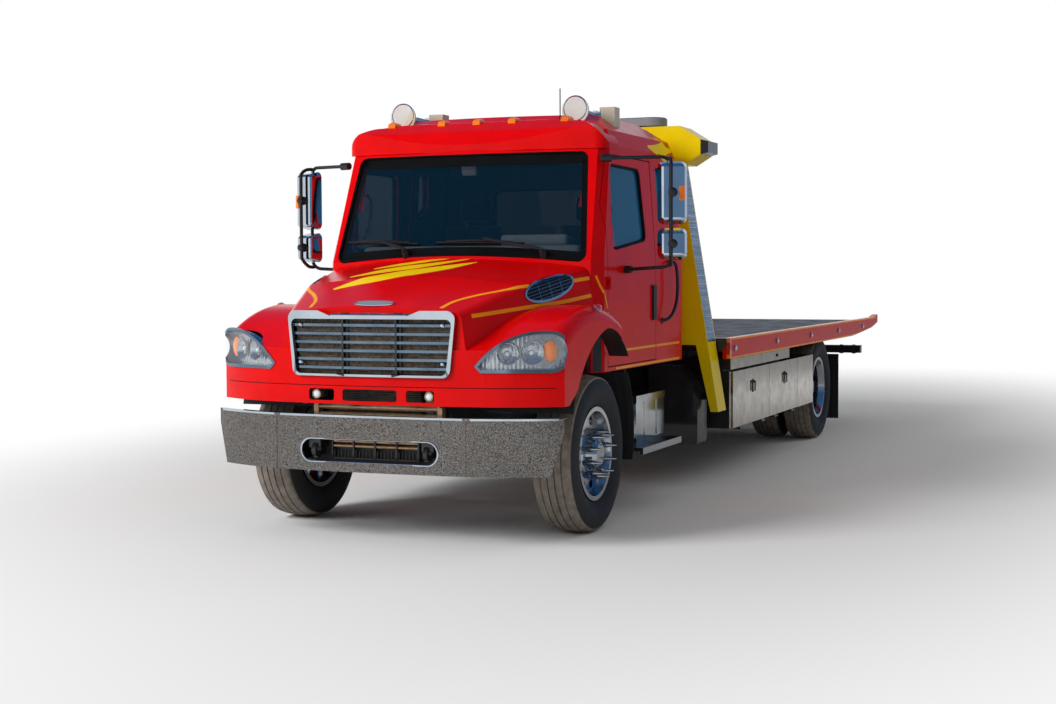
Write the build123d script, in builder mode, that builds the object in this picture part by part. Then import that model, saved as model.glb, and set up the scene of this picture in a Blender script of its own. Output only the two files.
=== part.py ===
from build123d import *
import os
from math import cos, radians, sin

# Rollback tow truck: ladder frame, forward-tilting hood, extended cab with two doors, light pylon,
# tool boxes, a flat deck that slides and tilts on its subframe, and a wheel lift at the tail.
# Millimetres. The front faces -Y, +X is the driver's (left) side, Z is up from the ground.

os.makedirs("parts", exist_ok=True)

# ---- driving dimensions: overall ----
overall_length = 9950.0
deck_width = 2520.0
wheelbase = 6395.0
front_overhang = 1005.0            # bumper's face to the front axle

# ---- tyres and wheels ----
tyre_diameter = 1016.0
tyre_width = 288.0
rim_diameter = 571.5
flange_diameter = 605.0
front_tyre_x = 1005.0              # middle of the front tyre
dual_inset = 232.0                 # deck's edge to the middle of the outer rear tyre
dual_outer_x = deck_width / 2 - dual_inset
dual_spacing = 342.0
stud_circle = 285.75
stud_count = 10
hub_bore_radius = 40.0
running_gap = 0.1                  # radial clearance of a running fit
seat_gap = 0.3                     # clearance of a piece from the seat it rests against

# ---- chassis ----
rail_outer_x = 430.0
rail_flange = 80.0
rail_wall = 9.0
rail_bottom_z = 650.0
rail_height = 230.0
rail_front = 330.0                 # distances behind the bumper's face
rail_rear = 8240.0
bed_pivot_from_front = 8150.0
bed_pivot_z = 835.0
kingpin_x = 800.0
kingpin_radius = 20.0
steer_arm_back = 200.0
steer_ball_x = 800.0
steer_rod_z = 405.0

# ---- front end ----
bumper_half_width = 1204.0
bumper_seam_x = 654.0
bumper_bottom_z = 450.0
bumper_top_z = 802.0
bumper_wall = 6.0
fascia_bottom_z = 867.0
hood_half_width = 1190.0
hood_wall = 12.0
hood_pivot_from_front = 80.0
hood_pivot_z = 875.0
arch_radius = 590.0

# ---- cab ----
cab_half_width = 1030.0
cab_floor_z = 1005.0
cab_wall = 50.0
cab_rear = 3246.0
belt_z = 1750.0
door_front = 1500.0
door_rear = 2530.0
door_gap = 8.0
door_top_gap = 16.0
door_pin_out = 13.0                # hinge pin's distance outside the cab's skin
pin_radius = 7.0
knuckle_radius = 12.0
glass_thickness = 6.0

# ---- deck and its subframe ----
deck_front = 3709.0
deck_rail_height = 165.0
deck_top_z = 1145.0
deck_floor_z = 1115.0
deck_rail_width = 60.0
subframe_front = 3800.0
subframe_rear = 9700.0
subframe_bottom_z = 886.0
subframe_height = 94.0
subframe_x = 400.0
subframe_width = 80.0
lamp_places = (3857.0, 5236.0, 6565.0, 7818.0, 9073.0)

# ---- light pylon ----
pylon_y = 3450.0
pylon_foot = (1238.0, 580.0)       # outer edge, height
pylon_top = (924.0, 2500.0)
leg_width = (62.0, 96.0)           # at the foot and under the post
leg_top_z = 1100.0
leg_depth = 225.0

# ---- tool boxes ----
box_front = 3944.0
box_rear = 6830.0
box_out_x = 1195.0
box_depth = 440.0
box_bottom_z = 405.0
box_height = 460.0
box_seams = (5130.0, 6180.0)
box_door = 25.0
box_wall = 4.0


def aft(distance):
    """Y of a point that lies this far behind the bumper's face."""
    return distance - overall_length / 2


def across(y):
    """Upright plane across the truck: sketch x is X, sketch y is Z, and its normal is -Y."""
    return Plane(origin=(0, y, 0), x_dir=(1, 0, 0), z_dir=(0, -1, 0))


def along(x):
    """Upright plane along the truck: sketch x is Y, sketch y is Z, and its normal is +X."""
    return Plane(origin=(x, 0, 0), x_dir=(0, 1, 0), z_dir=(1, 0, 0))


def level(z):
    """Level plane: sketch x is X, sketch y is Y."""
    return Plane.XY.offset(z)


def block(x, y, z, mode=Mode.ADD):
    """Add or cut a box between two values on each axis; y is measured behind the bumper's face."""
    size = (x[1] - x[0], y[1] - y[0], z[1] - z[0])
    middle = (sum(x) / 2, aft(sum(y) / 2), sum(z) / 2)
    with Locations(middle):
        Box(*size, mode=mode)


def rod(radius, start, end, mode=Mode.ADD):
    """Add or cut a round bar between two points (X, distance behind the bumper, Z)."""
    first = Vector(start[0], aft(start[1]), start[2])
    last = Vector(end[0], aft(end[1]), end[2])
    run = last - first
    with Locations(Plane(origin=first + run * 0.5, z_dir=run)):
        Cylinder(radius, run.length, mode=mode)


def outline(points, mode=Mode.ADD):
    """Add or cut a closed face through straight runs between points."""
    with BuildLine() as line:
        Polyline(*points, close=True)
    make_face(line.edges(), mode=mode)


front_axle_y = front_overhang
rear_axle_y = front_overhang + wheelbase
axle_z = tyre_diameter / 2
rail_top_z = rail_bottom_z + rail_height
rail_inner_x = rail_outer_x - rail_flange
deck_rail_bottom_z = deck_top_z - deck_rail_height
deck_rear = overall_length
subframe_top_z = subframe_bottom_z + subframe_height

web_x = rail_outer_x - rail_wall


def post_x(z):
    """Outer edge of the pylon's post at a height."""
    share = (z - pylon_foot[1]) / (pylon_top[1] - pylon_foot[1])
    return pylon_foot[0] + (pylon_top[0] - pylon_foot[0]) * share


def leg_inner_x(z):
    """Inner edge of the pylon's leg at a height."""
    share = (z - pylon_foot[1]) / (leg_top_z - pylon_foot[1])
    foot, top = post_x(pylon_foot[1]) - leg_width[0], post_x(leg_top_z) - leg_width[1]
    return foot + (top - foot) * share


pieces = {}

# ---------------------------------------------------------------- chassis frame
crossmembers = (
    # distance behind the bumper, foot, top
    (2100.0, 655.0, 700.0), (3300.0, 762.0, 860.0), (4500.0, 740.0, 860.0), (5500.0, 740.0, 860.0),
    (6500.0, 740.0, 860.0), (7915.0, 740.0, 830.0),
)
cab_mounts = ((360.0, 1560.0), (390.0, 2980.0))
tow_eye_x = 385.0
tow_eye_radius = 24.0
front_horn_z = (590.0, 790.0)
hood_tower_x = (430.0, 450.0)
hood_pin_end_x = 496.0
cylinder_x = 265.0
cylinder_base = (7950.0, 530.0)
outrigger_y = (3615.0, 3675.0)
outrigger_z = (660.0, 740.0)
bed_rests = (4050.0, 5200.0, 6600.0)
box_hangers = (4150.0, 5300.0, 6450.0)

with BuildPart() as chassis_frame:
    with BuildSketch(across(aft(rail_front))):
        for side in (1, -1):
            with BuildLine():
                Polyline(
                    (side * rail_outer_x, rail_bottom_z),
                    (side * rail_inner_x, rail_bottom_z),
                    (side * rail_inner_x, rail_bottom_z + rail_wall),
                    (side * (rail_outer_x - rail_wall), rail_bottom_z + rail_wall),
                    (side * (rail_outer_x - rail_wall), rail_top_z - rail_wall),
                    (side * rail_inner_x, rail_top_z - rail_wall),
                    (side * rail_inner_x, rail_top_z),
                    (side * rail_outer_x, rail_top_z),
                    close=True,
                )
            make_face()
    extrude(amount=rail_front - rail_rear)
    for place, foot, top in crossmembers:
        block((-web_x, web_x), (place, place + 70), (foot, top))
    block((-web_x, web_x), (rail_front + 10, rail_front + 70), (rail_bottom_z + 20, rail_bottom_z + 110))
    for side in (1, -1):
        horn_x = sorted((side * 350.0, side * rail_outer_x))
        block(horn_x, (40, rail_front), front_horn_z)
        tower_x = sorted((side * hood_tower_x[0], side * hood_tower_x[1]))
        block(tower_x, (hood_pivot_from_front, 300), (hood_pivot_z - 12, hood_pivot_z + 12))
        block(tower_x, (220, 300), (rail_bottom_z, hood_pivot_z + 12))
        rod(10, (side * hood_tower_x[0], hood_pivot_from_front, hood_pivot_z),
            (side * hood_pin_end_x, hood_pivot_from_front, hood_pivot_z))
        eye_x = sorted((side * (tow_eye_x - 14), side * (tow_eye_x + 14)))
        block(eye_x, (60, 300), (545, 595))
        rod(50, (eye_x[0], 62, 575), (eye_x[1], 62, 575))
        rod(tow_eye_radius, (eye_x[0], 62, 575), (eye_x[1], 62, 575), mode=Mode.SUBTRACT)
        for mount_x, mount_y in cab_mounts:
            with Locations((side * mount_x, aft(mount_y), (rail_top_z + cab_floor_z) / 2)):
                Cylinder(38, cab_floor_z - rail_top_z)
        with BuildSketch(across(aft(outrigger_y[0]))) as beam:
            outline([(side * rail_outer_x, outrigger_z[0]), (side * leg_inner_x(outrigger_z[0]), outrigger_z[0]),
                     (side * leg_inner_x(outrigger_z[1]), outrigger_z[1]), (side * rail_outer_x, outrigger_z[1])])
        extrude(beam.sketch, amount=outrigger_y[0] - outrigger_y[1])
        for place in box_hangers:
            hanger_x = sorted((side * rail_outer_x, side * (box_out_x - box_depth)))
            block(hanger_x, (place, place + 60), (rail_bottom_z + 20, rail_bottom_z + 120))
        lug_x = side * cylinder_x
        for off in (-62, 50):
            block((lug_x + off, lug_x + off + 12), (cylinder_base[0] - 30, cylinder_base[0] + 30),
                  (cylinder_base[1] - 30, rail_bottom_z + 100))
        rod(14, (lug_x - 62, cylinder_base[0], cylinder_base[1]), (lug_x + 62, cylinder_base[0], cylinder_base[1]))
        pivot_x = sorted((side * rail_outer_x, side * (rail_outer_x + 16)))
        block(pivot_x, (bed_pivot_from_front - 36, bed_pivot_from_front + 36), (rail_bottom_z + 40, bed_pivot_z))
        rod(36, (pivot_x[0], bed_pivot_from_front, bed_pivot_z), (pivot_x[1], bed_pivot_from_front, bed_pivot_z))
        with BuildSketch(along(side * (rail_inner_x - 5))) as end:
            outline([(aft(bed_pivot_from_front - 50), rail_top_z + 5), (aft(bed_pivot_from_front - 50), rail_top_z),
                     (aft(rail_rear), bed_pivot_z + 10), (aft(rail_rear + 10), bed_pivot_z + 10),
                     (aft(rail_rear + 10), rail_top_z + 5)])
        extrude(end.sketch, amount=side * (rail_flange + 5), mode=Mode.SUBTRACT)
        for place in bed_rests:
            block(sorted((side * rail_inner_x, side * rail_outer_x)), (place, place + 120),
                  (rail_top_z, subframe_bottom_z - seat_gap))
    rod(22, (-rail_outer_x - 60, bed_pivot_from_front, bed_pivot_z), (rail_outer_x + 60, bed_pivot_from_front, bed_pivot_z))
pieces["chassis_frame"] = chassis_frame

# ---------------------------------------------------------------- front bumper
bumper_bow = 27.0                  # how far the seams lie behind the middle
bumper_sweep = 233.0               # how far the ends lie behind the middle
bumper_depth = 45.0
bumper_slot = (940.0, 142.0)
bumper_slot_z = 580.0


def swept_line(half_width, knee_x, bow, sweep, start):
    """Plan line of a bowed front from one end to the other, as three arcs; start is its middle's setback."""
    middle_x = (half_width + knee_x) / 2
    middle_y = bow + (sweep - bow) * 0.38
    ends = ((half_width, sweep), (middle_x, middle_y), (knee_x, bow))
    right, right_mid, right_knee = [(-x, aft(start + y)) for x, y in ends]
    left, left_mid, left_knee = [(x, aft(start + y)) for x, y in ends]
    return (right, right_mid, right_knee), (right_knee, (0, aft(start)), left_knee), (left_knee, left_mid, left)


def swept_band(half_width, knee_x, bow, sweep, near, far):
    """Face between two copies of a bowed front line, one further aft than the other."""
    front = swept_line(half_width, knee_x, bow, sweep, near)
    back = swept_line(half_width, knee_x, bow, sweep, far)
    with BuildLine() as line:
        for arc in front + back:
            ThreePointArc(*arc)
        Line(front[0][0], back[0][0])
        Line(front[2][2], back[2][2])
    make_face(line.edges())


bumper_plan = (bumper_half_width, bumper_seam_x, bumper_bow, bumper_sweep)

with BuildPart() as front_bumper:
    with BuildSketch(level(bumper_bottom_z)):
        swept_band(*bumper_plan, 0, bumper_depth)
    extrude(amount=bumper_top_z - bumper_bottom_z)
    with BuildSketch(level(bumper_bottom_z + bumper_wall)):
        swept_band(*bumper_plan, bumper_wall, bumper_depth + 20)
    extrude(amount=bumper_top_z - bumper_bottom_z - 2 * bumper_wall, mode=Mode.SUBTRACT)
    with BuildSketch(across(aft(-50))):
        with Locations((0, bumper_slot_z)):
            SlotOverall(*bumper_slot)
    extrude(amount=-200, mode=Mode.SUBTRACT)
    for side in (1, -1):
        with BuildSketch(across(aft(-50))):
            outline([(side * bumper_half_width, bumper_top_z - 90), (side * (bumper_half_width - 70), bumper_bottom_z),
                     (side * (bumper_half_width + 60), bumper_bottom_z), (side * (bumper_half_width + 60), bumper_top_z)])
        extrude(amount=-500, mode=Mode.SUBTRACT)
        block(sorted((side * (bumper_seam_x - 2), side * (bumper_seam_x + 2))), (0, bumper_bow + 3),
              (bumper_bottom_z, bumper_top_z), mode=Mode.SUBTRACT)
        horn_x = sorted((side * 352.0, side * 428.0))
        block(horn_x, (14, 40), (720, 782))
pieces["front_bumper"] = front_bumper

# ---------------------------------------------------------------- hood
fascia_knee = (750.0, 58.0, 255.0)           # knee X, its setback, the corner's setback
fascia_front = 30.0
fender_top = ((330.0, 1330.0), (800.0, 1462.0), (1345.0, 1372.0))
nose_drop = 120.0
hood_rear = 1335.0
cowl_corner = (970.0, 1325.0)
cowl_bow = 93.0
bonnet_sections = (
    # setback, half width low, half width high, shoulder Z, middle Z
    (78.0, 640.0, 600.0, 1430.0, 1475.0),
    (620.0, 870.0, 770.0, 1590.0, 1655.0),
    (1345.0, 1045.0, 955.0, 1712.0, 1790.0),
)


ridge_radius = 60.0                # rounding where the bonnet's top meets its cheeks


def hood_form(inset):
    """Hood's outer form, or the form that lies this far inside its skin."""
    low_z = fascia_bottom_z - (200 if inset > 0 else 0)
    with BuildPart() as fenders:
        with BuildSketch(level(low_z)):
            knee_x, bow, sweep = fascia_knee
            half = hood_half_width - inset
            front = swept_line(half, knee_x, bow, sweep, fascia_front + inset)
            rear_y = aft(hood_rear + (300 if inset > 0 else 0))
            with BuildLine():
                for arc in front:
                    ThreePointArc(*arc)
                Polyline(front[2][2], (half, rear_y), (-half, rear_y), front[0][0])
            make_face()
        extrude(amount=1700 - low_z)
        with BuildSketch(along(-1400)):
            with BuildLine():
                top = [(aft(y), z - inset) for y, z in fender_top]
                crest = ThreePointArc(*top)
                end = (aft(fender_top[2][0] + 400), fender_top[2][1] - inset)
                nose = (aft(fascia_front + 60), fender_top[0][1] - nose_drop - inset)
                TangentArc(top[0], nose, tangent=(crest % 0) * -1)
                Polyline(top[2], end, (end[0], low_z), (aft(-50), low_z), (aft(-50), nose[1]), nose)
            make_face()
        extrude(amount=2800, mode=Mode.INTERSECT)
        crown = fenders.edges().filter_by(lambda e: abs(abs(e.center().X) - half) < 1 and e.center().Z > 1200)
        fillet(crown, 95 - inset)
    with BuildPart() as bonnet:
        for setback, low, high, shoulder, middle in bonnet_sections:
            rise = shoulder - inset
            place = setback + (inset if setback < 100 else 0) + (300 if inset > 0 and setback > 1300 else 0)
            with BuildSketch(across(aft(place))):
                with BuildLine():
                    Polyline((high - inset, rise), (low - inset, 1150), (inset - low, 1150), (inset - high, rise))
                    ThreePointArc((inset - high, rise), (0, middle - inset), (high - inset, rise))
                make_face()
        loft(ruled=True)
        ridge = bonnet.edges().filter_by(
            lambda e: abs(e.center().X) > 500 and e.center().Z > 1400 and abs(e.tangent_at(0.5).Y) > 0.8)
        fillet(ridge, ridge_radius - inset)
    with BuildPart() as form:
        add(fenders.part)
        add(bonnet.part)
    return form.part


def arch_cut(x_range):
    """Cut both wheel arches out of the fenders, between two values of X on each side."""
    for side in (1, -1):
        with BuildSketch(along(side * x_range[0])) as arch:
            with BuildLine():
                front = (aft(508.0), 953.0)
                top = (aft(front_axle_y + 47.0), 1315.0)
                back = (aft(1362.0), 1212.0)
                ThreePointArc(front, (aft(649.0), 1117.0), top)
                ThreePointArc(top, (aft(1215.0), 1290.0), back)
                Polyline(back, (aft(1362.0), 500), (aft(335.0), 500), (aft(335.0), 849.0), front)
            make_face()
        extrude(arch.sketch, amount=side * (x_range[1] - x_range[0]), mode=Mode.SUBTRACT)


grille_top_z = 1446.0
grille_bottom_z = 1040.0
grille_half = (581.0, 540.0)                 # half width at the top and at the foot
fascia_slots = ((0.0, 374.0), (341.0, 184.0), (-341.0, 184.0))
fascia_slot_z = 924.0
fascia_slot_height = 72.0
lamp_place = (958.0, 205.0, 1193.0)          # middle of the headlamp's lens
lamp_turn = 32.0                             # its angle in plan


def lamp_plane(side):
    """Plane of a headlamp's outline; sketch x runs outward along the fender's corner."""
    turn = radians(lamp_turn)
    return Plane(
        origin=(side * lamp_place[0], aft(lamp_place[1]), lamp_place[2]),
        x_dir=(side * cos(turn), sin(turn), 0),
        z_dir=(side * sin(turn), -cos(turn), 0),
    )


def lamp_outline(side, grow, mode=Mode.ADD):
    """Add or cut the teardrop face of a headlamp, grown by a margin all round."""
    rise = side
    with BuildLine() as line:
        tip = (-278 - grow, rise * (-82))
        Polyline(tip, (-262, rise * (-100 - grow)), (140, rise * (-100 - grow)))
        ThreePointArc((140, rise * (-100 - grow)), (262 + grow, rise * 10), (160, rise * (112 + grow)))
        ThreePointArc((160, rise * (112 + grow)), (-80, rise * (75 + grow)), tip)
    make_face(line.edges(), mode=mode)


def grille_outline(side, top, foot, corner, mode=Mode.ADD):
    """Grille's face, drawn in by a margin at its sides, top and foot, with round corners."""
    wide, narrow = grille_half
    with BuildLine() as line:
        Polyline((-wide + side, grille_top_z - top), (-narrow + side, grille_bottom_z + foot),
                 (narrow - side, grille_bottom_z + foot), (wide - side, grille_top_z - top), close=True)
    with BuildSketch() as shape:
        make_face(line.edges())
        fillet(shape.vertices(), corner)
    add(shape.sketch, mode=mode)


def lug_pair(radius, y, z, x_range):
    """Add a round hinge lug on each side, between two values of X."""
    for side in (1, -1):
        rod(radius, (side * x_range[0], y, z), (side * x_range[1], y, z))


hood_lug_x = (458.0, 490.0)
hood_skin = hood_form(0)
hood_inside = hood_form(hood_wall)

with BuildPart() as hood:
    add(hood_skin)
    with BuildSketch(level(fascia_bottom_z - 200)):
        with BuildLine():
            ThreePointArc((-cowl_corner[0], aft(cowl_corner[1])), (0, aft(cowl_corner[1] - cowl_bow)),
                          (cowl_corner[0], aft(cowl_corner[1])))
            Polyline((cowl_corner[0], aft(cowl_corner[1])), (1300, aft(cowl_corner[1] + 8)), (1300, aft(1800)),
                     (-1300, aft(1800)), (-1300, aft(cowl_corner[1] + 8)), (-cowl_corner[0], aft(cowl_corner[1])))
        make_face()
    extrude(amount=1500, mode=Mode.SUBTRACT)
    add(hood_inside, mode=Mode.SUBTRACT)
    arch_cut((700.0, 1300.0))
    with BuildSketch(across(aft(-60))):
        grille_outline(18, 30, 12, 40)
        for slot_x, slot_width in fascia_slots:
            with Locations((slot_x, fascia_slot_z)):
                RectangleRounded(slot_width, fascia_slot_height, 16)
    extrude(amount=-220, mode=Mode.SUBTRACT)
    for side in (1, -1):
        with BuildSketch(lamp_plane(side).offset(180)):
            lamp_outline(side, 0)
        extrude(amount=-420, mode=Mode.SUBTRACT)
    lug_pair(18, hood_pivot_from_front, hood_pivot_z, hood_lug_x)
    for side in (1, -1):
        block(sorted((side * hood_lug_x[0], side * hood_lug_x[1])), (60, 90), (hood_pivot_z, hood_pivot_z + 70))
        rod(10 + running_gap, (side * 440, hood_pivot_from_front, hood_pivot_z),
            (side * 510, hood_pivot_from_front, hood_pivot_z), mode=Mode.SUBTRACT)
pieces["hood"] = hood

# ---------------------------------------------------------------- grille
grille_bars = 6
grille_notch = ((354.0, 262.0), 34.0)        # half widths of the dip in the top edge, and its depth
grille_proud = 20.0
grille_band = (hood_half_width, fascia_knee[0], fascia_knee[1], fascia_knee[2])

with BuildPart() as grille_ring:
    with BuildSketch(across(aft(-60))):
        grille_outline(0, 0, 0, 52)
        outline([(-grille_notch[0][0], grille_top_z + 1), (-grille_notch[0][1], grille_top_z - grille_notch[1]),
                 (grille_notch[0][1], grille_top_z - grille_notch[1]), (grille_notch[0][0], grille_top_z + 1)],
                mode=Mode.SUBTRACT)
    extrude(amount=-220)
    with BuildSketch(across(aft(-60))):
        grille_outline(24, 52, 14, 36)
    extrude(amount=-220, mode=Mode.SUBTRACT)
    with BuildSketch(level(900)):
        swept_band(*grille_band, fascia_front - grille_proud, fascia_front)
    extrude(amount=700, mode=Mode.INTERSECT)

with BuildPart() as grille_core:
    with BuildSketch(across(aft(-60))):
        grille_outline(18 + seat_gap, 30 + seat_gap, 12 + seat_gap, 40)
        grille_outline(24, 52, 14, 36, mode=Mode.SUBTRACT)
    extrude(amount=-220)
    pitch = (grille_top_z - 38 - grille_bottom_z) / (grille_bars + 1)
    for index in range(grille_bars):
        bar_z = grille_bottom_z + pitch * (index + 1)
        share = (bar_z - grille_bottom_z) / (grille_top_z - grille_bottom_z)
        half = grille_half[1] + (grille_half[0] - grille_half[1]) * share - 22
        block((-half, half), (-60, 160), (bar_z - 8, bar_z + 8))
    for bar_x in (-184.0, 184.0):
        block((bar_x - 6, bar_x + 6), (-60, 160), (grille_bottom_z + 13, grille_top_z - 50))
    with BuildSketch(level(900)):
        swept_band(*grille_band, fascia_front, fascia_front + 24)
    extrude(amount=700, mode=Mode.INTERSECT)

with BuildPart() as grille:
    add(grille_ring.part)
    add(grille_core.part)
pieces["grille"] = grille

# ---------------------------------------------------------------- headlamps, on the hood's corners
lamp_depth = 70.0
bezel_width = 20.0
bezel_proud = 8.0
marker_place = (1120.0, 960.0, 1430.0)

with BuildPart() as lamp_shell:
    with BuildSketch(level(900)):
        swept_band(*grille_band, fascia_front, fascia_front + lamp_depth)
    extrude(amount=560)
with BuildPart() as bezel_shell:
    with BuildSketch(level(900)):
        swept_band(*grille_band, fascia_front - bezel_proud, fascia_front)
    extrude(amount=560)



def lamp_piece(side, outer, inner, shell):
    """Piece of a shell inside a headlamp's outline; inner is the margin of its hole, if it has one."""
    with BuildPart() as piece:
        with BuildSketch(lamp_plane(side).offset(180)) as shape:
            lamp_outline(side, outer)
            if inner is not None:
                lamp_outline(side, inner, mode=Mode.SUBTRACT)
        extrude(shape.sketch, amount=-420)
        add(shell.part, mode=Mode.INTERSECT)
    return piece.part


with BuildPart() as headlamps:
    for side in (1, -1):
        add(lamp_piece(side, -seat_gap, None, lamp_shell))
        add(lamp_piece(side, bezel_width, -seat_gap, bezel_shell))
pieces["headlamps"] = headlamps

# ---------------------------------------------------------------- wheel liners, inside the fenders
liner_wall = 6.0
liner_x = (545.0, hood_half_width)
liner_centre = (front_axle_y + 45.0, 728.0)
liner_foot_z = 808.0
liner_rear = (1250.0, 1490.0)      # against the cab's front, and beside its sill

with BuildPart() as wheel_liners:
    for side in (1, -1):
        for wall, width in ((liner_wall, liner_x[1] - liner_x[0]), (arch_radius, liner_wall)):
            with BuildSketch(along(side * liner_x[0])) as arch:
                with Locations((aft(liner_centre[0]), liner_centre[1])):
                    Circle(arch_radius)
                    if wall < arch_radius:
                        Circle(arch_radius - wall, mode=Mode.SUBTRACT)
                with Locations((aft(liner_rear[1] - 700), liner_foot_z + 500)):
                    Rectangle(1400, 1000, mode=Mode.INTERSECT)
            extrude(arch.sketch, amount=side * width)
    beside = cab_half_width + 12
    block((-beside, beside), (liner_rear[0], liner_rear[1] + 10), (liner_foot_z, 1800), mode=Mode.SUBTRACT)
    add(hood_inside, mode=Mode.INTERSECT)
pieces["wheel_liners"] = wheel_liners

# ---------------------------------------------------------------- radiator and coolers
core_half = 345.0
core_z = (700.0, 1390.0)
core_front = 170.0

with BuildPart() as radiator:
    block((-core_half, core_half), (core_front + 60, core_front + 125), core_z)
    block((-core_half + 40, core_half - 60), (core_front, core_front + 40), (760, 1330))
    for tank_x in (-core_half, core_half - 50):
        block((tank_x, tank_x + 50), (core_front + 50, core_front + 140), (core_z[0] - 10, core_z[1] + 10))
    for tank_x in (-core_half + 40, core_half - 110):
        block((tank_x, tank_x + 50), (core_front + 5, core_front + 60), (740, 1345))
    for side in (1, -1):
        block(sorted((side * (core_half - 5), side * 400.0)), (core_front + 70, core_front + 120),
              (front_horn_z[1], front_horn_z[1] + 50))
pieces["radiator"] = radiator

# ---------------------------------------------------------------- engine and gearbox
with BuildPart() as engine:
    with BuildSketch(across(aft(520))):
        outline([(-180, 640), (180, 640), (250, 820), (250, 1060), (190, 1290), (-150, 1290), (-250, 1060), (-250, 820)])
    extrude(amount=-660)
    with Locations(Plane(origin=(0, aft(520), 900), z_dir=(0, -1, 0))):
        Cylinder(95, 70, align=(Align.CENTER, Align.CENTER, Align.MIN))
    with Locations(Plane(origin=(0, aft(450), 1010), z_dir=(0, -1, 0))):
        Cylinder(60, 70, align=(Align.CENTER, Align.CENTER, Align.MAX))
        with PolarLocations(150, 8):
            Box(190, 60, 22, rotation=(24, 0, 0))
        Cylinder(70, 60)
    rod(110, (-250, 700, 1360), (140, 700, 1360))
    with Locations(Plane(origin=(0, aft(1180), 770), z_dir=(0, 1, 0))):
        Cone(200, 130, 800, align=(Align.CENTER, Align.CENTER, Align.MIN))
    for side in (1, -1):
        block(sorted((side * 180.0, side * web_x)), (700, 780), (760, 800))
        block(sorted((side * 120.0, side * web_x)), (1760, 1830), (760, 800))
pieces["engine"] = engine

# ---------------------------------------------------------------- cab
cab_levels = (
    # Z, half width, windscreen corner X, its setback, bow ahead of the corner, rear wall
    (belt_z, cab_half_width, 970.0, 1333.0, 93.0, cab_rear),
    (2540.0, 975.0, 925.0, 1603.0, 72.0, 3225.0),
    (2650.0, 935.0, 860.0, 1660.0, 90.0, 3190.0),
    (2775.0, 760.0, 660.0, 1960.0, 90.0, 2990.0),
)
cab_corner = 90.0
pillar_back = 95.0


def cab_outline(row, inset):
    """Level face of the cab at one height: bowed front, pillars, sides and rounded rear corners."""
    half, corner_x, corner_y, bow, rear = row[1:]
    half, corner_x = half - inset, corner_x - inset
    front, back = aft(corner_y + inset), aft(rear - inset)
    r = cab_corner - inset * 0.8
    bend = r * (1 - cos(radians(45)))
    with BuildLine() as line:
        ThreePointArc((-corner_x, front), (0, front - bow), (corner_x, front))
        Polyline((corner_x, front), (half, front + pillar_back), (half, back - r))
        ThreePointArc((half, back - r), (half - bend, back - bend), (half - r, back))
        Line((half - r, back), (r - half, back))
        ThreePointArc((r - half, back), (bend - half, back - bend), (-half, back - r))
        Polyline((-half, back - r), (-half, front + pillar_back), (-corner_x, front))
    make_face(line.edges())


def cab_form(inset):
    """Cab's outer form, or the form that lies this far inside its skin."""
    bottom = cab_floor_z + inset
    with BuildPart() as form:
        with BuildSketch(level(bottom)) as foot:
            cab_outline(cab_levels[0], inset)
        extrude(foot.sketch, amount=belt_z - bottom)
        rings = []
        for row in cab_levels:
            top = row[0] - (inset if row[0] > belt_z else 0)
            with BuildSketch(level(top)) as ring:
                cab_outline(row, inset)
            rings.append(ring.sketch)
        loft(rings[:2], ruled=True)
        loft(rings[1:3], ruled=True)
        loft(rings[2:], ruled=True)
    return form.part


def side_prism(points, x_range, corner):
    """Solid through both sides of the cab, from points (distance behind the bumper, Z)."""
    with BuildPart() as prism:
        for side in (1, -1):
            with BuildSketch(along(side * x_range[0])) as face:
                outline([(aft(y), z) for y, z in points])
                if corner:
                    fillet(face.vertices(), corner)
            extrude(face.sketch, amount=side * (x_range[1] - x_range[0]))
    return prism.part


def end_prism(points, y_range, corner, rise=0.0):
    """Solid through the cab's front or rear, from points (X, Z); the foot bows up by rise in the middle."""
    with BuildPart() as prism:
        with BuildSketch(across(aft(y_range[0]))) as face:
            outline(points)
            fillet(face.vertices(), corner)
            if rise:
                (left, foot), (right, _) = points[:2]
                with BuildLine() as bow:
                    ThreePointArc((left + corner, foot), (0, foot + rise), (right - corner, foot))
                    Line((right - corner, foot), (left + corner, foot))
                make_face(bow.edges(), mode=Mode.SUBTRACT)
        extrude(face.sketch, amount=y_range[0] - y_range[1])
    return prism.part


def grown(points, margin):
    """Four-cornered outline moved out by a margin on each of its sides' axes."""
    mid_y = sum(y for y, z in points) / len(points)
    mid_z = sum(z for y, z in points) / len(points)
    return [(y + (margin if y > mid_y else -margin), z + (margin if z > mid_z else -margin)) for y, z in points]


door_outline = ((door_front + door_gap / 2, 1040.0), (door_rear - door_gap / 2, 1040.0),
                (door_rear - door_gap / 2, belt_z), (door_rear - door_top_gap, 2468.0),
                (1640.0, 2468.0), (door_front + door_gap / 2, 2120.0))
door_hole = ((door_front - door_gap / 2, 1040.0 - door_gap), (door_rear + door_gap / 2, 1040.0 - door_gap),
             (door_rear + door_gap / 2, 2468.0 + door_gap), (1636.0, 2468.0 + door_gap),
             (door_front - door_gap / 2, 2122.0))
door_lip = ((door_front + 26, 1068.0), (door_rear - 30, 1068.0), (door_rear - 36, 2440.0),
            (1665.0, 2440.0), (door_front + 26, 2110.0))
door_window = ((1605.0, 1815.0), (2345.0, 1895.0), (2285.0, 2405.0), (1665.0, 2412.0))
quarter_window = ((2650.0, 2090.0), (2830.0, 2170.0), (2800.0, 2435.0), (2640.0, 2435.0))
windscreen = ((-942.0, 1742.0), (942.0, 1742.0), (866.0, 2494.0), (-866.0, 2494.0))
windscreen_rise = 44.0             # how far its foot bows up in the middle
rear_window = ((-560.0, 1800.0), (560.0, 1800.0), (540.0, 2330.0), (-540.0, 2330.0))
window_corner = 60.0
side_x = (800.0, 1200.0)
hole_x = (830.0, 1200.0)
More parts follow.
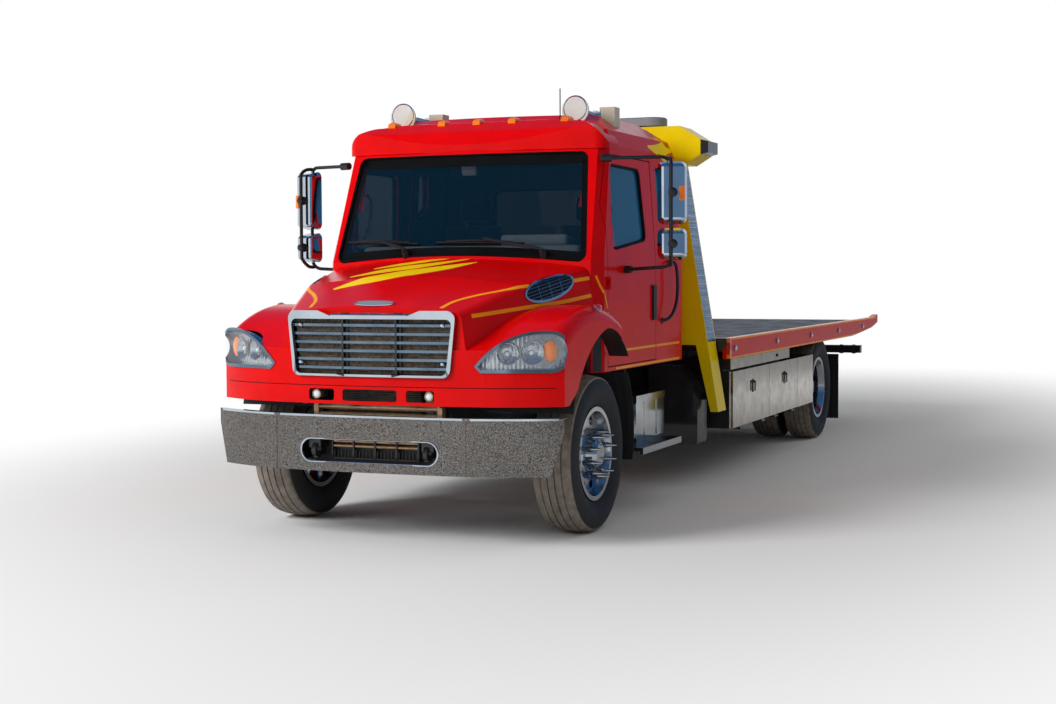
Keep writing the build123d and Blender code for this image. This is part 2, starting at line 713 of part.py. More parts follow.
sill_x = cab_half_width - cab_wall - 6       # edge of the cab's floor beside a shut door
screen_y = (1180.0, 1850.0)
back_y = (3100.0, 3300.0)
lip_wall = 14.0
lip_break_y = (1400.0, 1800.0)     # no lip here: the opening door's leaning front edge needs the room
lip_break_z = (1770.0, 2560.0)

cab_skin = cab_form(0)
cab_inside = cab_form(cab_wall)
door_inside = cab_form(cab_wall - seat_gap)
lip_inside = cab_form(cab_wall + lip_wall)
pane_setback = 20.0
pane_outside = cab_form(pane_setback)
pane_inside = cab_form(pane_setback + glass_thickness)
hinge_heights = (1290.0, 1600.0)
hinge_y = door_front
hinge_x = cab_half_width + door_pin_out
hinge_lug = 22.0
hinge_knuckle = 40.0


def hinge_leaf(z_range, y_range, side):
    """Flat leaf from a hinge's knuckle to the skin beside it."""
    block(sorted((side * cab_half_width, side * (hinge_x - 2))), y_range, z_range)


with BuildPart() as cab_lip:
    add(cab_inside)
    add(lip_inside, mode=Mode.SUBTRACT)
    add(side_prism(grown(door_hole, 30), side_x, 0), mode=Mode.INTERSECT)
    add(side_prism(door_lip, side_x, 0), mode=Mode.SUBTRACT)
    block((-cab_half_width, cab_half_width), lip_break_y, lip_break_z, mode=Mode.SUBTRACT)

with BuildPart() as cab_shell:
    add(cab_skin)
    add(cab_inside, mode=Mode.SUBTRACT)
    add(side_prism(door_hole, hole_x, 0), mode=Mode.SUBTRACT)
    block((-sill_x, sill_x), (door_front - door_gap, door_rear + door_gap), (cab_floor_z + 20, cab_floor_z + cab_wall))
    add(cab_lip.part)
    add(end_prism(windscreen, screen_y, window_corner, windscreen_rise), mode=Mode.SUBTRACT)
    add(end_prism(rear_window, back_y, window_corner), mode=Mode.SUBTRACT)
    add(side_prism(quarter_window, side_x, 35), mode=Mode.SUBTRACT)
    for side in (1, -1):
        for height in hinge_heights:
            low, high = height - hinge_knuckle / 2 - 1, height + hinge_knuckle / 2 + 1
            for lug in ((low - hinge_lug, low), (high, high + hinge_lug)):
                rod(knuckle_radius, (side * hinge_x, hinge_y, lug[0]), (side * hinge_x, hinge_y, lug[1]))
                hinge_leaf(lug, (hinge_y - 34, hinge_y), side)
            rod(pin_radius, (side * hinge_x, hinge_y, low - 4), (side * hinge_x, hinge_y, high + 4))
pieces["cab_shell"] = cab_shell

with BuildPart() as fixed_panes:
    add(end_prism(windscreen, screen_y, window_corner, windscreen_rise))
    add(end_prism(rear_window, back_y, window_corner))
    add(side_prism(quarter_window, side_x, 35))

with BuildPart() as cab_glass:
    add(pane_outside)
    add(pane_inside, mode=Mode.SUBTRACT)
    add(fixed_panes.part, mode=Mode.INTERSECT)
pieces["cab_glass"] = cab_glass

# ---------------------------------------------------------------- doors
door_handle = ((2440.0, 2510.0), (1325.0, 1578.0))

vent_post = ((1580.0, 2460.0), (1606.0, 2460.0), (1732.0, 1790.0), (1706.0, 1790.0))

with BuildPart() as door_posts:
    add(side_prism(vent_post, side_x, 0))
    add(side_prism(grown(door_window, 1), side_x, window_corner), mode=Mode.INTERSECT)

with BuildPart() as post_shell:
    add(pane_outside)
    add(door_inside, mode=Mode.SUBTRACT)
    add(door_posts.part, mode=Mode.INTERSECT)

with BuildPart() as doors:
    add(cab_skin)
    add(door_inside, mode=Mode.SUBTRACT)
    add(side_prism(door_outline, side_x, 0), mode=Mode.INTERSECT)
    block((seat_gap - cab_half_width + cab_wall, cab_half_width - cab_wall - seat_gap), (door_front - 20, door_rear + 20),
          (cab_floor_z, cab_floor_z + cab_wall + seat_gap), mode=Mode.SUBTRACT)
    add(side_prism(door_window, side_x, window_corner), mode=Mode.SUBTRACT)
    add(post_shell.part)
    for side in (1, -1):
        for height in hinge_heights:
            span = (height - hinge_knuckle / 2, height + hinge_knuckle / 2)
            rod(knuckle_radius, (side * hinge_x, hinge_y, span[0]), (side * hinge_x, hinge_y, span[1]))
            hinge_leaf(span, (hinge_y, hinge_y + 34), side)
            rod(pin_radius + running_gap, (side * hinge_x, hinge_y, span[0] - 1), (side * hinge_x, hinge_y, span[1] + 1),
                mode=Mode.SUBTRACT)
        block(sorted((side * (cab_half_width - 2), side * (cab_half_width + 16))), door_handle[0], door_handle[1])
        block(sorted((side * (cab_half_width), side * (cab_half_width + 9))), (2452, 2498), (1370, 1535),
              mode=Mode.SUBTRACT)

with BuildPart() as door_panes:
    add(pane_outside)
    add(pane_inside, mode=Mode.SUBTRACT)
    add(side_prism(door_window, side_x, window_corner), mode=Mode.INTERSECT)
    add(door_posts.part, mode=Mode.SUBTRACT)

for name, source in (("door", doors), ("door_glass", door_panes)):
    for label, side in (("left", 1), ("right", -1)):
        with BuildPart() as half:
            add(source.part)
            with Locations((-side * 2000, 0, 1500)):
                Box(4000, 12000, 4000, mode=Mode.SUBTRACT)
        pieces[f"{name}_{label}"] = half

# ---------------------------------------------------------------- mirrors, on the doors
arm_radius = 12.0
arm_x = 1390.0
arm_y = 1770.0
arm_feet = ((990.0, 1560.0, 2440.0), (1034.0, 1850.0, 1690.0))   # X, distance behind the bumper, Z
mirror_heads = ((1995.0, 2420.0), (1755.0, 1970.0))               # foot and top of each head
mirror_x = (1300.0, 1500.0)
mirror_depth = 95.0
mirror_turn = 20.0                 # the heads face the driver
mirror_round = 26.0

with BuildPart() as mirror_left:
    (top_x, top_y, top_z), (low_x, low_y, low_z) = arm_feet
    with BuildLine():
        arm = FilletPolyline((top_x, aft(top_y), top_z), (arm_x, aft(arm_y), top_z + 10), (arm_x, aft(arm_y), low_z + 20),
                       (low_x, aft(low_y), low_z), radius=70)
    with BuildSketch(Plane(origin=arm @ 0, z_dir=arm % 0)):
        Circle(arm_radius)
    sweep()
    rod(26, (top_x - 30, top_y, top_z), (top_x + 40, top_y + 22, top_z))
    rod(26, (low_x - 8, low_y, low_z), (low_x + 44, low_y - 10, low_z + 2))
    for foot, top in mirror_heads:
        middle = (foot + top) / 2
        face = Plane(origin=(arm_x, aft(arm_y + 15), middle), x_dir=(1, 0, 0), z_dir=(0, -1, 0)).rotated((0, 0, mirror_turn))
        with BuildPart() as head:
            with BuildSketch(face):
                RectangleRounded(mirror_x[1] - mirror_x[0], top - foot, 45)
            extrude(amount=mirror_depth, taper=14)
            fillet(head.faces().sort_by(Axis(face.origin, face.z_dir))[-1].edges(), mirror_round)
        add(head.part)
        rod(20, (arm_x, arm_y - 6, middle - 20), (arm_x, arm_y - 6, middle + 20))
    add(cab_skin, mode=Mode.SUBTRACT)
with BuildPart() as mirror_right:
    mirror(mirror_left.part, about=Plane.YZ)
pieces["mirror_left"] = mirror_left
pieces["mirror_right"] = mirror_right

# ---------------------------------------------------------------- roof visor
visor_profile = ((1525.0, 2512.0), (1512.0, 2560.0), (1560.0, 2655.0), (1680.0, 2725.0), (1860.0, 2748.0),
                 (1860.0, 2560.0), (1640.0, 2512.0))
visor_half = 985.0
visor_bow = 60.0
visor_crown_z = 2752.0              # top of the visor in the middle
visor_end_z = visor_profile[0][1] + 42      # top of its sides
visor_foot_z = visor_profile[0][1] - 60
visor_shoulder = (visor_half - 75, visor_end_z + 96)
visor_haunch = (visor_half - 250, visor_end_z + 152)

with BuildPart() as sun_visor:
    with BuildSketch(along(-visor_half)) as face:
        outline([(aft(y), z) for y, z in visor_profile])
    extrude(face.sketch, amount=2 * visor_half)
    fillet(sun_visor.edges().filter_by(Axis.X).sort_by(Axis.Z)[-3:], 40)
    with BuildSketch(level(2400)) as limit:
        with BuildLine() as plan:
            ThreePointArc((-visor_half, aft(1512 + visor_bow + 20)), (0, aft(1512 - visor_bow + 60)),
                          (visor_half, aft(1512 + visor_bow + 20)))
            Polyline((visor_half, aft(1512 + visor_bow + 20)), (visor_half, aft(1860)), (-visor_half, aft(1860)),
                     (-visor_half, aft(1512 + visor_bow + 20)))
        make_face()
        fillet(limit.vertices().sort_by(Axis.Y)[:2], 90)
    extrude(limit.sketch, amount=500, mode=Mode.INTERSECT)
    with BuildSketch(across(aft(1400))) as crown:
        with BuildLine():
            Polyline((visor_half, visor_end_z), (visor_half, visor_foot_z), (-visor_half, visor_foot_z),
                     (-visor_half, visor_end_z))
            ThreePointArc((-visor_half, visor_end_z), (-visor_shoulder[0], visor_shoulder[1]),
                          (-visor_haunch[0], visor_haunch[1]))
            ThreePointArc((-visor_haunch[0], visor_haunch[1]), (0, visor_crown_z), visor_haunch)
            ThreePointArc(visor_haunch, visor_shoulder, (visor_half, visor_end_z))
        make_face()
    extrude(crown.sketch, amount=-600, mode=Mode.INTERSECT)
    add(cab_skin, mode=Mode.SUBTRACT)
pieces["sun_visor"] = sun_visor

# ---------------------------------------------------------------- roof lamps, horns and aerial
roof_lamps = (-663.0, -269.0, 0.0, 269.0, 663.0)
roof_lamp_y = 1690.0
horn_x = 668.0
horn_z = 2797.0
horn_y = (1840.0, 2330.0)
horn_radius = 98.0


def seated(half_x, z_range):
    """Solid above the visor and roof: what stands on them is cut to their shape."""
    with BuildPart() as space:
        block((-half_x, half_x), (1400, 3300), z_range)
        add(sun_visor.part, mode=Mode.SUBTRACT)
        add(cab_skin, mode=Mode.SUBTRACT)
    return space.part


roof_space = seated(900.0, (2640.0, 3000.0))

with BuildPart() as clearance_lamps:
    for lamp_x in roof_lamps:
        with BuildSketch(across(aft(roof_lamp_y - 45))) as lens:
            with Locations((lamp_x, 2700.0)):
                RectangleRounded(54, 100, 24)
        extrude(lens.sketch, amount=-110)
    with BuildSketch(along(-800)) as slope:
        outline([(aft(1640), 2660), (aft(1652), 2735), (aft(1700), 2762), (aft(1755), 2740), (aft(1755), 2660)])
    extrude(slope.sketch, amount=1600, mode=Mode.INTERSECT)
    add(roof_space, mode=Mode.INTERSECT)
pieces["clearance_lamps"] = clearance_lamps

with BuildPart() as air_horns:
    for side in (1, -1):
        with BuildSketch(Plane(origin=(side * horn_x, 0, horn_z), x_dir=(0, 1, 0), z_dir=(1, 0, 0))) as profile:
            with BuildLine() as line:
                front, back = aft(horn_y[0]), aft(horn_y[1])
                Polyline((back, 0), (front, 0), (front, horn_radius), (front + 16, horn_radius))
                ThreePointArc((front + 16, horn_radius), (front + 90, 48), (front + 220, 24))
                Polyline((front + 220, 24), (back - 90, 20), (back - 90, 34), (back, 34), (back, 0))
            make_face(line.edges())
        revolve(profile.sketch, axis=Axis((side * horn_x, 0, horn_z), (0, 1, 0)))
        for foot in (horn_y[0] + 130, horn_y[1] - 130):
            block((side * horn_x - 12, side * horn_x + 12), (foot, foot + 30), (2650, horn_z - 10))
        block((side * horn_x + 150 - 55, side * horn_x + 150 + 55), (2080, 2190), (2650, 2835))
    rod(9, (549, 1860, 2650), (549, 1860, 2760))
    rod(4, (549, 1860, 2760), (549, 1860, 2955))
    add(roof_space, mode=Mode.INTERSECT)
pieces["air_horns"] = air_horns

# ---------------------------------------------------------------- hood vents
vent_place = (880.0, 880.0, 1590.0)
vent_turn = 17.0
vent_tip = 30.0
vent_size = (270.0, 78.0)          # half length and half height
vent_rim = 16.0
vent_pitch = 11.0
vent_height = 7.0


def vent_plane(side):
    """Plane of a hood vent's outline; its normal points out of the hood's side and up."""
    turn, tip = radians(vent_turn), radians(vent_tip)
    out = Vector(side * cos(turn) * cos(tip), -sin(turn) * cos(tip), sin(tip))
    back = Vector(side * sin(turn), cos(turn), 0)
    return Plane(origin=(side * vent_place[0], aft(vent_place[1]), vent_place[2]), x_dir=back, z_dir=out)


with BuildPart() as hood_vents:
    for side in (1, -1):
        with BuildSketch(vent_plane(side)) as rim:
            turned = side * vent_pitch
            Ellipse(vent_size[0], vent_size[1], rotation=turned)
            Ellipse(vent_size[0] - vent_rim, vent_size[1] - vent_rim, rotation=turned, mode=Mode.SUBTRACT)
            with Locations(Location((0, 0, 0), (0, 0, turned))):
                with GridLocations(0, 20, 1, 6):
                    Rectangle(2 * vent_size[0] - 30, 5)
                with GridLocations(120, 0, 3, 1):
                    Rectangle(8, 2 * vent_size[1] - 20)
            Ellipse(vent_size[0], vent_size[1], rotation=turned, mode=Mode.INTERSECT)
        extrude(rim.sketch, amount=120, both=True)
    add(hood_form(-vent_height), mode=Mode.INTERSECT)
    add(hood_skin, mode=Mode.SUBTRACT)
pieces["hood_vents"] = hood_vents

# ---------------------------------------------------------------- cab interior
dash_profile = ((1395.0, 1330.0), (1395.0, 1700.0), (1480.0, 1745.0), (1640.0, 1715.0), (1720.0, 1640.0),
                (1730.0, 1500.0), (1640.0, 1330.0))
dash_half = 900.0
wheel_place = (480.0, 1870.0, 1665.0)
wheel_tilt = 40.0
column_foot = (480.0, 1640.0, 1480.0)
seat_places = (480.0, -480.0)
seat_y = (2050.0, 2540.0)
seat_z = (1330.0, 1490.0)
back_top_z = 2180.0
seat_half = 255.0

with BuildPart() as dashboard:
    with BuildSketch(along(-dash_half)) as face:
        outline([(aft(y), z) for y, z in dash_profile])
    extrude(face.sketch, amount=2 * dash_half)
    block((-130, 130), (1400, 1700), (cab_floor_z + cab_wall, 1400))
    add(cab_form(cab_wall + seat_gap), mode=Mode.INTERSECT)
with BuildPart() as steering_wheel:
    tilt = radians(wheel_tilt)
    rake = Plane(origin=(wheel_place[0], aft(wheel_place[1]), wheel_place[2]), x_dir=(1, 0, 0),
                 z_dir=(0, sin(tilt), cos(tilt)))
    with Locations(rake):
        Torus(215, 15)
        Cylinder(60, 44)
        with PolarLocations(0, 3, start_angle=90):
            with Locations((110, 0, 0)):
                Box(190, 34, 14)
    rod(34, column_foot, wheel_place)
    add(dashboard.part, mode=Mode.SUBTRACT)

with BuildPart() as seats:
    for seat_x in seat_places:
        block((seat_x - seat_half, seat_x + seat_half), seat_y, seat_z)
        with BuildSketch(along(seat_x - seat_half + 10)) as back:
            outline([(aft(seat_y[1] - 90), seat_z[0] + 40), (aft(seat_y[1] + 60), seat_z[0] + 40),
                     (aft(seat_y[1] + 170), back_top_z), (aft(seat_y[1] + 70), back_top_z)])
        extrude(back.sketch, amount=2 * seat_half - 20)
pieces["seats"] = seats
with BuildPart() as cab_fittings:
    add(dashboard.part)
    add(steering_wheel.part)
    for seat_x in seat_places:
        block((seat_x - 190, seat_x + 190), (seat_y[0] + 60, seat_y[1] - 40), (cab_floor_z + cab_wall, seat_z[0]))
pieces["cab_fittings"] = cab_fittings

# ---------------------------------------------------------------- front axle and springs
beam_z = (445.0, 535.0)
eye_z = (430.0, 550.0)
eye_radius = 38.0
spring_x = 390.0
spring_width = 75.0
spring_pack = 45.0
front_spring_half = 640.0
rear_spring_half = 720.0

with BuildPart() as front_axle:
    drop = spring_x + 90
    with BuildSketch(across(aft(front_axle_y) - 42)) as beam:
        outline([(-kingpin_x, beam_z[1] + 8), (-drop, beam_z[1]), (drop, beam_z[1]), (kingpin_x, beam_z[1] + 8),
                 (kingpin_x, beam_z[0] + 8), (drop, beam_z[0]), (-drop, beam_z[0]), (-kingpin_x, beam_z[0] + 8)])
    extrude(beam.sketch, amount=-84)
    for side in (1, -1):
        for y in (-50, 28):
            block(sorted((side * (drop - 160 + 20), side * (kingpin_x - 60))),
                  (front_axle_y + y, front_axle_y + y + 22), (beam_z[0] + 20, beam_z[1] - 20), mode=Mode.SUBTRACT)
        rod(eye_radius, (side * kingpin_x, front_axle_y, eye_z[0]), (side * kingpin_x, front_axle_y, eye_z[1]))
        rod(kingpin_radius + running_gap, (side * kingpin_x, front_axle_y, eye_z[0] - 5),
            (side * kingpin_x, front_axle_y, eye_z[1] + 5), mode=Mode.SUBTRACT)
        block(sorted((side * (spring_x - spring_width / 2), side * (spring_x + spring_width / 2))),
              (front_axle_y - 60, front_axle_y + 60), (beam_z[1] - 5, beam_z[1] + 15))
pieces["front_axle"] = front_axle


def leaf_spring(axle_y, half_length, seat_z, eye_rise):
    """Add a pair of curved leaf packs with their clamps, hangers and shackles."""
    for side in (1, -1):
        low_x = side * spring_x - spring_width / 2
        with BuildSketch(along(low_x)) as leaf:
            with BuildLine() as line:
                tips = [(aft(axle_y - half_length), seat_z + eye_rise), (aft(axle_y + half_length), seat_z + eye_rise)]
                tops = [(y, z + 18) for y, z in tips]
                ThreePointArc(tips[0], (aft(axle_y), seat_z), tips[1])
                Line(tips[1], tops[1])
                ThreePointArc(tops[1], (aft(axle_y), seat_z + spring_pack), tops[0])
                Line(tops[0], tips[0])
            make_face(line.edges())
        extrude(leaf.sketch, amount=spring_width)
        for end in (-1, 1):
            place = axle_y + end * (half_length - 6)
            rod(24, (low_x, place, seat_z + eye_rise + 12), (low_x + spring_width, place, seat_z + eye_rise + 12))
            for plate in (low_x, low_x + spring_width - 10):
                block((plate, plate + 10), (place - 30, place + 30), (seat_z + eye_rise + 10, rail_bottom_z))


with BuildPart() as leaf_springs:
    leaf_spring(front_axle_y, front_spring_half, beam_z[1] + 15, 30)
    leaf_spring(rear_axle_y, rear_spring_half, axle_z + 84, 22)
pieces["leaf_springs"] = leaf_springs

# ---------------------------------------------------------------- rear axle and propeller shaft
housing_radius = 75.0
bowl_radius = 185.0
shaft_radius = 45.0
spindle_radius = hub_bore_radius
rear_spindle_end = dual_outer_x + 40
gearbox_rear = 1984.0
gearbox_z = 770.0

with BuildPart() as rear_axle:
    with BuildSketch(Plane(origin=(0, aft(rear_axle_y), axle_z), x_dir=(1, 0, 0), z_dir=(0, 0, 1))) as section:
        outline([(-560, 0), (-560, housing_radius), (-250, housing_radius + 5), (-110, 150), (110, 150),
                 (250, housing_radius + 5), (560, housing_radius), (560, 0)])
    revolve(section.sketch, axis=Axis((0, aft(rear_axle_y), axle_z), (1, 0, 0)))
    with Locations((0, aft(rear_axle_y), axle_z)):
        Sphere(bowl_radius)
    for side in (1, -1):
        rod(spindle_radius, (side * 560, rear_axle_y, axle_z), (side * rear_spindle_end, rear_axle_y, axle_z))
        block(sorted((side * (spring_x - spring_width / 2), side * (spring_x + spring_width / 2))),
              (rear_axle_y - 60, rear_axle_y + 60), (axle_z + 40, axle_z + 84))
    rod(60, (0, rear_axle_y - 240, axle_z + 8), (0, rear_axle_y - 150, axle_z))
    rod(shaft_radius, (0, gearbox_rear, gearbox_z), (0, rear_axle_y - 240, axle_z + 8))
pieces["rear_axle"] = rear_axle

# ---------------------------------------------------------------- steering
fork_gap = seat_gap
fork_plate = 34.0
spindle_start_x = kingpin_x + 46
front_spindle_end = front_tyre_x + 60

with BuildPart() as knuckle_left:
    for low, high in ((eye_z[0] - fork_gap - fork_plate, eye_z[0] - fork_gap),
                      (eye_z[1] + fork_gap, eye_z[1] + fork_gap + fork_plate)):
        rod(eye_radius, (kingpin_x, front_axle_y, low), (kingpin_x, front_axle_y, high))
        block((kingpin_x, kingpin_x + 75), (front_axle_y - eye_radius, front_axle_y + eye_radius), (low, high))
    block((spindle_start_x, kingpin_x + 75), (front_axle_y - 60, front_axle_y + 60),
          (eye_z[0] - fork_gap - fork_plate, eye_z[1] + fork_gap + fork_plate))
    rod(kingpin_radius, (kingpin_x, front_axle_y, eye_z[0] - 20), (kingpin_x, front_axle_y, eye_z[1] + 20))
    rod(spindle_radius, (spindle_start_x + 10, front_axle_y, axle_z), (front_spindle_end, front_axle_y, axle_z))
    arm_z = (eye_z[0] - fork_gap - 20, eye_z[0] - fork_gap)
    with BuildSketch(level(arm_z[0])) as arm:
        outline([(kingpin_x - 24, aft(front_axle_y)), (kingpin_x + 24, aft(front_axle_y)),
                 (steer_ball_x + 22, aft(front_axle_y + steer_arm_back)),
                 (steer_ball_x - 22, aft(front_axle_y + steer_arm_back))])
        with Locations((steer_ball_x, aft(front_axle_y + steer_arm_back))):
            Circle(22)
    extrude(arm.sketch, amount=20)
    ball_low = arm_z[0] - 46
    rod(10, (steer_ball_x, front_axle_y + steer_arm_back, ball_low), (steer_ball_x, front_axle_y + steer_arm_back, arm_z[1]))
with BuildPart() as knuckle_right:
    mirror(knuckle_left.part, about=Plane.YZ)
pieces["knuckle_left"] = knuckle_left
pieces["knuckle_right"] = knuckle_right

rod_end_z = (ball_low + 2, ball_low + 40)
with BuildPart() as tie_rod:
    back_y = front_axle_y + steer_arm_back
    middle = sum(rod_end_z) / 2
    rod(15, (-steer_ball_x, back_y, middle), (steer_ball_x, back_y, middle))
    for side in (1, -1):
        rod(24, (side * steer_ball_x, back_y, rod_end_z[0]), (side * steer_ball_x, back_y, rod_end_z[1]))
        bore = 10 + running_gap if side > 0 else 12
        rod(bore, (side * steer_ball_x, back_y, rod_end_z[0] - 1), (side * steer_ball_x, back_y, rod_end_z[1] + 1),
            mode=Mode.SUBTRACT)
pieces["tie_rod"] = tie_rod

# ---------------------------------------------------------------- tyres and rims
tyre_crown = 16.0                  # how far the shoulders fall below the tread's middle
wall_drop = 16.125                 # widest place of the side wall below the wall's middle
bead_half = 105.0
groove_places = (-72.0, -24.0, 24.0, 72.0)
groove = (9.0, 13.0)
rim_lip = 14.0
rim_wall = 12.0


def about_axle(x, y):
    """Plane for a wheel's half section: sketch x is X from the tyre's middle, sketch y is the radius."""
    return Plane(origin=(x, aft(y), axle_z), x_dir=(1, 0, 0), z_dir=(0, -1, 0))


def tyre_at(x, y):
    """Add one tyre: round shoulders, bulged walls and four tread grooves."""
    outer, seat, lip = tyre_diameter / 2, rim_diameter / 2, flange_diameter / 2
    half, tread = tyre_width / 2, tyre_width / 2 - 22
    widest = (seat + outer) / 2 - wall_drop
    with BuildSketch(about_axle(x, y)) as section:
        with BuildLine() as line:
            Polyline((-bead_half, lip), (-bead_half, seat), (bead_half, seat), (bead_half, lip))
            ThreePointArc((bead_half, lip), (half, widest), (tread, outer - tyre_crown))
            ThreePointArc((tread, outer - tyre_crown), (0, outer), (-tread, outer - tyre_crown))
            ThreePointArc((-tread, outer - tyre_crown), (-half, widest), (-bead_half, lip))
        make_face(line.edges())
        with Locations(*[(place, outer) for place in groove_places]):
            Rectangle(groove[0], 2 * groove[1], mode=Mode.SUBTRACT)
        with BuildLine() as cavity:
            Line((-bead_half + 18, seat), (bead_half - 18, seat))
            ThreePointArc((bead_half - 18, seat), (half - 18, widest), (tread - 16, outer - tyre_crown - 24))
            Line((tread - 16, outer - tyre_crown - 24), (-tread + 16, outer - tyre_crown - 24))
            ThreePointArc((-tread + 16, outer - tyre_crown - 24), (-half + 18, widest), (-bead_half + 18, seat))
        make_face(cavity.edges(), mode=Mode.SUBTRACT)
    revolve(section.sketch, axis=Axis((x, aft(y), axle_z), (1, 0, 0)))


def rim_at(x, y, side, disc_out):
    """Add one rim: flanged barrel, dished disc with hand holes, and the hub's bore if it has one."""
    seat = rim_diameter / 2
    lip = flange_diameter / 2
    with BuildSketch(about_axle(x, y)) as section:
        outline([(-bead_half, seat), (bead_half, seat), (bead_half, lip), (bead_half + rim_lip, lip),
                 (bead_half + rim_lip, seat - rim_wall), (60, seat - rim_wall - 18), (-60, seat - rim_wall - 18),
                 (-bead_half - rim_lip, seat - rim_wall), (-bead_half - rim_lip, lip), (-bead_half, lip)])
    revolve(section.sketch, axis=Axis((x, aft(y), axle_z), (1, 0, 0)))
    with BuildSketch(about_axle(x, y)) as disc:
        s = side
        outline([(s * (disc_out - 22), seat - rim_wall + 2), (s * disc_out, seat - rim_wall + 2),
                 (s * disc_out, 175), (s * (disc_out + 6), 120), (s * (disc_out - 16), 120), (s * (disc_out - 22), 175)])
    revolve(disc.sketch, axis=Axis((x, aft(y), axle_z), (1, 0, 0)))
    with Locations(Plane(origin=(x + s * disc_out, aft(y), axle_z), z_dir=(1, 0, 0))):
        with PolarLocations(215, 10, start_angle=18):
            Cylinder(29, 120, mode=Mode.SUBTRACT)


def hub_at(x, y, side, start, end, cap):
    """Add a hub with its cap, studs and nut covers; start, end and cap are X from the tyre's middle."""
    s = side
    with BuildSketch(about_axle(x, y)) as section:
        outline([(s * start, hub_bore_radius + running_gap), (s * start, 165), (s * (end - 30), 165), (s * end, 150),
                 (s * end, 105), (s * (cap - 25), 92), (s * cap, 70), (s * cap, 0), (s * (cap - 12), 0),
                 (s * (cap - 12), hub_bore_radius + running_gap)])
    revolve(section.sketch, axis=Axis((x, aft(y), axle_z), (1, 0, 0)))
    face = Plane(origin=(x + s * (end - 4), aft(y), axle_z), z_dir=(s, 0, 0))
    with Locations(face):
        with PolarLocations(stud_circle / 2, stud_count):
            Cylinder(19, 50, align=(Align.CENTER, Align.CENTER, Align.MIN))
            with Locations((0, 0, 50)):
                Cone(19, 4, 78, align=(Align.CENTER, Align.CENTER, Align.MIN))


for label, side in (("left", 1), ("right", -1)):
    with BuildPart() as tyre:
        tyre_at(side * front_tyre_x, front_axle_y)
    pieces[f"tyre_front_{label}"] = tyre
    with BuildPart() as rim:
        rim_at(side * front_tyre_x, front_axle_y, side, 58)
        hub_at(side * front_tyre_x, front_axle_y, side, -70, 86, 150)
    pieces[f"rim_front_{label}"] = rim
    with BuildPart() as duals:
        tyre_at(side * dual_outer_x, rear_axle_y)
        tyre_at(side * (dual_outer_x - dual_spacing), rear_axle_y)
    pieces[f"tyres_rear_{label}"] = duals
    with BuildPart() as rims:
        rim_at(side * dual_outer_x, rear_axle_y, side, -88)
        rim_at(side * (dual_outer_x - dual_spacing), rear_axle_y, side, 88)
        hub_at(side * dual_outer_x, rear_axle_y, side, -440, -70, 60)
    pieces[f"rims_rear_{label}"] = rims

# ---------------------------------------------------------------- battery box, steps and side tanks
battery = ((560.0, 950.0), (2315.0, 2970.0), (455.0, 775.0))
step_x = (720.0, 1150.0)
step_y = (1880.0, 2770.0)
step_z = (410.0, 455.0)

with BuildPart() as battery_box:
    with BuildSketch(along(battery[0][0])) as box_side:
        with Locations((aft(sum(battery[1]) / 2), sum(battery[2]) / 2)):
            RectangleRounded(battery[1][1] - battery[1][0], battery[2][1] - battery[2][0], 14)
    extrude(box_side.sketch, amount=battery[0][1] - battery[0][0])
    block((battery[0][0], battery[0][1] + 5), (battery[1][0] - 4, battery[1][1] + 4), (728, battery[2][1] + 4))
    for strap in (2500.0, 2780.0):
        block((battery[0][1], battery[0][1] + 5), (strap, strap + 34), (battery[2][0] + 10, 728))
    block((rail_outer_x, battery[0][0]), (battery[1][0] + 60, 2600), (660, 700))
pieces["battery_box"] = battery_box

fuel_x = (-960.0, -566.0)
fuel_y = (2240.0, 3230.0)
fuel_z = (462.0, 862.0)

with BuildPart() as fuel_tank:
    with BuildSketch(across(aft(fuel_y[0]))) as shell:
        with Locations((sum(fuel_x) / 2, sum(fuel_z) / 2)):
            RectangleRounded(fuel_x[1] - fuel_x[0], fuel_z[1] - fuel_z[0], 90)
    extrude(shell.sketch, amount=fuel_y[0] - fuel_y[1])
    for strap in (2430.0, 2980.0):
        with BuildSketch(across(aft(strap))) as band:
            with Locations((sum(fuel_x) / 2, sum(fuel_z) / 2)):
                RectangleRounded(fuel_x[1] - fuel_x[0] + 8, fuel_z[1] - fuel_z[0] + 8, 94)
        extrude(band.sketch, amount=-50)
        block((fuel_x[1] - 4, -rail_outer_x), (strap, strap + 50), (rail_bottom_z + 10, rail_bottom_z + 60))
    rod(32, (fuel_x[0] + 80, 2330, fuel_z[1] - 20), (fuel_x[0] + 80, 2330, fuel_z[1] + 40))
pieces["fuel_tank"] = fuel_tank

with BuildPart() as cab_steps:
    for side in (1, -1):
        with BuildSketch(across(aft(step_y[0]))) as tread:
            outline([(side * step_x[0], step_z[1]), (side * step_x[1], step_z[1]), (side * step_x[1], step_z[0]),
                     (side * (step_x[1] - 22), step_z[0]), (side * (step_x[1] - 22), step_z[1] - 14),
                     (side * step_x[0], step_z[1] - 14)])
        extrude(tread.sketch, amount=step_y[0] - step_y[1])
        for place in (1960.0, 2640.0):
            with BuildSketch(across(aft(place))) as arm:
                outline([(side * rail_outer_x, 700), (side * rail_outer_x, 656), (side * 540, 420),
                         (side * (step_x[1] - 22), 420), (side * (step_x[1] - 22), step_z[1] - 14),
                         (side * 560, step_z[1] - 14), (side * (rail_outer_x + 60), 700)])
            extrude(arm.sketch, amount=-40)
        for place in (1900.0,):
            block(sorted((side * 900.0, side * 1010.0)), (place, place + 10), (step_z[1], cab_floor_z))
pieces["cab_steps"] = cab_steps

side_tank_x = (700.0, 950.0, 1100.0)
side_tank_y = (3350.0, 3605.0)
side_tank_z = (330.0, 690.0, 940.0)

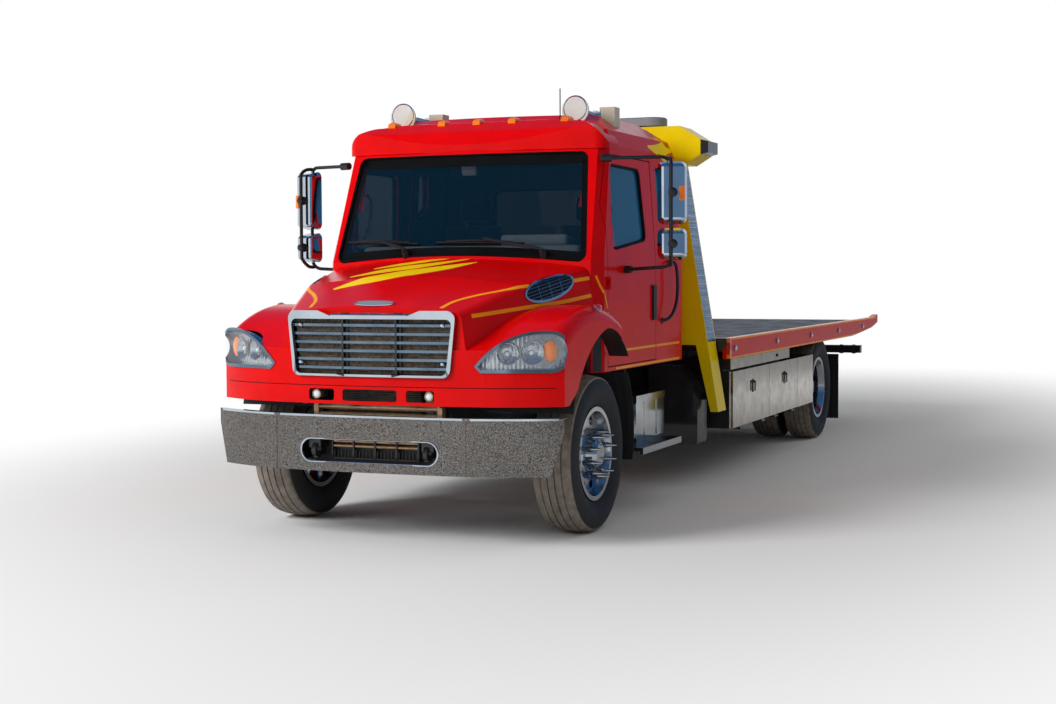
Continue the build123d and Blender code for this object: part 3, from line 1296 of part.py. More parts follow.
with BuildPart() as side_tanks:
    for side in (1, -1):
        with BuildSketch(across(aft(side_tank_y[0]))) as face:
            outline([(side * side_tank_x[0], side_tank_z[0]), (side * side_tank_x[2], side_tank_z[0]),
                     (side * side_tank_x[2], side_tank_z[1]), (side * side_tank_x[1], side_tank_z[2]),
                     (side * side_tank_x[0], side_tank_z[2])])
            fillet(face.vertices(), 24)
        extrude(face.sketch, amount=side_tank_y[0] - side_tank_y[1])
        block(sorted((side * rail_outer_x, side * side_tank_x[0])), (3400, 3460), (rail_bottom_z + 20, rail_bottom_z + 90))
pieces["side_tanks"] = side_tanks

# ---------------------------------------------------------------- mudguards
guard_radius = 680.0
guard_wall = 8.0
guard_centre = (front_axle_y, 600.0)
flap_y = rail_rear


def guard_strip(side, x_range, z_range):
    """Add a curved strip of front mudguard behind the wheel, between two heights."""
    with BuildSketch(along(side * x_range[0])) as guard:
        with Locations((aft(guard_centre[0]), guard_centre[1])):
            Circle(guard_radius)
            Circle(guard_radius - guard_wall, mode=Mode.SUBTRACT)
        with Locations((aft(guard_centre[0] + guard_radius), sum(z_range) / 2)):
            Rectangle(2 * (guard_radius - 395), z_range[1] - z_range[0], mode=Mode.INTERSECT)
    extrude(guard.sketch, amount=side * (x_range[1] - x_range[0]))


with BuildPart() as mudguards:
    for side in (1, -1):
        guard_strip(side, (860.0, 1150.0), (400.0, cab_floor_z - 6))
        block(sorted((side * rail_outer_x, side * 866.0)), (1674, 1683), (640, 690))
        block(sorted((side * 560.0, side * 1172.0)), (flap_y, flap_y + 10), (125, 800))
        block(sorted((side * rail_outer_x, side * 1172.0)), (flap_y - 40, flap_y), (700, 750))
pieces["mudguards"] = mudguards

# ---------------------------------------------------------------- tool boxes
door_clear = 6.0
box_pin_radius = 5.0
box_knuckle = 9.0
box_hinge_x = box_out_x + box_door + 2.0
box_hinge_z = box_bottom_z - box_knuckle - 2.0
tray_z = (deck_rail_bottom_z - 95.0, deck_rail_bottom_z - 10.0)
tray_rear = 5876.0
tray_split = 4851.0
box_knuckle_places = (0.2, 0.8)

box_inner_x = box_out_x - box_depth
box_top_z = box_bottom_z + box_height
box_bays = ((box_front, box_seams[0]), (box_seams[0], box_seams[1]))

with BuildPart() as toolboxes:
    for side in (1, -1):
        block(sorted((side * box_inner_x, side * box_out_x)), (box_front - 20, box_rear), (box_bottom_z, box_top_z))
        for start, end in box_bays:
            block(sorted((side * (box_inner_x + box_wall), side * (box_out_x + 5))),
                  (start + 30, end - 30), (box_bottom_z + 25, box_top_z - 25), mode=Mode.SUBTRACT)
            for share in box_knuckle_places:
                middle = start + (end - start) * share
                for off in (-46.0, 26.0):
                    rod(box_knuckle, (side * box_hinge_x, middle + off, box_hinge_z),
                        (side * box_hinge_x, middle + off + 20, box_hinge_z))
                    block(sorted((side * (box_out_x - 30), side * box_hinge_x)), (middle + off, middle + off + 20),
                          (box_hinge_z - box_knuckle, box_hinge_z - box_knuckle + 5))
                    block(sorted((side * (box_out_x - 30), side * (box_out_x - 10))), (middle + off, middle + off + 20),
                          (box_hinge_z - box_knuckle, box_bottom_z))
                rod(box_pin_radius, (side * box_hinge_x, middle - 30, box_hinge_z),
                    (side * box_hinge_x, middle + 30, box_hinge_z))
        block(sorted((side * (box_inner_x + 40), side * (box_out_x + 18))), (box_front - 60, tray_rear), tray_z)
        block(sorted((side * (box_inner_x + 60), side * (box_out_x - 60))), (box_front, tray_rear - 60),
              (box_top_z, tray_z[0]))
pieces["toolboxes"] = toolboxes

with BuildPart() as toolbox_panels:
    for side in (1, -1):
        block(sorted((side * box_out_x, side * (box_out_x + box_door))), (box_seams[1] + 3, box_rear),
              (box_bottom_z, box_top_z))
        for start, end in ((box_front - 60, tray_split - 2), (tray_split + 2, tray_rear)):
            block(sorted((side * (box_out_x + 18), side * (box_out_x + 22))), (start, end), tray_z)
        rod(14, (side * (box_out_x + 22), 5420, sum(tray_z) / 2), (side * (box_out_x + 31), 5420, sum(tray_z) / 2))
pieces["toolbox_panels"] = toolbox_panels

handle_z = (660.0, 770.0)
for label, side in (("left", 1), ("right", -1)):
    for bay, (start, end) in zip(("front", "rear"), box_bays):
        with BuildPart() as door:
            inner, outer = side * (box_out_x + seat_gap), side * (box_out_x + box_door)
            block(sorted((inner, outer)), (start + 3, end - 3), (box_bottom_z + 3, box_top_z))
            handle_y = start + (end - start) * 0.53
            block(sorted((outer, outer + side * 6)), (handle_y - 22, handle_y + 22), (handle_z[0], handle_z[1]))
            rod(9, (outer, handle_y, handle_z[1] - 22), (outer + side * 24, handle_y, handle_z[1] - 22))
            block(sorted((outer + side * 16, outer + side * 24)), (handle_y - 9, handle_y + 9),
                  (handle_z[0] + 10, handle_z[1] - 22))
            for share in box_knuckle_places:
                middle = start + (end - start) * share
                rod(box_knuckle, (side * box_hinge_x, middle - 24, box_hinge_z), (side * box_hinge_x, middle + 24, box_hinge_z))
                block(sorted((side * (box_hinge_x - 8), side * (box_hinge_x - 3))), (middle - 24, middle + 24),
                      (box_hinge_z, box_bottom_z + 12))
                rod(box_pin_radius + running_gap, (side * box_hinge_x, middle - 25, box_hinge_z),
                    (side * box_hinge_x, middle + 25, box_hinge_z), mode=Mode.SUBTRACT)
        pieces[f"toolbox_door_{label}_{bay}"] = door

# ---------------------------------------------------------------- light pylon
post_width = 150.0
post_depth = 235.0
post_top_z = 2520.0
pod_profile = ((960.0, 2797.0), (1128.0, 2690.0), (1128.0, 2572.0), (1009.0, 2500.0))
pod_hollow = ((930.0, 2775.0), (1095.0, 2675.0), (1095.0, 2588.0), (1000.0, 2525.0))
pod_y = (3330.0, 3640.0)
plate_foot_z = leg_top_z
plate_top_z = 1860.0


def both_sides(points):
    """Points of a right half outline followed by their mirror image, in order round the face."""
    return [*points, *[(-x, z) for x, z in reversed(points)]]


with BuildPart() as light_pylon:
    for side in (1, -1):
        with BuildSketch(across(aft(pylon_y))) as leg:
            outline([(side * post_x(pylon_foot[1]), pylon_foot[1]), (side * leg_inner_x(pylon_foot[1]), pylon_foot[1]),
                     (side * leg_inner_x(leg_top_z), leg_top_z), (side * post_x(leg_top_z), leg_top_z)])
        extrude(leg.sketch, amount=-leg_depth)
        with BuildSketch(across(aft(pylon_y))) as post:
            outline([(side * post_x(plate_foot_z), plate_foot_z), (side * (post_x(plate_foot_z) - post_width - 90), plate_foot_z),
                     (side * (post_x(plate_top_z) - post_width), plate_top_z),
                     (side * (post_x(post_top_z) - post_width), post_top_z), (side * post_x(post_top_z), post_top_z)])
        extrude(post.sketch, amount=-post_depth)
        with BuildSketch(across(aft(pylon_y) + 8)) as hollow:
            outline([(side * (post_x(1120) - 8), 1120), (side * (post_x(1120) - post_width - 70), 1120),
                     (side * (post_x(plate_top_z) - post_width + 12), plate_top_z),
                     (side * (post_x(2480) - post_width + 12), 2480), (side * (post_x(2480) - 8), 2480)])
        extrude(hollow.sketch, amount=-post_depth, mode=Mode.SUBTRACT)
    for low, high in ((1180.0, 1300.0), (1760.0, 1850.0)):
        reach = post_x(high) - post_width
        block((-reach, reach), (pylon_y + 20, pylon_y + 80), (low, high))
    with BuildSketch(across(aft(pod_y[0]))) as pod:
        outline(both_sides(pod_profile))
    extrude(pod.sketch, amount=pod_y[0] - pod_y[1])
    with BuildSketch(across(aft(pod_y[0] + 25))) as hollow:
        outline(both_sides(pod_hollow))
    extrude(hollow.sketch, amount=-400, mode=Mode.SUBTRACT)
pieces["light_pylon"] = light_pylon

bar_half = 810.0
bar_z = (2797.0, 2878.0)
with BuildPart() as light_bar:
    with BuildSketch(level(bar_z[0] + 14)) as plan:
        with Locations((0, aft(3480))):
            SlotOverall(2 * bar_half, 230)
    extrude(plan.sketch, amount=bar_z[1] - bar_z[0] - 14)
    fillet(light_bar.faces().sort_by(Axis.Z)[-1].edges(), 18)
    for foot_x in (-560.0, 560.0):
        block((foot_x - 40, foot_x + 40), (3420, 3540), (bar_z[0], bar_z[0] + 14))
    for side in (1, -1):
        with BuildSketch(Plane(origin=(side * 1128, aft(sum(pod_y) / 2), 2631), x_dir=(0, 1, 0), z_dir=(side, 0, 0))) as end:
            Rectangle(pod_y[1] - pod_y[0] - 20, 112)
        extrude(end.sketch, amount=56, taper=12)
pieces["light_bar"] = light_bar

# ---------------------------------------------------------------- tilting subframe
pivot_ring = 42.0
runner_flange = 12.0
runner_web = 7.0
runner_half_width = 28.0
keeper_z = (subframe_top_z + runner_flange + 7, subframe_top_z + runner_flange + 15)
ram_z = 936.0
ram_bore = 40.0
ram_rod = 25.0
ram_barrel = (3880.0, 7020.0)
eye_place = (6950.0, 930.0)
lift_pivot = (8760.0, 640.0)
lamp_beam_z = (745.0, 830.0)
lamp_beam_y = (9610.0, 9700.0)
lamp_beam_half = 1130.0

with BuildPart() as tilt_frame:
    for side in (1, -1):
        rail_x = sorted((side * (subframe_x - subframe_width / 2), side * (subframe_x + subframe_width / 2)))
        block(rail_x, (subframe_front, subframe_rear), (subframe_bottom_z, subframe_top_z))
        guide_x = sorted((side * (subframe_x + subframe_width / 2), side * (subframe_x + subframe_width / 2 + 8)))
        for place in (4200.0, 6400.0, 8600.0, 9400.0):
            block(guide_x, (place, place + 160), (subframe_bottom_z + 30, keeper_z[1]))
            keeper_x = sorted((side * (subframe_x + runner_web + 10), side * (subframe_x + subframe_width / 2 + 8)))
            block(keeper_x, (place, place + 160), keeper_z)
        lug_x = sorted((side * (rail_outer_x + 18), side * (rail_outer_x + 46)))
        rod(pivot_ring, (lug_x[0], bed_pivot_from_front, bed_pivot_z), (lug_x[1], bed_pivot_from_front, bed_pivot_z))
        block(lug_x, (bed_pivot_from_front - 42, bed_pivot_from_front + 42), (bed_pivot_z, subframe_bottom_z + 40))
        block(sorted((side * (subframe_x + subframe_width / 2 - 10), side * (rail_outer_x + 46))),
              (bed_pivot_from_front - 42, bed_pivot_from_front + 42), (subframe_bottom_z + 10, subframe_bottom_z + 40))
        rod(22 + running_gap, (lug_x[0] - 2, bed_pivot_from_front, bed_pivot_z),
            (lug_x[1] + 2, bed_pivot_from_front, bed_pivot_z), mode=Mode.SUBTRACT)
        for off in (-46.0, 34.0):
            eye_x = side * cylinder_x + off
            block((eye_x, eye_x + 12), (eye_place[0] - 26, eye_place[0] + 26), (eye_place[1] - 26, subframe_top_z))
        rod(14, (side * cylinder_x - 46, eye_place[0], eye_place[1]), (side * cylinder_x + 46, eye_place[0], eye_place[1]))
    inner = subframe_x - subframe_width / 2
    for place in (subframe_front + 40, 5200.0, 7600.0, 8400.0, 9560.0):
        block((-inner, inner), (place, place + 40), (subframe_bottom_z + 2, subframe_bottom_z + 14))
    block((-inner, inner), (eye_place[0] - 26, eye_place[0] + 26), (subframe_top_z - 14, subframe_top_z - 2))
    block((-30, 30), (ram_barrel[0] - 40, ram_barrel[0]), (subframe_bottom_z + 2, ram_z + 20))
    rod(ram_bore + 8, (0, ram_barrel[0], ram_z), (0, ram_barrel[1], ram_z))
    rod(ram_bore, (0, ram_barrel[0] + 40, ram_z), (0, ram_barrel[1] - 40, ram_z), mode=Mode.SUBTRACT)
    rod(ram_rod + seat_gap, (0, ram_barrel[1] - 60, ram_z), (0, ram_barrel[1] + 10, ram_z), mode=Mode.SUBTRACT)
    for side in (1, -1):
        tail_x = sorted((side * (subframe_x - 30), side * (subframe_x + 20)))
        block(tail_x, (lift_pivot[0] - 160, lift_pivot[0] + 60), (lift_pivot[1] - 40, subframe_bottom_z))
        block(tail_x, (lamp_beam_y[0], lamp_beam_y[1]), (lamp_beam_z[0], subframe_bottom_z))
    block((-lamp_beam_half, lamp_beam_half), lamp_beam_y, lamp_beam_z)
    rod(18, (-subframe_x - 20, lift_pivot[0], lift_pivot[1]), (subframe_x + 20, lift_pivot[0], lift_pivot[1]))
pieces["tilt_frame"] = tilt_frame

with BuildPart() as rear_lamps:
    for side in (1, -1):
        for lamp_x in (1040.0, 900.0):
            rod(52, (side * lamp_x, lamp_beam_y[1], sum(lamp_beam_z) / 2 - 4), (side * lamp_x, lamp_beam_y[1] + 28, sum(lamp_beam_z) / 2 - 4))
pieces["rear_lamps"] = rear_lamps

# ---------------------------------------------------------------- deck
sill_z = (1045.0, 1091.0)
plate_z_range = (1091.0, deck_floor_z)
deck_half = deck_width / 2
ram_eye = 7190.0

with BuildPart() as deck:
    for side in (1, -1):
        with BuildSketch(along(side * (deck_half - deck_rail_width))) as rail:
            outline([(aft(deck_front), deck_rail_bottom_z), (aft(8560), deck_rail_bottom_z), (aft(9620), 1037),
                     (aft(deck_rear), 1085), (aft(deck_rear), 1172), (aft(9700), deck_top_z), (aft(deck_front), deck_top_z)])
        extrude(rail.sketch, amount=side * deck_rail_width)
        flange_x = sorted((side * (subframe_x - runner_half_width), side * (subframe_x + runner_half_width)))
        runner_y = (deck_front + 60, 9560)
        block(flange_x, runner_y, (subframe_top_z + seat_gap, subframe_top_z + runner_flange))
        block(sorted((side * (subframe_x - runner_web), side * (subframe_x + runner_web))), runner_y,
              (subframe_top_z + seat_gap, plate_z_range[0]))
    inner = deck_half - deck_rail_width
    block((-inner, inner), (deck_front, deck_front + 70), (deck_rail_bottom_z + 60, deck_top_z))
    block((-inner, inner), (deck_front, deck_rear - 230), plate_z_range)
    with BuildSketch(along(-inner)) as tail:
        outline([(aft(deck_rear - 230), plate_z_range[0]), (aft(deck_rear), 1060), (aft(deck_rear), 1090),
                 (aft(deck_rear - 230), deck_floor_z)])
    extrude(tail.sketch, amount=2 * inner)
    sill_count = 14
    for index in range(sill_count):
        place = deck_front + 330 + index * (deck_rear - deck_front - 700) / (sill_count - 1)
        block((-inner, inner), (place, place + 50), sill_z)
    block((-40, 40), (ram_eye - 30, ram_eye + 30), (ram_z - 30, sill_z[1]))
    rod(ram_rod, (0, ram_barrel[0] + 60, ram_z), (0, ram_eye, ram_z))
pieces["deck"] = deck

with BuildPart() as deck_lamps:
    for side in (1, -1):
        for place in lamp_places:
            with BuildSketch(along(side * deck_half)) as lamp:
                with Locations((aft(place), (deck_top_z + deck_rail_bottom_z) / 2)):
                    Ellipse(34, 26)
            extrude(lamp.sketch, amount=side * 7)
            with BuildSketch(along(side * (deck_half + 7))) as crown:
                with Locations((aft(place), (deck_top_z + deck_rail_bottom_z) / 2)):
                    Ellipse(28, 20)
            extrude(crown.sketch, amount=side * 4)
pieces["deck_lamps"] = deck_lamps

# ---------------------------------------------------------------- winch, on the deck's front
winch_y = 3960.0
winch_z = deck_floor_z + 150.0
winch_shaft = 20.0
winch_half = 210.0
with BuildPart() as winch_frame:
    for side in (1, -1):
        with BuildSketch(along(side * winch_half)) as cheek:
            outline([(aft(winch_y - 150), deck_floor_z), (aft(winch_y + 150), deck_floor_z),
                     (aft(winch_y + 90), winch_z + 90), (aft(winch_y - 90), winch_z + 90)])
        extrude(cheek.sketch, amount=side * 16)
    block((-winch_half, winch_half), (winch_y - 150, winch_y + 150), (deck_floor_z, deck_floor_z + 12))
    rod(12, (-winch_half, winch_y - 75, winch_z + 80), (winch_half, winch_y - 75, winch_z + 80))
    rod(80, (winch_half + 16, winch_y, winch_z), (winch_half + 130, winch_y, winch_z))
    rod(winch_shaft + running_gap, (-winch_half - 20, winch_y, winch_z), (winch_half + 60, winch_y, winch_z), mode=Mode.SUBTRACT)
with BuildPart() as winch_drum:
    rod(winch_shaft, (-winch_half - 30, winch_y, winch_z), (winch_half + 50, winch_y, winch_z))
    rod(62, (-winch_half + 30, winch_y, winch_z), (winch_half - 30, winch_y, winch_z))
    for flange_x in (-winch_half + 14, winch_half - 30):
        rod(88, (flange_x, winch_y, winch_z), (flange_x + 16, winch_y, winch_z))
pieces["winch_frame"] = winch_frame
pieces["winch_drum"] = winch_drum

# ---------------------------------------------------------------- tilt cylinders
barrel_radius = 45.0
barrel_bore = 36.0
piston_rod = 24.0
base_ring = 26.0
cyl_run = (eye_place[0] - cylinder_base[0], eye_place[1] - cylinder_base[1])
cyl_length = (cyl_run[0] ** 2 + cyl_run[1] ** 2) ** 0.5


def along_cylinder(x, distance):
    """Point on a tilt cylinder's line, this far from its base pin."""
    share = distance / cyl_length
    return (x, cylinder_base[0] + cyl_run[0] * share, cylinder_base[1] + cyl_run[1] * share)


with BuildPart() as tilt_cylinders:
    for side in (1, -1):
        x = side * cylinder_x
        rod(base_ring, (x - 40, *cylinder_base), (x + 40, *cylinder_base))
        rod(barrel_radius, along_cylinder(x, 60), along_cylinder(x, 760))
        rod(barrel_bore, along_cylinder(x, 100), along_cylinder(x, 730), mode=Mode.SUBTRACT)
        rod(piston_rod + seat_gap, along_cylinder(x, 700), along_cylinder(x, 780), mode=Mode.SUBTRACT)
        rod(26, along_cylinder(x, 24), along_cylinder(x, 70))
        rod(14 + running_gap, (x - 41, *cylinder_base), (x + 41, *cylinder_base), mode=Mode.SUBTRACT)
pieces["tilt_cylinders"] = tilt_cylinders
with BuildPart() as tilt_rods:
    for side in (1, -1):
        x = side * cylinder_x
        rod(piston_rod, along_cylinder(x, 130), along_cylinder(x, cyl_length - 20))
        rod(30, (x - 28, *eye_place), (x + 28, *eye_place))
        rod(18, (x - 29, *eye_place), (x + 29, *eye_place), mode=Mode.SUBTRACT)
pieces["tilt_rods"] = tilt_rods

# ---------------------------------------------------------------- wheel lift
boom_half = 55.0
boom_end = 9560.0
stinger_half = 42.0
crossbar_y = (9700.0, 9790.0)
crossbar_half = 620.0
socket_radius = 20.0

with BuildPart() as wheel_lift_boom:
    rod(42, (-330, lift_pivot[0], lift_pivot[1]), (330, lift_pivot[0], lift_pivot[1]))
    rod(18 + running_gap, (-331, lift_pivot[0], lift_pivot[1]), (331, lift_pivot[0], lift_pivot[1]), mode=Mode.SUBTRACT)
    block((-boom_half, boom_half), (lift_pivot[0] + 30, boom_end), (lift_pivot[1] - boom_half, lift_pivot[1] + boom_half))
    block((-stinger_half - seat_gap, stinger_half + seat_gap), (lift_pivot[0] + 60, boom_end + 5),
          (lift_pivot[1] - stinger_half - seat_gap, lift_pivot[1] + stinger_half + seat_gap), mode=Mode.SUBTRACT)
pieces["wheel_lift_boom"] = wheel_lift_boom
with BuildPart() as wheel_lift_crossbar:
    block((-stinger_half, stinger_half), (lift_pivot[0] + 120, crossbar_y[0]), (lift_pivot[1] - stinger_half, lift_pivot[1] + stinger_half))
    block((-crossbar_half, crossbar_half), crossbar_y, (lift_pivot[1] - 50, lift_pivot[1] + 50))
    for side in (1, -1):
        rod(socket_radius, (side * (crossbar_half - 60), 9745, lift_pivot[1] - 60), (side * (crossbar_half - 60), 9745, lift_pivot[1] + 60),
            mode=Mode.SUBTRACT)
pieces["wheel_lift_crossbar"] = wheel_lift_crossbar

for name, piece in pieces.items():
    piece.part.label = name
    export_step(piece.part, f"parts/{name}.step")
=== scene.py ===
"""Rollback tow truck: finishes, trim, lamps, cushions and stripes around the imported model."""

import logging
import math
from dataclasses import dataclass
from enum import Enum
from typing import Any, Callable, Sequence

import bmesh
import bpy
from mathutils import Matrix, Vector
from mathutils.bvhtree import BVHTree

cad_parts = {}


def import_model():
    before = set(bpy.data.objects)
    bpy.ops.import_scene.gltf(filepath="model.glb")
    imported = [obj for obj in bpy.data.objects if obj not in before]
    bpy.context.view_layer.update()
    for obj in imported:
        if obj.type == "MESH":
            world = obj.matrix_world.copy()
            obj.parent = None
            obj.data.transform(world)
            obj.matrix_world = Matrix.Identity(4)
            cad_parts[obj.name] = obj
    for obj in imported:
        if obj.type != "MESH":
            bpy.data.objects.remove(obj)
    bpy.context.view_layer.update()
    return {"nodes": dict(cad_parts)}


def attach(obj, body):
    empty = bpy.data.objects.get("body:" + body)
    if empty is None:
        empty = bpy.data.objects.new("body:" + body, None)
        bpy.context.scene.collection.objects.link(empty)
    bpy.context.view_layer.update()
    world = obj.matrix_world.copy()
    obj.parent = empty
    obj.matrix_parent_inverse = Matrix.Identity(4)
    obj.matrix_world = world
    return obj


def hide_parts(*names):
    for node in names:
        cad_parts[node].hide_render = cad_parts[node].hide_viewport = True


LOG = logging.getLogger("tow_truck")
HALF_LENGTH = 4.975
HOOD = "hood_assembly"
# Rays that look for the truck's skin start this far ahead of it, above it and beside it, in metres.
FAR_FRONT = -6.0
FAR_UP = 2.2
FAR_SIDE = 2.0
UP = Vector((0.0, 0.0, 1.0))
BACK = Vector((0.0, 1.0, 0.0))
SIDES: tuple[tuple[str, float], ...] = (("left", 1.0), ("right", -1.0))
Pair = tuple[float, float]
Triple = tuple[float, float, float]
Profile = tuple[Pair, ...]
Path = tuple[Triple, ...]
Test = Callable[[Vector, Vector], bool]
Form = bmesh.types.BMesh
Tree = bpy.types.NodeTree
Piece = bpy.types.Object
Shape = Callable[[Form], None]


FRAME: dict[str, Any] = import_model()


def aft(distance: float) -> float:
    """Y of a point this far behind the bumper's face, in metres."""
    return distance - HALF_LENGTH


def linear(colour: str) -> tuple[float, ...]:
    """Turn an sRGB hex colour into linear values.

    Args:
        colour: Six hex digits after a #.

    Returns:
        Linear red, green, blue and an alpha of 1.
    """
    parts = [int(colour[k : k + 2], 16) / 255 for k in (1, 3, 5)]
    red, green, blue = (p / 12.92 if p <= 0.04045 else ((p + 0.055) / 1.055) ** 2.4 for p in parts)
    return red, green, blue, 1.0


def add_node(
    tree: Tree, kind: str, settings: dict[str, Any] | None = None, links: dict[Any, Any] | None = None
) -> bpy.types.Node:
    """Add a node with its settings and links.

    Args:
        tree: The node tree that takes it.
        kind: Node type, without the ShaderNode prefix.
        settings: Attribute or input names to values.
        links: Input names or numbers to the output sockets that feed them.

    Returns:
        The new node.
    """
    node = tree.nodes.new("ShaderNode" + kind)
    for name, value in (settings or {}).items():
        if isinstance(name, str) and hasattr(node, name):
            setattr(node, name, value)
        else:
            node.inputs[name].default_value = value
    for name, socket in (links or {}).items():
        tree.links.new(socket, node.inputs[name])
    return node


# --- finishes


# A wave texture at this scale repeats once in each unit of its vector.
WAVE_SCALE = 0.314


class Pattern(Enum):
    """Kind of relief that a finish carries."""

    BRUSHED = "brushed"
    LEATHER = "leather"
    WEAVE = "weave"
    TREADPLATE = "tread plate"
    RIBS = "ribs"


@dataclass(frozen=True)
class Relief:
    """A pattern's kind, its real size and depth, and the axis it turns round or runs along."""

    kind: Pattern
    size_mm: float
    depth_mm: float
    axis: int = 2


@dataclass(frozen=True)
class Finish:
    """One finish: a common material and how its surface was made; grain holds a size and a depth in mm."""

    name: str
    colour: str
    second: str = ""
    roughness: float = 0.4
    spread: float = 0.06
    metallic: float = 0.0
    ior: float = 1.5
    specular: float = 0.5
    coat: float = 0.0
    coat_roughness: float = 0.03
    alpha: float = 1.0
    sheen: float = 0.0
    glow: float = 0.0
    mottle_mm: float = 180.0
    mottle_range: Pair = (0.35, 0.75)
    grain: Pair = (0.0, 0.0)
    pattern: Relief | None = None

    def build(self) -> bpy.types.Material:
        """Make the material, or return it if it was made before.

        Returns:
            The material.
        """
        known = bpy.data.materials.get(self.name)
        if known:
            return known
        material = bpy.data.materials.new(self.name)
        material.use_nodes = True
        tree = material.node_tree
        tree.nodes.clear()
        settings = {
            "Metallic": self.metallic,
            "Coat Weight": self.coat,
            "Coat Roughness": self.coat_roughness,
            "Alpha": self.alpha,
            "Sheen Weight": self.sheen,
        }
        if not self.metallic:
            settings["IOR"] = self.ior
            settings["Specular IOR Level"] = self.specular
        if self.glow:
            settings["Emission Color"] = linear(self.colour)
            settings["Emission Strength"] = self.glow
        skin = add_node(tree, "BsdfPrincipled", settings)
        place = add_node(tree, "TexCoord").outputs["Object"]
        cloud = add_node(tree, "TexNoise", {"Scale": 1000 / self.mottle_mm, "Detail": 5.0}, {"Vector": place})
        self.tint(tree, skin, cloud.outputs["Fac"])
        low, high = max(self.roughness - self.spread, 0.0), self.roughness + self.spread
        limits = {"From Min": 0.3, "From Max": 0.7, "To Min": low, "To Max": high}
        gloss = add_node(tree, "MapRange", limits, {"Value": cloud.outputs["Fac"]})
        tree.links.new(gloss.outputs["Result"], skin.inputs["Roughness"])
        relief = self.relief(tree, place)
        if relief:
            tree.links.new(relief, skin.inputs["Normal"])
        add_node(tree, "OutputMaterial", links={"Surface": skin.outputs["BSDF"]})
        if self.alpha < 1.0:
            material.surface_render_method = "BLENDED"
        return material

    def tint(self, tree: Tree, skin: bpy.types.Node, cloud: Any) -> None:
        """Colour the skin: one colour that clouds a little towards the second.

        Args:
            tree: The material's nodes.
            skin: Its Principled node.
            cloud: Slow noise, 0 to 1.
        """
        low, high = self.mottle_range
        share = add_node(tree, "MapRange", {"From Min": low, "From Max": high}, {"Value": cloud})
        colours = {"data_type": "RGBA", 6: linear(self.colour), 7: linear(self.second or self.colour)}
        blend = add_node(tree, "Mix", colours, {0: share.outputs["Result"]})
        tree.links.new(blend.outputs[2], skin.inputs["Base Color"])

    def relief(self, tree: Tree, place: Any) -> Any:
        """Bumps of the surface.

        Args:
            tree: The material's nodes.
            place: Object coordinates.

        Returns:
            The normal output, or None where the surface is plain.
        """
        normal = None
        size, depth = self.grain
        if size:
            grain = add_node(tree, "TexNoise", {"Scale": 1000 / size, "Detail": 3.0}, {"Vector": place})
            bump = add_node(tree, "Bump", {"Distance": depth / 1000}, {"Height": grain.outputs["Fac"]})
            normal = bump.outputs["Normal"]
        if self.pattern:
            height = self.pattern_height(tree, place)
            links = {"Height": height}
            if normal:
                links["Normal"] = normal
            bump = add_node(tree, "Bump", {"Distance": self.pattern.depth_mm / 1000}, links)
            normal = bump.outputs["Normal"]
        return normal

    def pattern_height(self, tree: Tree, place: Any) -> Any:
        """Height of the pattern, 0 to 1.

        Args:
            tree: The material's nodes.
            place: Object coordinates.

        Returns:
            The height output.
        """
        turns, kind, axis = 1000 / self.pattern.size_mm, self.pattern.kind, self.pattern.axis
        if kind is Pattern.BRUSHED:
            stretch = [turns * 12.0] * 3
            stretch[axis] = turns * 0.35
            drawn = add_node(tree, "Mapping", {"Scale": stretch}, {"Vector": place})
            lines = add_node(
                tree, "TexNoise", {"Scale": 1.0, "Detail": 2.0}, {"Vector": drawn.outputs["Vector"]}
            )
            return lines.outputs["Fac"]
        if kind is Pattern.LEATHER:
            settings = {"Scale": turns, "feature": "DISTANCE_TO_EDGE"}
            return add_node(tree, "TexVoronoi", settings, {"Vector": place}).outputs["Distance"]
        if kind is Pattern.RIBS:
            turned = add_node(tree, "Mapping", {"Scale": (turns, turns, turns)}, {"Vector": place})
            settings = {"wave_type": "BANDS", "bands_direction": "XYZ"[axis], "Scale": WAVE_SCALE}
            return add_node(tree, "TexWave", settings, {"Vector": turned.outputs["Vector"]}).outputs["Fac"]
        if kind is Pattern.WEAVE:
            return self.woven(tree, place, turns)
        return self.lozenges(tree, place, turns)

    def woven(self, tree: Tree, place: Any, turns: float) -> Any:
        """Height of a plain weave: two sets of threads that pass over each other.

        Args:
            tree: The material's nodes.
            place: Object coordinates.
            turns: Threads in a metre.

        Returns:
            The height output.
        """
        waves = []
        for direction in ("X", "Y", "Z"):
            settings = {"wave_type": "BANDS", "bands_direction": direction, "Scale": turns * WAVE_SCALE}
            waves.append(add_node(tree, "TexWave", settings, {"Vector": place}).outputs["Fac"])
        first = add_node(tree, "Math", {"operation": "MULTIPLY"}, {0: waves[0], 1: waves[1]})
        return add_node(tree, "Math", {"operation": "ADD"}, {0: first.outputs[0], 1: waves[2]}).outputs[0]

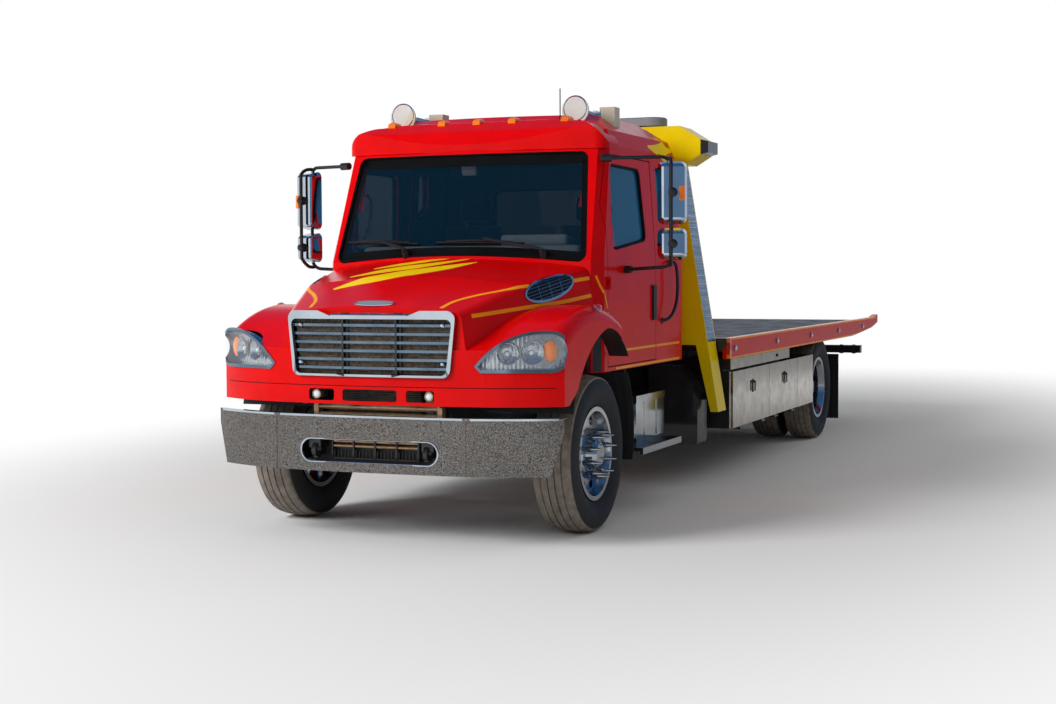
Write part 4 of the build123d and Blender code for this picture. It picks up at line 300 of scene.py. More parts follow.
    def lozenges(self, tree: Tree, place: Any, turns: float) -> Any:
        """Height of raised bars in a chequer, each pair turned against its neighbours.

        Args:
            tree: The material's nodes.
            place: Object coordinates.
            turns: Pattern repeats in a metre.

        Returns:
            The height output, 0 to 1.
        """
        bars = []
        for index, angle in enumerate((math.pi / 4, -math.pi / 4)):
            axis = [0.0, 0.0, 0.0]
            axis[self.pattern.axis] = angle
            settings = {"Scale": (turns,) * 3, "Rotation": axis, "Location": (0.5 * index,) * 3}
            turned = add_node(tree, "Mapping", settings, {"Vector": place})
            split = add_node(tree, "SeparateXYZ", links={"Vector": turned.outputs["Vector"]})
            plane = [k for k in range(3) if k != self.pattern.axis]
            parts = []
            for coordinate, width in zip(plane, (2.2, 7.0)):
                cell = add_node(tree, "Math", {"operation": "PINGPONG", 1: 0.5}, {0: split.outputs[coordinate]})
                settings = {"operation": "MULTIPLY_ADD", 1: -width, 2: 1.0, "use_clamp": True}
                parts.append(add_node(tree, "Math", settings, {0: cell.outputs[0]}).outputs[0])
            bar = add_node(tree, "Math", {"operation": "MINIMUM"}, {0: parts[0], 1: parts[1]})
            firm = add_node(
                tree, "Math", {"operation": "MULTIPLY", 1: 3.0, "use_clamp": True}, {0: bar.outputs[0]}
            )
            bars.append(firm.outputs[0])
        return add_node(tree, "Math", {"operation": "MAXIMUM"}, {0: bars[0], 1: bars[1]}).outputs[0]


# Two-stage automotive enamel, sprayed and clear-coated: deep red under a wet gloss with faint orange peel.
RED_ENAMEL = Finish(
    "red_clear_coated_enamel", "#D80406", "#CC0204", 0.2, 0.03, specular=0.09, coat=0.06, grain=(7.0, 0.012)
)
# The same enamel in yellow, on the lamp pylon and its pod.
YELLOW_ENAMEL = Finish(
    "yellow_clear_coated_enamel", "#F4D60C", "#ECCB08", 0.26, 0.03, specular=0.12, coat=0.08, grain=(7.0, 0.012)
)
# Cut vinyl film: flat gold line with an even, slightly softer gloss than the enamel.
GOLD_VINYL = Finish("gold_cast_vinyl_film", "#FDA510", "#F59A08", 0.32, 0.03, specular=0.12)
# The same film in yellow, for the broad sweeps.
YELLOW_VINYL = Finish("yellow_cast_vinyl_film", "#FFDC0A", "#FBD005", 0.32, 0.03, specular=0.12)
# Nickel-chrome plated steel: mirror bright and faintly blue.
CHROME = Finish("nickel_chrome_plate", "#C3CDD6", "#AEB9C3", 0.06, 0.03, 1.0)
# Chrome darkened and tinted blue as a painted reflection of a dark blue surround: the faces of the grille's
# bars, the lamps' bezels and the vents' bars.
DARK_REFLECTION_CHROME = Finish("chrome_plate_painted_dark_reflection", "#75889A", "#5B6C7D", 0.07, 0.03, 1.0, mottle_mm=120.0)
# Bumper chrome: the same plate, darkened and peppered with dark and light specks that are a painted reflection
# of gravel.
GRAVEL_REFLECTION_CHROME = Finish(
    "chrome_plate_painted_gravel_reflection", "#86827F", "#32302E", 0.15, 0.05, 1.0,
    mottle_mm=7.0, mottle_range=(0.37, 0.68), grain=(60.0, 0.8),
)
# Forged aluminium, machine polished: bright, with fine turning lines.
POLISHED_ALUMINIUM = Finish(
    "polished_forged_aluminium", "#BBBFC2", "#A2A6AA", 0.14, 0.04, 1.0,
    pattern=Relief(Pattern.BRUSHED, 30.0, 0.02, 0),
)
# Mirror-finish stainless sheet, slightly oil-canned.
STAINLESS = Finish(
    "mirror_finish_stainless_sheet", "#B9B4AB", "#98928A", 0.13, 0.05, 1.0, mottle_mm=90.0, grain=(160.0, 1.2)
)
# Rolled aluminium tread plate: raised bars that catch the light.
TREAD_PLATE = Finish(
    "rolled_aluminium_tread_plate", "#C9CBCC", "#B4B6B8", 0.22, 0.06, 1.0,
    pattern=Relief(Pattern.TREADPLATE, 38.0, 1.6, 1),
)
# Carcass and tread rubber, moulded: dark grey, matt, with a bloom of road dust.
TYRE_RUBBER = Finish("moulded_tyre_rubber", "#1B1B1C", "#2A2826", 0.72, 0.08, mottle_mm=60.0, grain=(3.0, 0.2))
# The tread after a gravel road: the same rubber under tan dust, lightened further as painted sunlight on the
# tread.
TREAD_DUST_AND_LIGHT = Finish(
    "tread_rubber_dust_and_painted_light", "#897F76", "#6A625A", 0.85, 0.06, specular=0.2, mottle_mm=50.0, grain=(3.0, 0.3)
)
# Chassis enamel, semi-gloss black over steel.
FRAME_ENAMEL = Finish(
    "black_chassis_enamel", "#131314", "#1D1C1B", 0.42, 0.1, coat=0.3, mottle_mm=120.0, grain=(12.0, 0.1)
)
# Textured polypropylene mouldings: black, soft sheen over a leather-like grain.
BLACK_MOULDING = Finish(
    "grained_black_polypropylene", "#1A1A1B", "#222223", 0.5, 0.06, pattern=Relief(Pattern.LEATHER, 3.0, 0.15)
)
# The same polypropylene in mid grey: dash and cab trim.
GREY_MOULDING = Finish(
    "grained_grey_polypropylene", "#878F95", "#7A8289", 0.55, 0.06, pattern=Relief(Pattern.LEATHER, 3.0, 0.15)
)
# Extruded EPDM window seal: dull black.
RUBBER_SEAL = Finish("black_epdm_seal", "#0A0A0B", "#111111", 0.65, 0.05, specular=0.15, grain=(4.0, 0.05))
# Float glass with a grey-green tint: mirror surface, the cab shows dimly through.
TINTED_GLASS = Finish(
    "tinted_laminated_glass", "#0A2636", "", 0.02, 0.0, alpha=0.34, coat=0.15, coat_roughness=0.0
)
# Tempered side glass: its blue is a painted reflection of the sky, hardly seen through.
SIDE_PANE_SKY_REFLECTION = Finish(
    "tempered_glass_painted_sky_reflection", "#1A6590", "", 0.02, 0.0, specular=0.3, alpha=0.82, coat_roughness=0.0
)
# Privacy glass at the cab's back: nearly black.
REAR_GLASS = Finish("privacy_glass", "#0A1B26", "", 0.02, 0.0, specular=0.3, alpha=0.9, coat_roughness=0.0)
# Injection-moulded polycarbonate lamp cover: clear, with a hard-coated gloss.
CLEAR_COVER = Finish(
    "clear_polycarbonate_cover", "#F4F7F8", "", 0.03, 0.0, ior=1.45, alpha=0.06, coat=0.5, coat_roughness=0.0
)
# Vacuum-metallised reflector bowl: a bright mirror with soft flutes.
REFLECTOR = Finish(
    "metallised_reflector",
    "#B4BCC3",
    "#8B939B",
    0.1,
    0.04,
    1.0,
    mottle_mm=30.0,
    pattern=Relief(Pattern.RIBS, 24.0, 1.2, 0),
)
# Injection-moulded acrylic lenses in amber, red and clear: glossy, with prisms that break up the light.
AMBER_LENS = Finish(
    "amber_prismed_acrylic", "#E97A06", "#D25A04", 0.12, 0.03, specular=0.25, coat=0.35, glow=0.1,
    pattern=Relief(Pattern.RIBS, 9.0, 0.6),
)
RED_LENS = Finish(
    "red_prismed_acrylic", "#B80A0A", "#9A0606", 0.1, 0.03, coat=1.0, glow=0.06,
    pattern=Relief(Pattern.RIBS, 9.0, 0.6),
)
WHITE_LENS = Finish(
    "clear_prismed_acrylic", "#DFE6EA", "#CFD7DC", 0.1, 0.03, coat=1.0, pattern=Relief(Pattern.RIBS, 9.0, 0.6)
)
# Powder-coated covers in white, cream and grey: an even satin with a fine texture.
WHITE_COVER = Finish("white_powder_coat", "#D2D2CE", "#C4C4BF", 0.35, 0.05, grain=(3.0, 0.05))
CREAM_COVER = Finish("cream_powder_coat", "#CFC8B4", "#BFB8A4", 0.4, 0.05, grain=(3.0, 0.05))
GREY_COVER = Finish("grey_powder_coat", "#8F9294", "#83868A", 0.35, 0.05, grain=(3.0, 0.05))
# Sand-cast iron and forged steel under thin black paint: coarse and dull.
CAST_IRON = Finish(
    "painted_cast_iron", "#2B2B2D", "#353331", 0.62, 0.1, metallic=0.2, mottle_mm=70.0, grain=(5.0, 0.5)
)
# Folded aluminium fins of the radiator's core: dull grey-brown lines.
CORE_FINS = Finish(
    "aluminium_core_fins", "#5C5850", "#4A463F", 0.45, 0.1, 0.8, mottle_mm=50.0,
    pattern=Relief(Pattern.RIBS, 14.0, 3.0),
)
# Woven wire screen behind the grille: brown wire, lightened as painted light against the grille's shade,
# clouding at random towards dark brown as painted shade between the wires.
WIRE_SCREEN = Finish(
    "wire_screen_painted_light_and_shade", "#8A7C6C", "#3A332B", 0.5, 0.08, 0.3, mottle_mm=16.0,
    pattern=Relief(Pattern.WEAVE, 11.0, 3.0),
)
# Painted wire gauze of the hood's vents: nearly black.
WIRE_SCREEN_BLACK = Finish(
    "black_wire_gauze", "#0E0F11", "#08090A", 0.5, 0.06, mottle_mm=12.0, pattern=Relief(Pattern.WEAVE, 5.0, 1.5)
)
# Bare brazed aluminium of the cooler's tube, gone tan with road dust.
DUSTY_ALUMINIUM = Finish(
    "dusty_brazed_aluminium", "#C4A483", "#A98762", 0.38, 0.08, 0.7, mottle_mm=40.0, grain=(4.0, 0.1)
)
# Hot-rolled floor plate: dark, with a blue tint that is a painted reflection of the sky, clouding at random
# towards scuffed, rusty brown.
DECK_PLATE_SKY_REFLECTION = Finish(
    "rusty_deck_plate_painted_sky_reflection", "#1F2E3B", "#3D352E", 0.5, 0.12, 0.5, mottle_mm=220.0,
    pattern=Relief(Pattern.TREADPLATE, 34.0, 1.2),
)
# Hard-chromed and ground piston rod: a plain bright mirror.
GROUND_ROD = Finish("hard_chromed_rod", "#C8CCD0", "#B9BDC1", 0.1, 0.02, 1.0)
# Woven polyester seat cloth over foam: charcoal, matt, with a soft edge of sheen.
SEAT_CLOTH = Finish(
    "woven_charcoal_seat_cloth", "#24262B", "#2E3036", 0.85, 0.05, sheen=0.4, mottle_mm=70.0,
    # threads are about 1 mm apart, drawn at 3 mm so that they show
    pattern=Relief(Pattern.WEAVE, 3.0, 0.4),
)
# Embossed vinyl on the cab's lining: dark grey under a soft sheen.
VINYL_TRIM = Finish(
    "grained_vinyl_trim", "#34373C", "#2D3034", 0.5, 0.06, sheen=0.1, pattern=Relief(Pattern.LEATHER, 4.0, 0.2)
)
# Silvered glass: a clean mirror.
MIRROR_GLASS = Finish("silvered_mirror_glass", "#DCE4EA", "#D2DAE0", 0.02, 0.0, 1.0)
# Flap rubber, moulded with upright ribs: dull black.
MUD_FLAP = Finish(
    "moulded_flap_rubber", "#111112", "#1A1918", 0.7, 0.08, pattern=Relief(Pattern.RIBS, 60.0, 2.0, 0)
)


NODE_FINISHES: dict[str, Finish] = {
    node: finish
    for finish, nodes in (
        (
            FRAME_ENAMEL,
            "chassis_frame leaf_springs cab_steps side_tanks toolboxes tilt_frame winch_frame tilt_cylinders "
            "wheel_lift_boom wheel_lift_crossbar"
        ),
        # the bumper's chrome carries a painted reflection of gravel
        (GRAVEL_REFLECTION_CHROME, "front_bumper"),
        (CORE_FINS, "radiator"),
        (CAST_IRON, "engine front_axle rear_axle knuckle_left knuckle_right tie_rod winch_drum"),
        (RED_ENAMEL, "cab_shell sun_visor hood door_left door_right deck"),
        (TINTED_GLASS, "cab_glass"),
        (AMBER_LENS, "clearance_lamps"),
        (CHROME, "air_horns grille headlamps hood_vents deck_lamps"),
        (GREY_MOULDING, "cab_fittings"),
        (SEAT_CLOTH, "seats"),
        (
            POLISHED_ALUMINIUM,
            "battery_box fuel_tank rim_front_left rim_front_right rims_rear_left rims_rear_right",
        ),
        (MUD_FLAP, "mudguards"),
        (
            STAINLESS,
            "toolbox_panels toolbox_door_left_front toolbox_door_left_rear toolbox_door_right_front "
            "toolbox_door_right_rear"
        ),
        (YELLOW_ENAMEL, "light_pylon"),
        (GREY_COVER, "light_bar"),
        (BLACK_MOULDING, "wheel_liners mirror_left mirror_right"),
        # the door panes take glass whose blue is a painted sky reflection
        (SIDE_PANE_SKY_REFLECTION, "door_glass_left door_glass_right"),
        (TYRE_RUBBER, "tyre_front_left tyre_front_right tyres_rear_left tyres_rear_right"),
        (RED_LENS, "rear_lamps"),
        (GROUND_ROD, "tilt_rods"),
    )
    for node in nodes.split()
}


def dress(node: str, base: Finish, *areas: tuple[Finish, Test]) -> None:
    """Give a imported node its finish, and other finishes where a face's centre and normal pass a test.

    Args:
        node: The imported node's name.
        base: Finish of all other faces.
        areas: Pairs of a finish and the test of the faces that take it; a later pair wins.
    """
    part = FRAME["nodes"][node]
    part.data.materials.clear()
    for finish in (base, *[area[0] for area in areas]):
        part.data.materials.append(finish.build())
    for face in part.data.polygons:
        face.material_index = 0
        for index, (_, test) in enumerate(areas):
            if test(face.center, face.normal):
                face.material_index = index + 1
    LOG.info("dressed %s in %s", node, base.name)


# --- mesh helpers


def as_object(name: str, mesh: bpy.types.Mesh, finish: Finish, body: str) -> Piece:
    """Link a mesh as a piece that rides on a body.

    Args:
        name: The piece's name.
        mesh: Its mesh, in the row frame.
        finish: Its finish.
        body: The body that carries it.

    Returns:
        The new object.
    """
    piece = bpy.data.objects.new(name, mesh)
    bpy.context.scene.collection.objects.link(piece)
    mesh.materials.append(finish.build())
    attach(piece, body)
    LOG.info("%s: %d faces on %s", name, len(mesh.polygons), body)
    return piece


def mesh_from(name: str, build: Shape, smooth_deg: float = 35.0) -> bpy.types.Mesh:
    """Run a function on an empty bmesh and return the mesh, smooth below an edge angle.

    Args:
        name: The piece's name.
        build: Function that shapes it.
        smooth_deg: Edges sharper than this stay sharp.

    Returns:
        The new mesh.
    """
    form = bmesh.new()
    build(form)
    bmesh.ops.recalc_face_normals(form, faces=form.faces)
    for face in form.faces:
        face.smooth = True
    for edge in form.edges:
        edge.smooth = len(edge.link_faces) == 2 and edge.calc_face_angle(0.0) < math.radians(smooth_deg)
    mesh = bpy.data.meshes.new(name)
    form.to_mesh(mesh)
    form.free()
    return mesh


def make(name: str, build: Shape, finish: Finish, body: str = "root") -> Piece:
    """Make a piece that a function shapes, riding on a body."""
    return as_object(name, mesh_from(name, build), finish, body)


def frame_at(origin: Vector, along: Vector, up: Vector) -> Matrix:
    """Matrix whose z axis is along and whose y axis leans towards up, at origin.

    Args:
        origin: Its origin.
        along: Way of its z axis.
        up: Way its y axis leans to.

    Returns:
        The matrix.
    """
    z = along.normalized()
    x = up.cross(z).normalized()
    y = z.cross(x)
    return Matrix.Translation(origin) @ Matrix((x, y, z)).transposed().to_4x4()


def ring_points(radius_x: float, radius_y: float, count: int, power: float = 1.0) -> list[Pair]:
    """Points round an ellipse, or round a squarer oval where power is under 1.

    Args:
        radius_x: Half its width.
        radius_y: Half its height.
        count: How many points.
        power: Under 1 for a squarer oval.

    Returns:
        The points, in order.
    """
    points = []
    for k in range(count):
        turn = 2 * math.pi * k / count
        c, s = math.cos(turn), math.sin(turn)
        points.append(
            (radius_x * math.copysign(abs(c) ** power, c), radius_y * math.copysign(abs(s) ** power, s))
        )
    return points


def join_rings(form: Form, low: Sequence[Any], high: Sequence[Any]) -> None:
    """Join two rings of as many corners with four-sided faces.

    Args:
        form: The bmesh that takes the faces.
        low: Corners of one ring.
        high: Corners of the other.
    """
    for i in range(len(low)):
        j = (i + 1) % len(low)
        form.faces.new((low[i], low[j], high[j], high[i]))


def sweep(
    form: Form, path: Sequence[Vector], ups: Vector | Sequence[Vector], section: Sequence[Pair],
    closed: bool = False,
) -> None:
    """Sweep a closed section along a path, with capped ends.

    Args:
        form: The bmesh that takes the faces.
        path: Points of the path.
        ups: Direction of the section's second axis, for all points or one for each.
        section: Points of the section, in metres.
        closed: True for a ring.
    """
    count = len(path)
    rings = []
    for k, point in enumerate(path):
        before = path[(k - 1) % count] if closed or k else point
        after = path[(k + 1) % count] if closed or k < count - 1 else point
        place = frame_at(point, after - before, ups if isinstance(ups, Vector) else ups[k])
        rings.append([form.verts.new(place @ Vector((u, v, 0.0))) for u, v in section])
    for k in range(count if closed else count - 1):
        join_rings(form, rings[k], rings[(k + 1) % count])
    if not closed:
        form.faces.new(list(reversed(rings[0])))
        form.faces.new(rings[-1])


def bar(form: Form, half: float, y: float, z: float, radius: float, turns: int) -> None:
    """Add a round bar straight across the truck."""
    sweep(form, [Vector((-half, y, z)), Vector((half, y, z))], UP, ring_points(radius, radius, turns))


def smooth_path(points: Sequence[Vector], step: float, closed: bool = False) -> list[Vector]:
    """Points at an even step along a Catmull-Rom curve through the given points.

    Args:
        points: Points it goes through.
        step: Distance between points.
        closed: True for a ring.

    Returns:
        The points.
    """
    count = len(points)
    path: list[Vector] = []
    for k in range(count if closed else count - 1):
        p1, p2 = points[k], points[(k + 1) % count]
        p0 = points[(k - 1) % count] if closed or k else p1 * 2 - p2
        p3 = points[(k + 2) % count] if closed or k + 2 < count else p2 * 2 - p1
        bend, twist = 2 * p0 - 5 * p1 + 4 * p2 - p3, 3 * p1 - p0 - 3 * p2 + p3
        pieces = max(1, round((p2 - p1).length / step))
        for i in range(pieces):
            t = i / pieces
            path.append(0.5 * (2 * p1 + (p2 - p0) * t + bend * t * t + twist * t**3))
    if not closed:
        path.append(points[-1].copy())
    return path


def lathe(form: Form, place: Matrix, profile: Sequence[Pair], turns: int = 32) -> None:
    """Turn a profile of (radius, height) about the place's z axis; both ends close on the axis or as discs.

    Args:
        form: The bmesh that takes the faces.
        place: Matrix of its axis.
        profile: Radius and height of each point.
        turns: Faces round the axis.
    """
    rings = []
    for radius, height in profile:
        if radius < 1e-6:
            rings.append([form.verts.new(place @ Vector((0, 0, height)))])
        else:
            rings.append(
                [
                    form.verts.new(place @ Vector((radius * c, radius * s, height)))
                    for c, s in ring_points(1, 1, turns)
                ]
            )
    for low, high in zip(rings, rings[1:]):
        for i in range(turns):
            j = (i + 1) % turns
            corners = [low[i % len(low)], low[j % len(low)], high[j % len(high)], high[i % len(high)]]
            unique = list(dict.fromkeys(corners))
            if len(unique) > 2:
                form.faces.new(unique)
    for ring, flip in ((rings[0], True), (rings[-1], False)):
        if len(ring) > 1:
            form.faces.new(list(reversed(ring)) if flip else ring)


def turned_part(
    name: str, seat: Matrix, profile: Sequence[Pair], turns: int, finish: Finish, body: str
) -> Piece:
    """Make a piece by turning one profile."""
    return make(name, lambda form: lathe(form, seat, profile, turns), finish, body)


def soft_box(form: Form, place: Matrix | Triple, size: Triple, bevel: float, segments: int = 3) -> None:
    """Add a box with rounded edges, centred on a place.

    Args:
        form: The bmesh that takes the faces.
        place: Its middle, or the matrix of it.
        size: Width, depth and height.
        bevel: Radius of its edges.
        segments: Faces across an edge.
    """
    if not isinstance(place, Matrix):
        place = Matrix.Translation(place)
    made = bmesh.ops.create_cube(form, size=1.0, matrix=place @ Matrix.Diagonal((*size, 1.0)))
    edges = list({edge for vert in made["verts"] for edge in vert.link_edges})
    bmesh.ops.bevel(form, geom=edges, offset=bevel, segments=segments, affect="EDGES", profile=0.6)


class Skin:
    """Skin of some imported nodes, for laying trim on it."""

    def __init__(self, *nodes: str) -> None:
        """Read the nodes' meshes into one search tree."""
        corners: list[Vector] = []
        faces: list[list[int]] = []
        for node in nodes:
            mesh = FRAME["nodes"][node].data
            start = len(corners)
            corners.extend(vert.co.copy() for vert in mesh.vertices)
            faces.extend([start + index for index in face.vertices] for face in mesh.polygons)
        self.tree = BVHTree.FromPolygons(corners, faces)

    def in_own_shade(self, place: Vector, normal: Vector) -> bool:
        """True where the skin itself stands over a face, or the face looks down: faces in its own shade."""
        start = place + normal * 0.003
        return normal.z < -0.35 or self.tree.ray_cast(start, normal, 2.6)[0] is not None

    def nearest(self, point: Vector) -> tuple[Vector, Vector]:
        """Point of the skin nearest to a point, and its normal."""
        place, normal, _, _ = self.tree.find_nearest(point)
        return place, normal

    def hit(self, x: float, y: float, z: float, way: Vector) -> Vector:
        """First point of the skin from a place along a way."""
        return self.cast(Vector((x, y, z)), way)[0]

    def cast(self, point: Vector, direction: Vector) -> tuple[Vector, Vector]:
        """First point of the skin along a direction, and its normal; the nearest one where there is none.

        Args:
            point: Start of the ray.
            direction: Where it goes.

        Returns:
            The point, and the normal turned against the direction.
        """
        place, normal, _, _ = self.tree.ray_cast(point, direction)
        if place is None:
            place, normal = self.nearest(point)
        return place, (normal if normal.dot(direction) < 0 else -normal)


def lay_ribbon(
    name: str, points: Sequence[Triple | Vector], widths: Sequence[float], skin: Skin, finish: Finish,
    body: str, step: float = 0.03, rise: float = 0.0016, sink: float = 0.001,
) -> Piece:
    """Lay a thin strip of film on a skin.

    Args:
        name: The piece's name.
        points: Points near the strip's middle line.
        widths: Its width at evenly spaced places along it.
        skin: What it lies on.
        finish: Its finish.
        body: The body that carries it.
        step: Length of its faces.
        rise: How far its face stands off the skin.
        sink: How far its back lies under the skin.

    Returns:
        The new piece.
    """
    line = smooth_path([Vector(p) for p in points], step)
    total = len(line)

    def build(form: Form) -> None:
        """Lay the strip's face, back and edges.

        Args:
            form: The bmesh that takes the faces.
        """
        rows = []
        for k, point in enumerate(line):
            share = k / max(total - 1, 1) * (len(widths) - 1)
            low = min(int(share), max(len(widths) - 2, 0))
            high = min(low + 1, len(widths) - 1)
            width = widths[low] + (widths[high] - widths[low]) * (share - low)
            along = line[min(k + 1, total - 1)] - line[max(k - 1, 0)]
            across = along.cross(skin.nearest(point)[1]).normalized() * width / 2
            row = []
            for side in (-1.0, -0.33, 0.33, 1.0):
                place, normal = skin.nearest(point + across * side)
                row.append((form.verts.new(place + normal * rise), form.verts.new(place - normal * sink)))
            rows.append(row)
        for low_row, high_row in zip(rows, rows[1:]):
            for i in range(3):
                form.faces.new((low_row[i][0], low_row[i + 1][0], high_row[i + 1][0], high_row[i][0]))
                form.faces.new((low_row[i][1], high_row[i][1], high_row[i + 1][1], low_row[i + 1][1]))
            for i in (0, 3):
                form.faces.new((low_row[i][0], high_row[i][0], high_row[i][1], low_row[i][1]))
        for row in (rows[0], rows[-1]):
            for i in range(3):
                form.faces.new((row[i][0], row[i + 1][0], row[i + 1][1], row[i][1]))

    return make(name, build, finish, body)


def on_side(points: Sequence[Triple], side: float) -> list[Triple]:
    """Points given for the left side, on the left (1) or the right (-1)."""
    return [(side * x, y, z) for x, y, z in points]


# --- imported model


@dataclass
class PackedModel:
    """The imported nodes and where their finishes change."""

    cab_inside_x: float = 0.985
    cab_inside_y: Pair = (aft(1.39), aft(3.2))
    floor_z: float = 1.06
    wheel_place: Triple = (0.48, aft(1.87), 1.665)
    wheel_reach: float = 0.29
    deck_floor_z: float = 1.115
    front_axle_y: float = -3.97
    rear_axle_y: float = 2.425
    axle_z: float = 0.508
    tread_radius: float = 0.484
    roof_lining_z: float = 2.74
    bars_half: float = 0.53
    bars_z: Pair = (1.06, 1.385)
    bars_top: float = 1.41
    post_x: float = 0.184
    door_skin_x: float = 1.0305
    handle_y: Pair = (aft(2.43), aft(2.52))
    handle_z: Pair = (1.3, 1.6)
    box_skin_x: float = 1.2175
    box_handle_x: float = 1.2215
    box_lip_z: float = 0.88
    rail_inside_x: float = 1.17
    horn_x: float = 0.668
    horn_mouth_y: float = aft(1.86)
    cover_rear_y: float = aft(2.3)
    aerial_x: float = 0.549
    mirror_heads: Path = ((1.39, aft(1.785), 2.2075), (1.39, aft(1.785), 1.8625))
    mirror_half: tuple[float, ...] = (0.2125, 0.1075)
    mirror_half_width: float = 0.104
    mirror_turn_deg: float = 20.0
    vent_place: Triple = (0.88, aft(0.88), 1.59)
    vent_half: Pair = (0.27, 0.078)
    vent_angles_deg: Triple = (17.0, 30.0, 11.0)

    def in_cab(self, place: Vector, normal: Vector) -> bool:
        """True for a face of the cab's lining.

        Args:
            place: Where the face or point lies.
            normal: The face's normal.

        Returns:
            True or false.
        """
        low, high = self.cab_inside_y
        if not (low - 0.02 < place.y < high + 0.02 and place.z > self.floor_z - 0.01):
            return False
        inward = normal.x * place.x < -0.15 or normal.z < -0.5
        inward = inward or (normal.z > 0.9 and place.z < self.floor_z + 0.02)
        inward = inward or (normal.y > 0.5 and place.y < -3.2) or (normal.y < -0.5 and place.y > aft(3.0))
        return inward and abs(place.x) < self.cab_inside_x and place.z < self.roof_lining_z

    def lined(self, place: Vector, normal: Vector) -> bool:
        """True for a face of the inside of a door."""
        return normal.x * place.x < -0.2 and abs(place.x) < self.cab_inside_x + 0.01

    def hood_inside_shade(self, place: Vector, normal: Vector) -> bool:
        """True for a face of the inside of the hood, or one that looks down, which takes painted shade in
        black.
        """
        return self.hood_skin.in_own_shade(place, normal)

    def on_wheel(self, place: Vector, normal: Vector) -> bool:
        """True for a face of the steering wheel or its column."""
        return (place - Vector(self.wheel_place)).length < self.wheel_reach

    def build(self) -> None:
        """Give every node its finish."""
        self.hood_skin = Skin("hood")
        special: dict[str, list[tuple[Finish, Test]]] = {
            "cab_shell": [(VINYL_TRIM, self.in_cab)],
            # the cab's side panes take glass whose blue is a painted sky reflection
            "cab_glass": [(SIDE_PANE_SKY_REFLECTION, lambda c, n: abs(n.x) > 0.7), (REAR_GLASS, lambda c, n: c.y > aft(2.9))],
            # faces inside or under the hood take black as painted shade
            "hood": [(BLACK_MOULDING, self.hood_inside_shade)],
            "cab_fittings": [(BLACK_MOULDING, self.on_wheel), (BLACK_MOULDING, lambda c, n: c.y > aft(2.05))],
            # the bumper's upward faces take clean chrome as a painted highlight over its painted gravel
            # reflection
            "front_bumper": [(CHROME, lambda c, n: n.z > 0.6), (FRAME_ENAMEL, lambda c, n: n.y > 0.4)],
            "deck": [
                # the deck's floor takes plate with a painted sky reflection
                (DECK_PLATE_SKY_REFLECTION, lambda c, n: n.z > 0.9 and abs(c.z - self.deck_floor_z) < 0.004),
                (FRAME_ENAMEL, lambda c, n: abs(c.x) < self.rail_inside_x and c.z < self.deck_floor_z - 0.003),
            ],
            "light_bar": [
                (STAINLESS, lambda c, n: n.z > 0.7 and c.z > 2.8),
                (FRAME_ENAMEL, lambda c, n: abs(c.x) > 1.1 and abs(n.x) < 0.9),
            ],
            # the vents' bars take chrome with a painted dark reflection
            "hood_vents": [(DARK_REFLECTION_CHROME, self.vent_bars)],
            # grille bars: tops stay bright chrome, fronts take a painted dark reflection, undersides black as
            # painted shade
            "grille": [(DARK_REFLECTION_CHROME, self.bar_front_reflection), (FRAME_ENAMEL, self.bar_shade)],
            "toolbox_panels": [
                (FRAME_ENAMEL, lambda c, n: abs(c.x) > self.box_skin_x and c.z > self.box_lip_z)
            ],
            "cab_steps": [(POLISHED_ALUMINIUM, lambda c, n: n.x * c.x > 0.9 and abs(c.x) > 1.14)],
            "toolboxes": [(STAINLESS, lambda c, n: n.x * c.x > 0.9 and abs(c.x) > 1.19)],
            "radiator": [(GREY_COVER, lambda c, n: abs(c.x) > 0.3)],
            "air_horns": [
                (WHITE_COVER, lambda c, n: abs(abs(c.x) - self.horn_x) < 0.1 and c.y < self.horn_mouth_y),
                (CREAM_COVER, lambda c, n: (abs(c.x) > 0.77 or -0.62 < c.x < -0.4) and c.y < self.cover_rear_y),
                (BLACK_MOULDING, lambda c, n: abs(c.x - self.aerial_x) < 0.03),
            ],
        }
        for side, _ in SIDES:
            special[f"door_{side}"] = [(VINYL_TRIM, self.lined), (BLACK_MOULDING, self.on_handle)]
            special[f"mirror_{side}"] = [(CHROME, self.mirror_shell), (MIRROR_GLASS, self.mirror_face)]
            # tyre treads take tan dust and painted sunlight
            special[f"tyre_front_{side}"] = special[f"tyres_rear_{side}"] = [(TREAD_DUST_AND_LIGHT, self.on_tread)]
            for end in ("front", "rear"):
                special[f"toolbox_door_{side}_{end}"] = [(FRAME_ENAMEL, self.box_handle)]
        for node, finish in NODE_FINISHES.items():
            dress(node, finish, *special.get(node, []))

    def on_tread(self, place: Vector, normal: Vector) -> bool:
        """True for a face of a tyre's tread."""
        axle_y = self.front_axle_y if place.y < 0 else self.rear_axle_y
        return math.hypot(place.y - axle_y, place.z - self.axle_z) > self.tread_radius

    def bar_front_reflection(self, place: Vector, normal: Vector) -> bool:
        """True for the front of a grille bar, below its top, which takes a painted dark reflection."""
        return normal.z < 0.7 and self.bars_z[0] < place.z < self.bars_z[1] and abs(place.x) < self.bars_half

    def bar_shade(self, place: Vector, normal: Vector) -> bool:
        """True for the underside of a grille bar, which takes painted shade in black, and for its posts."""
        shaded = normal.z < -0.7 or abs(abs(place.x) - self.post_x) < 0.01
        return shaded and place.z < self.bars_top and abs(place.x) < self.bars_half

    def on_handle(self, place: Vector, normal: Vector) -> bool:
        """True for a face of a door's pull handle."""
        (front, rear), (foot, top) = self.handle_y, self.handle_z
        return abs(place.x) > self.door_skin_x and front < place.y < rear and foot < place.z < top

    def box_handle(self, place: Vector, normal: Vector) -> bool:
        """True for a face of a tool box door's folding handle."""
        return abs(place.x) > self.box_handle_x

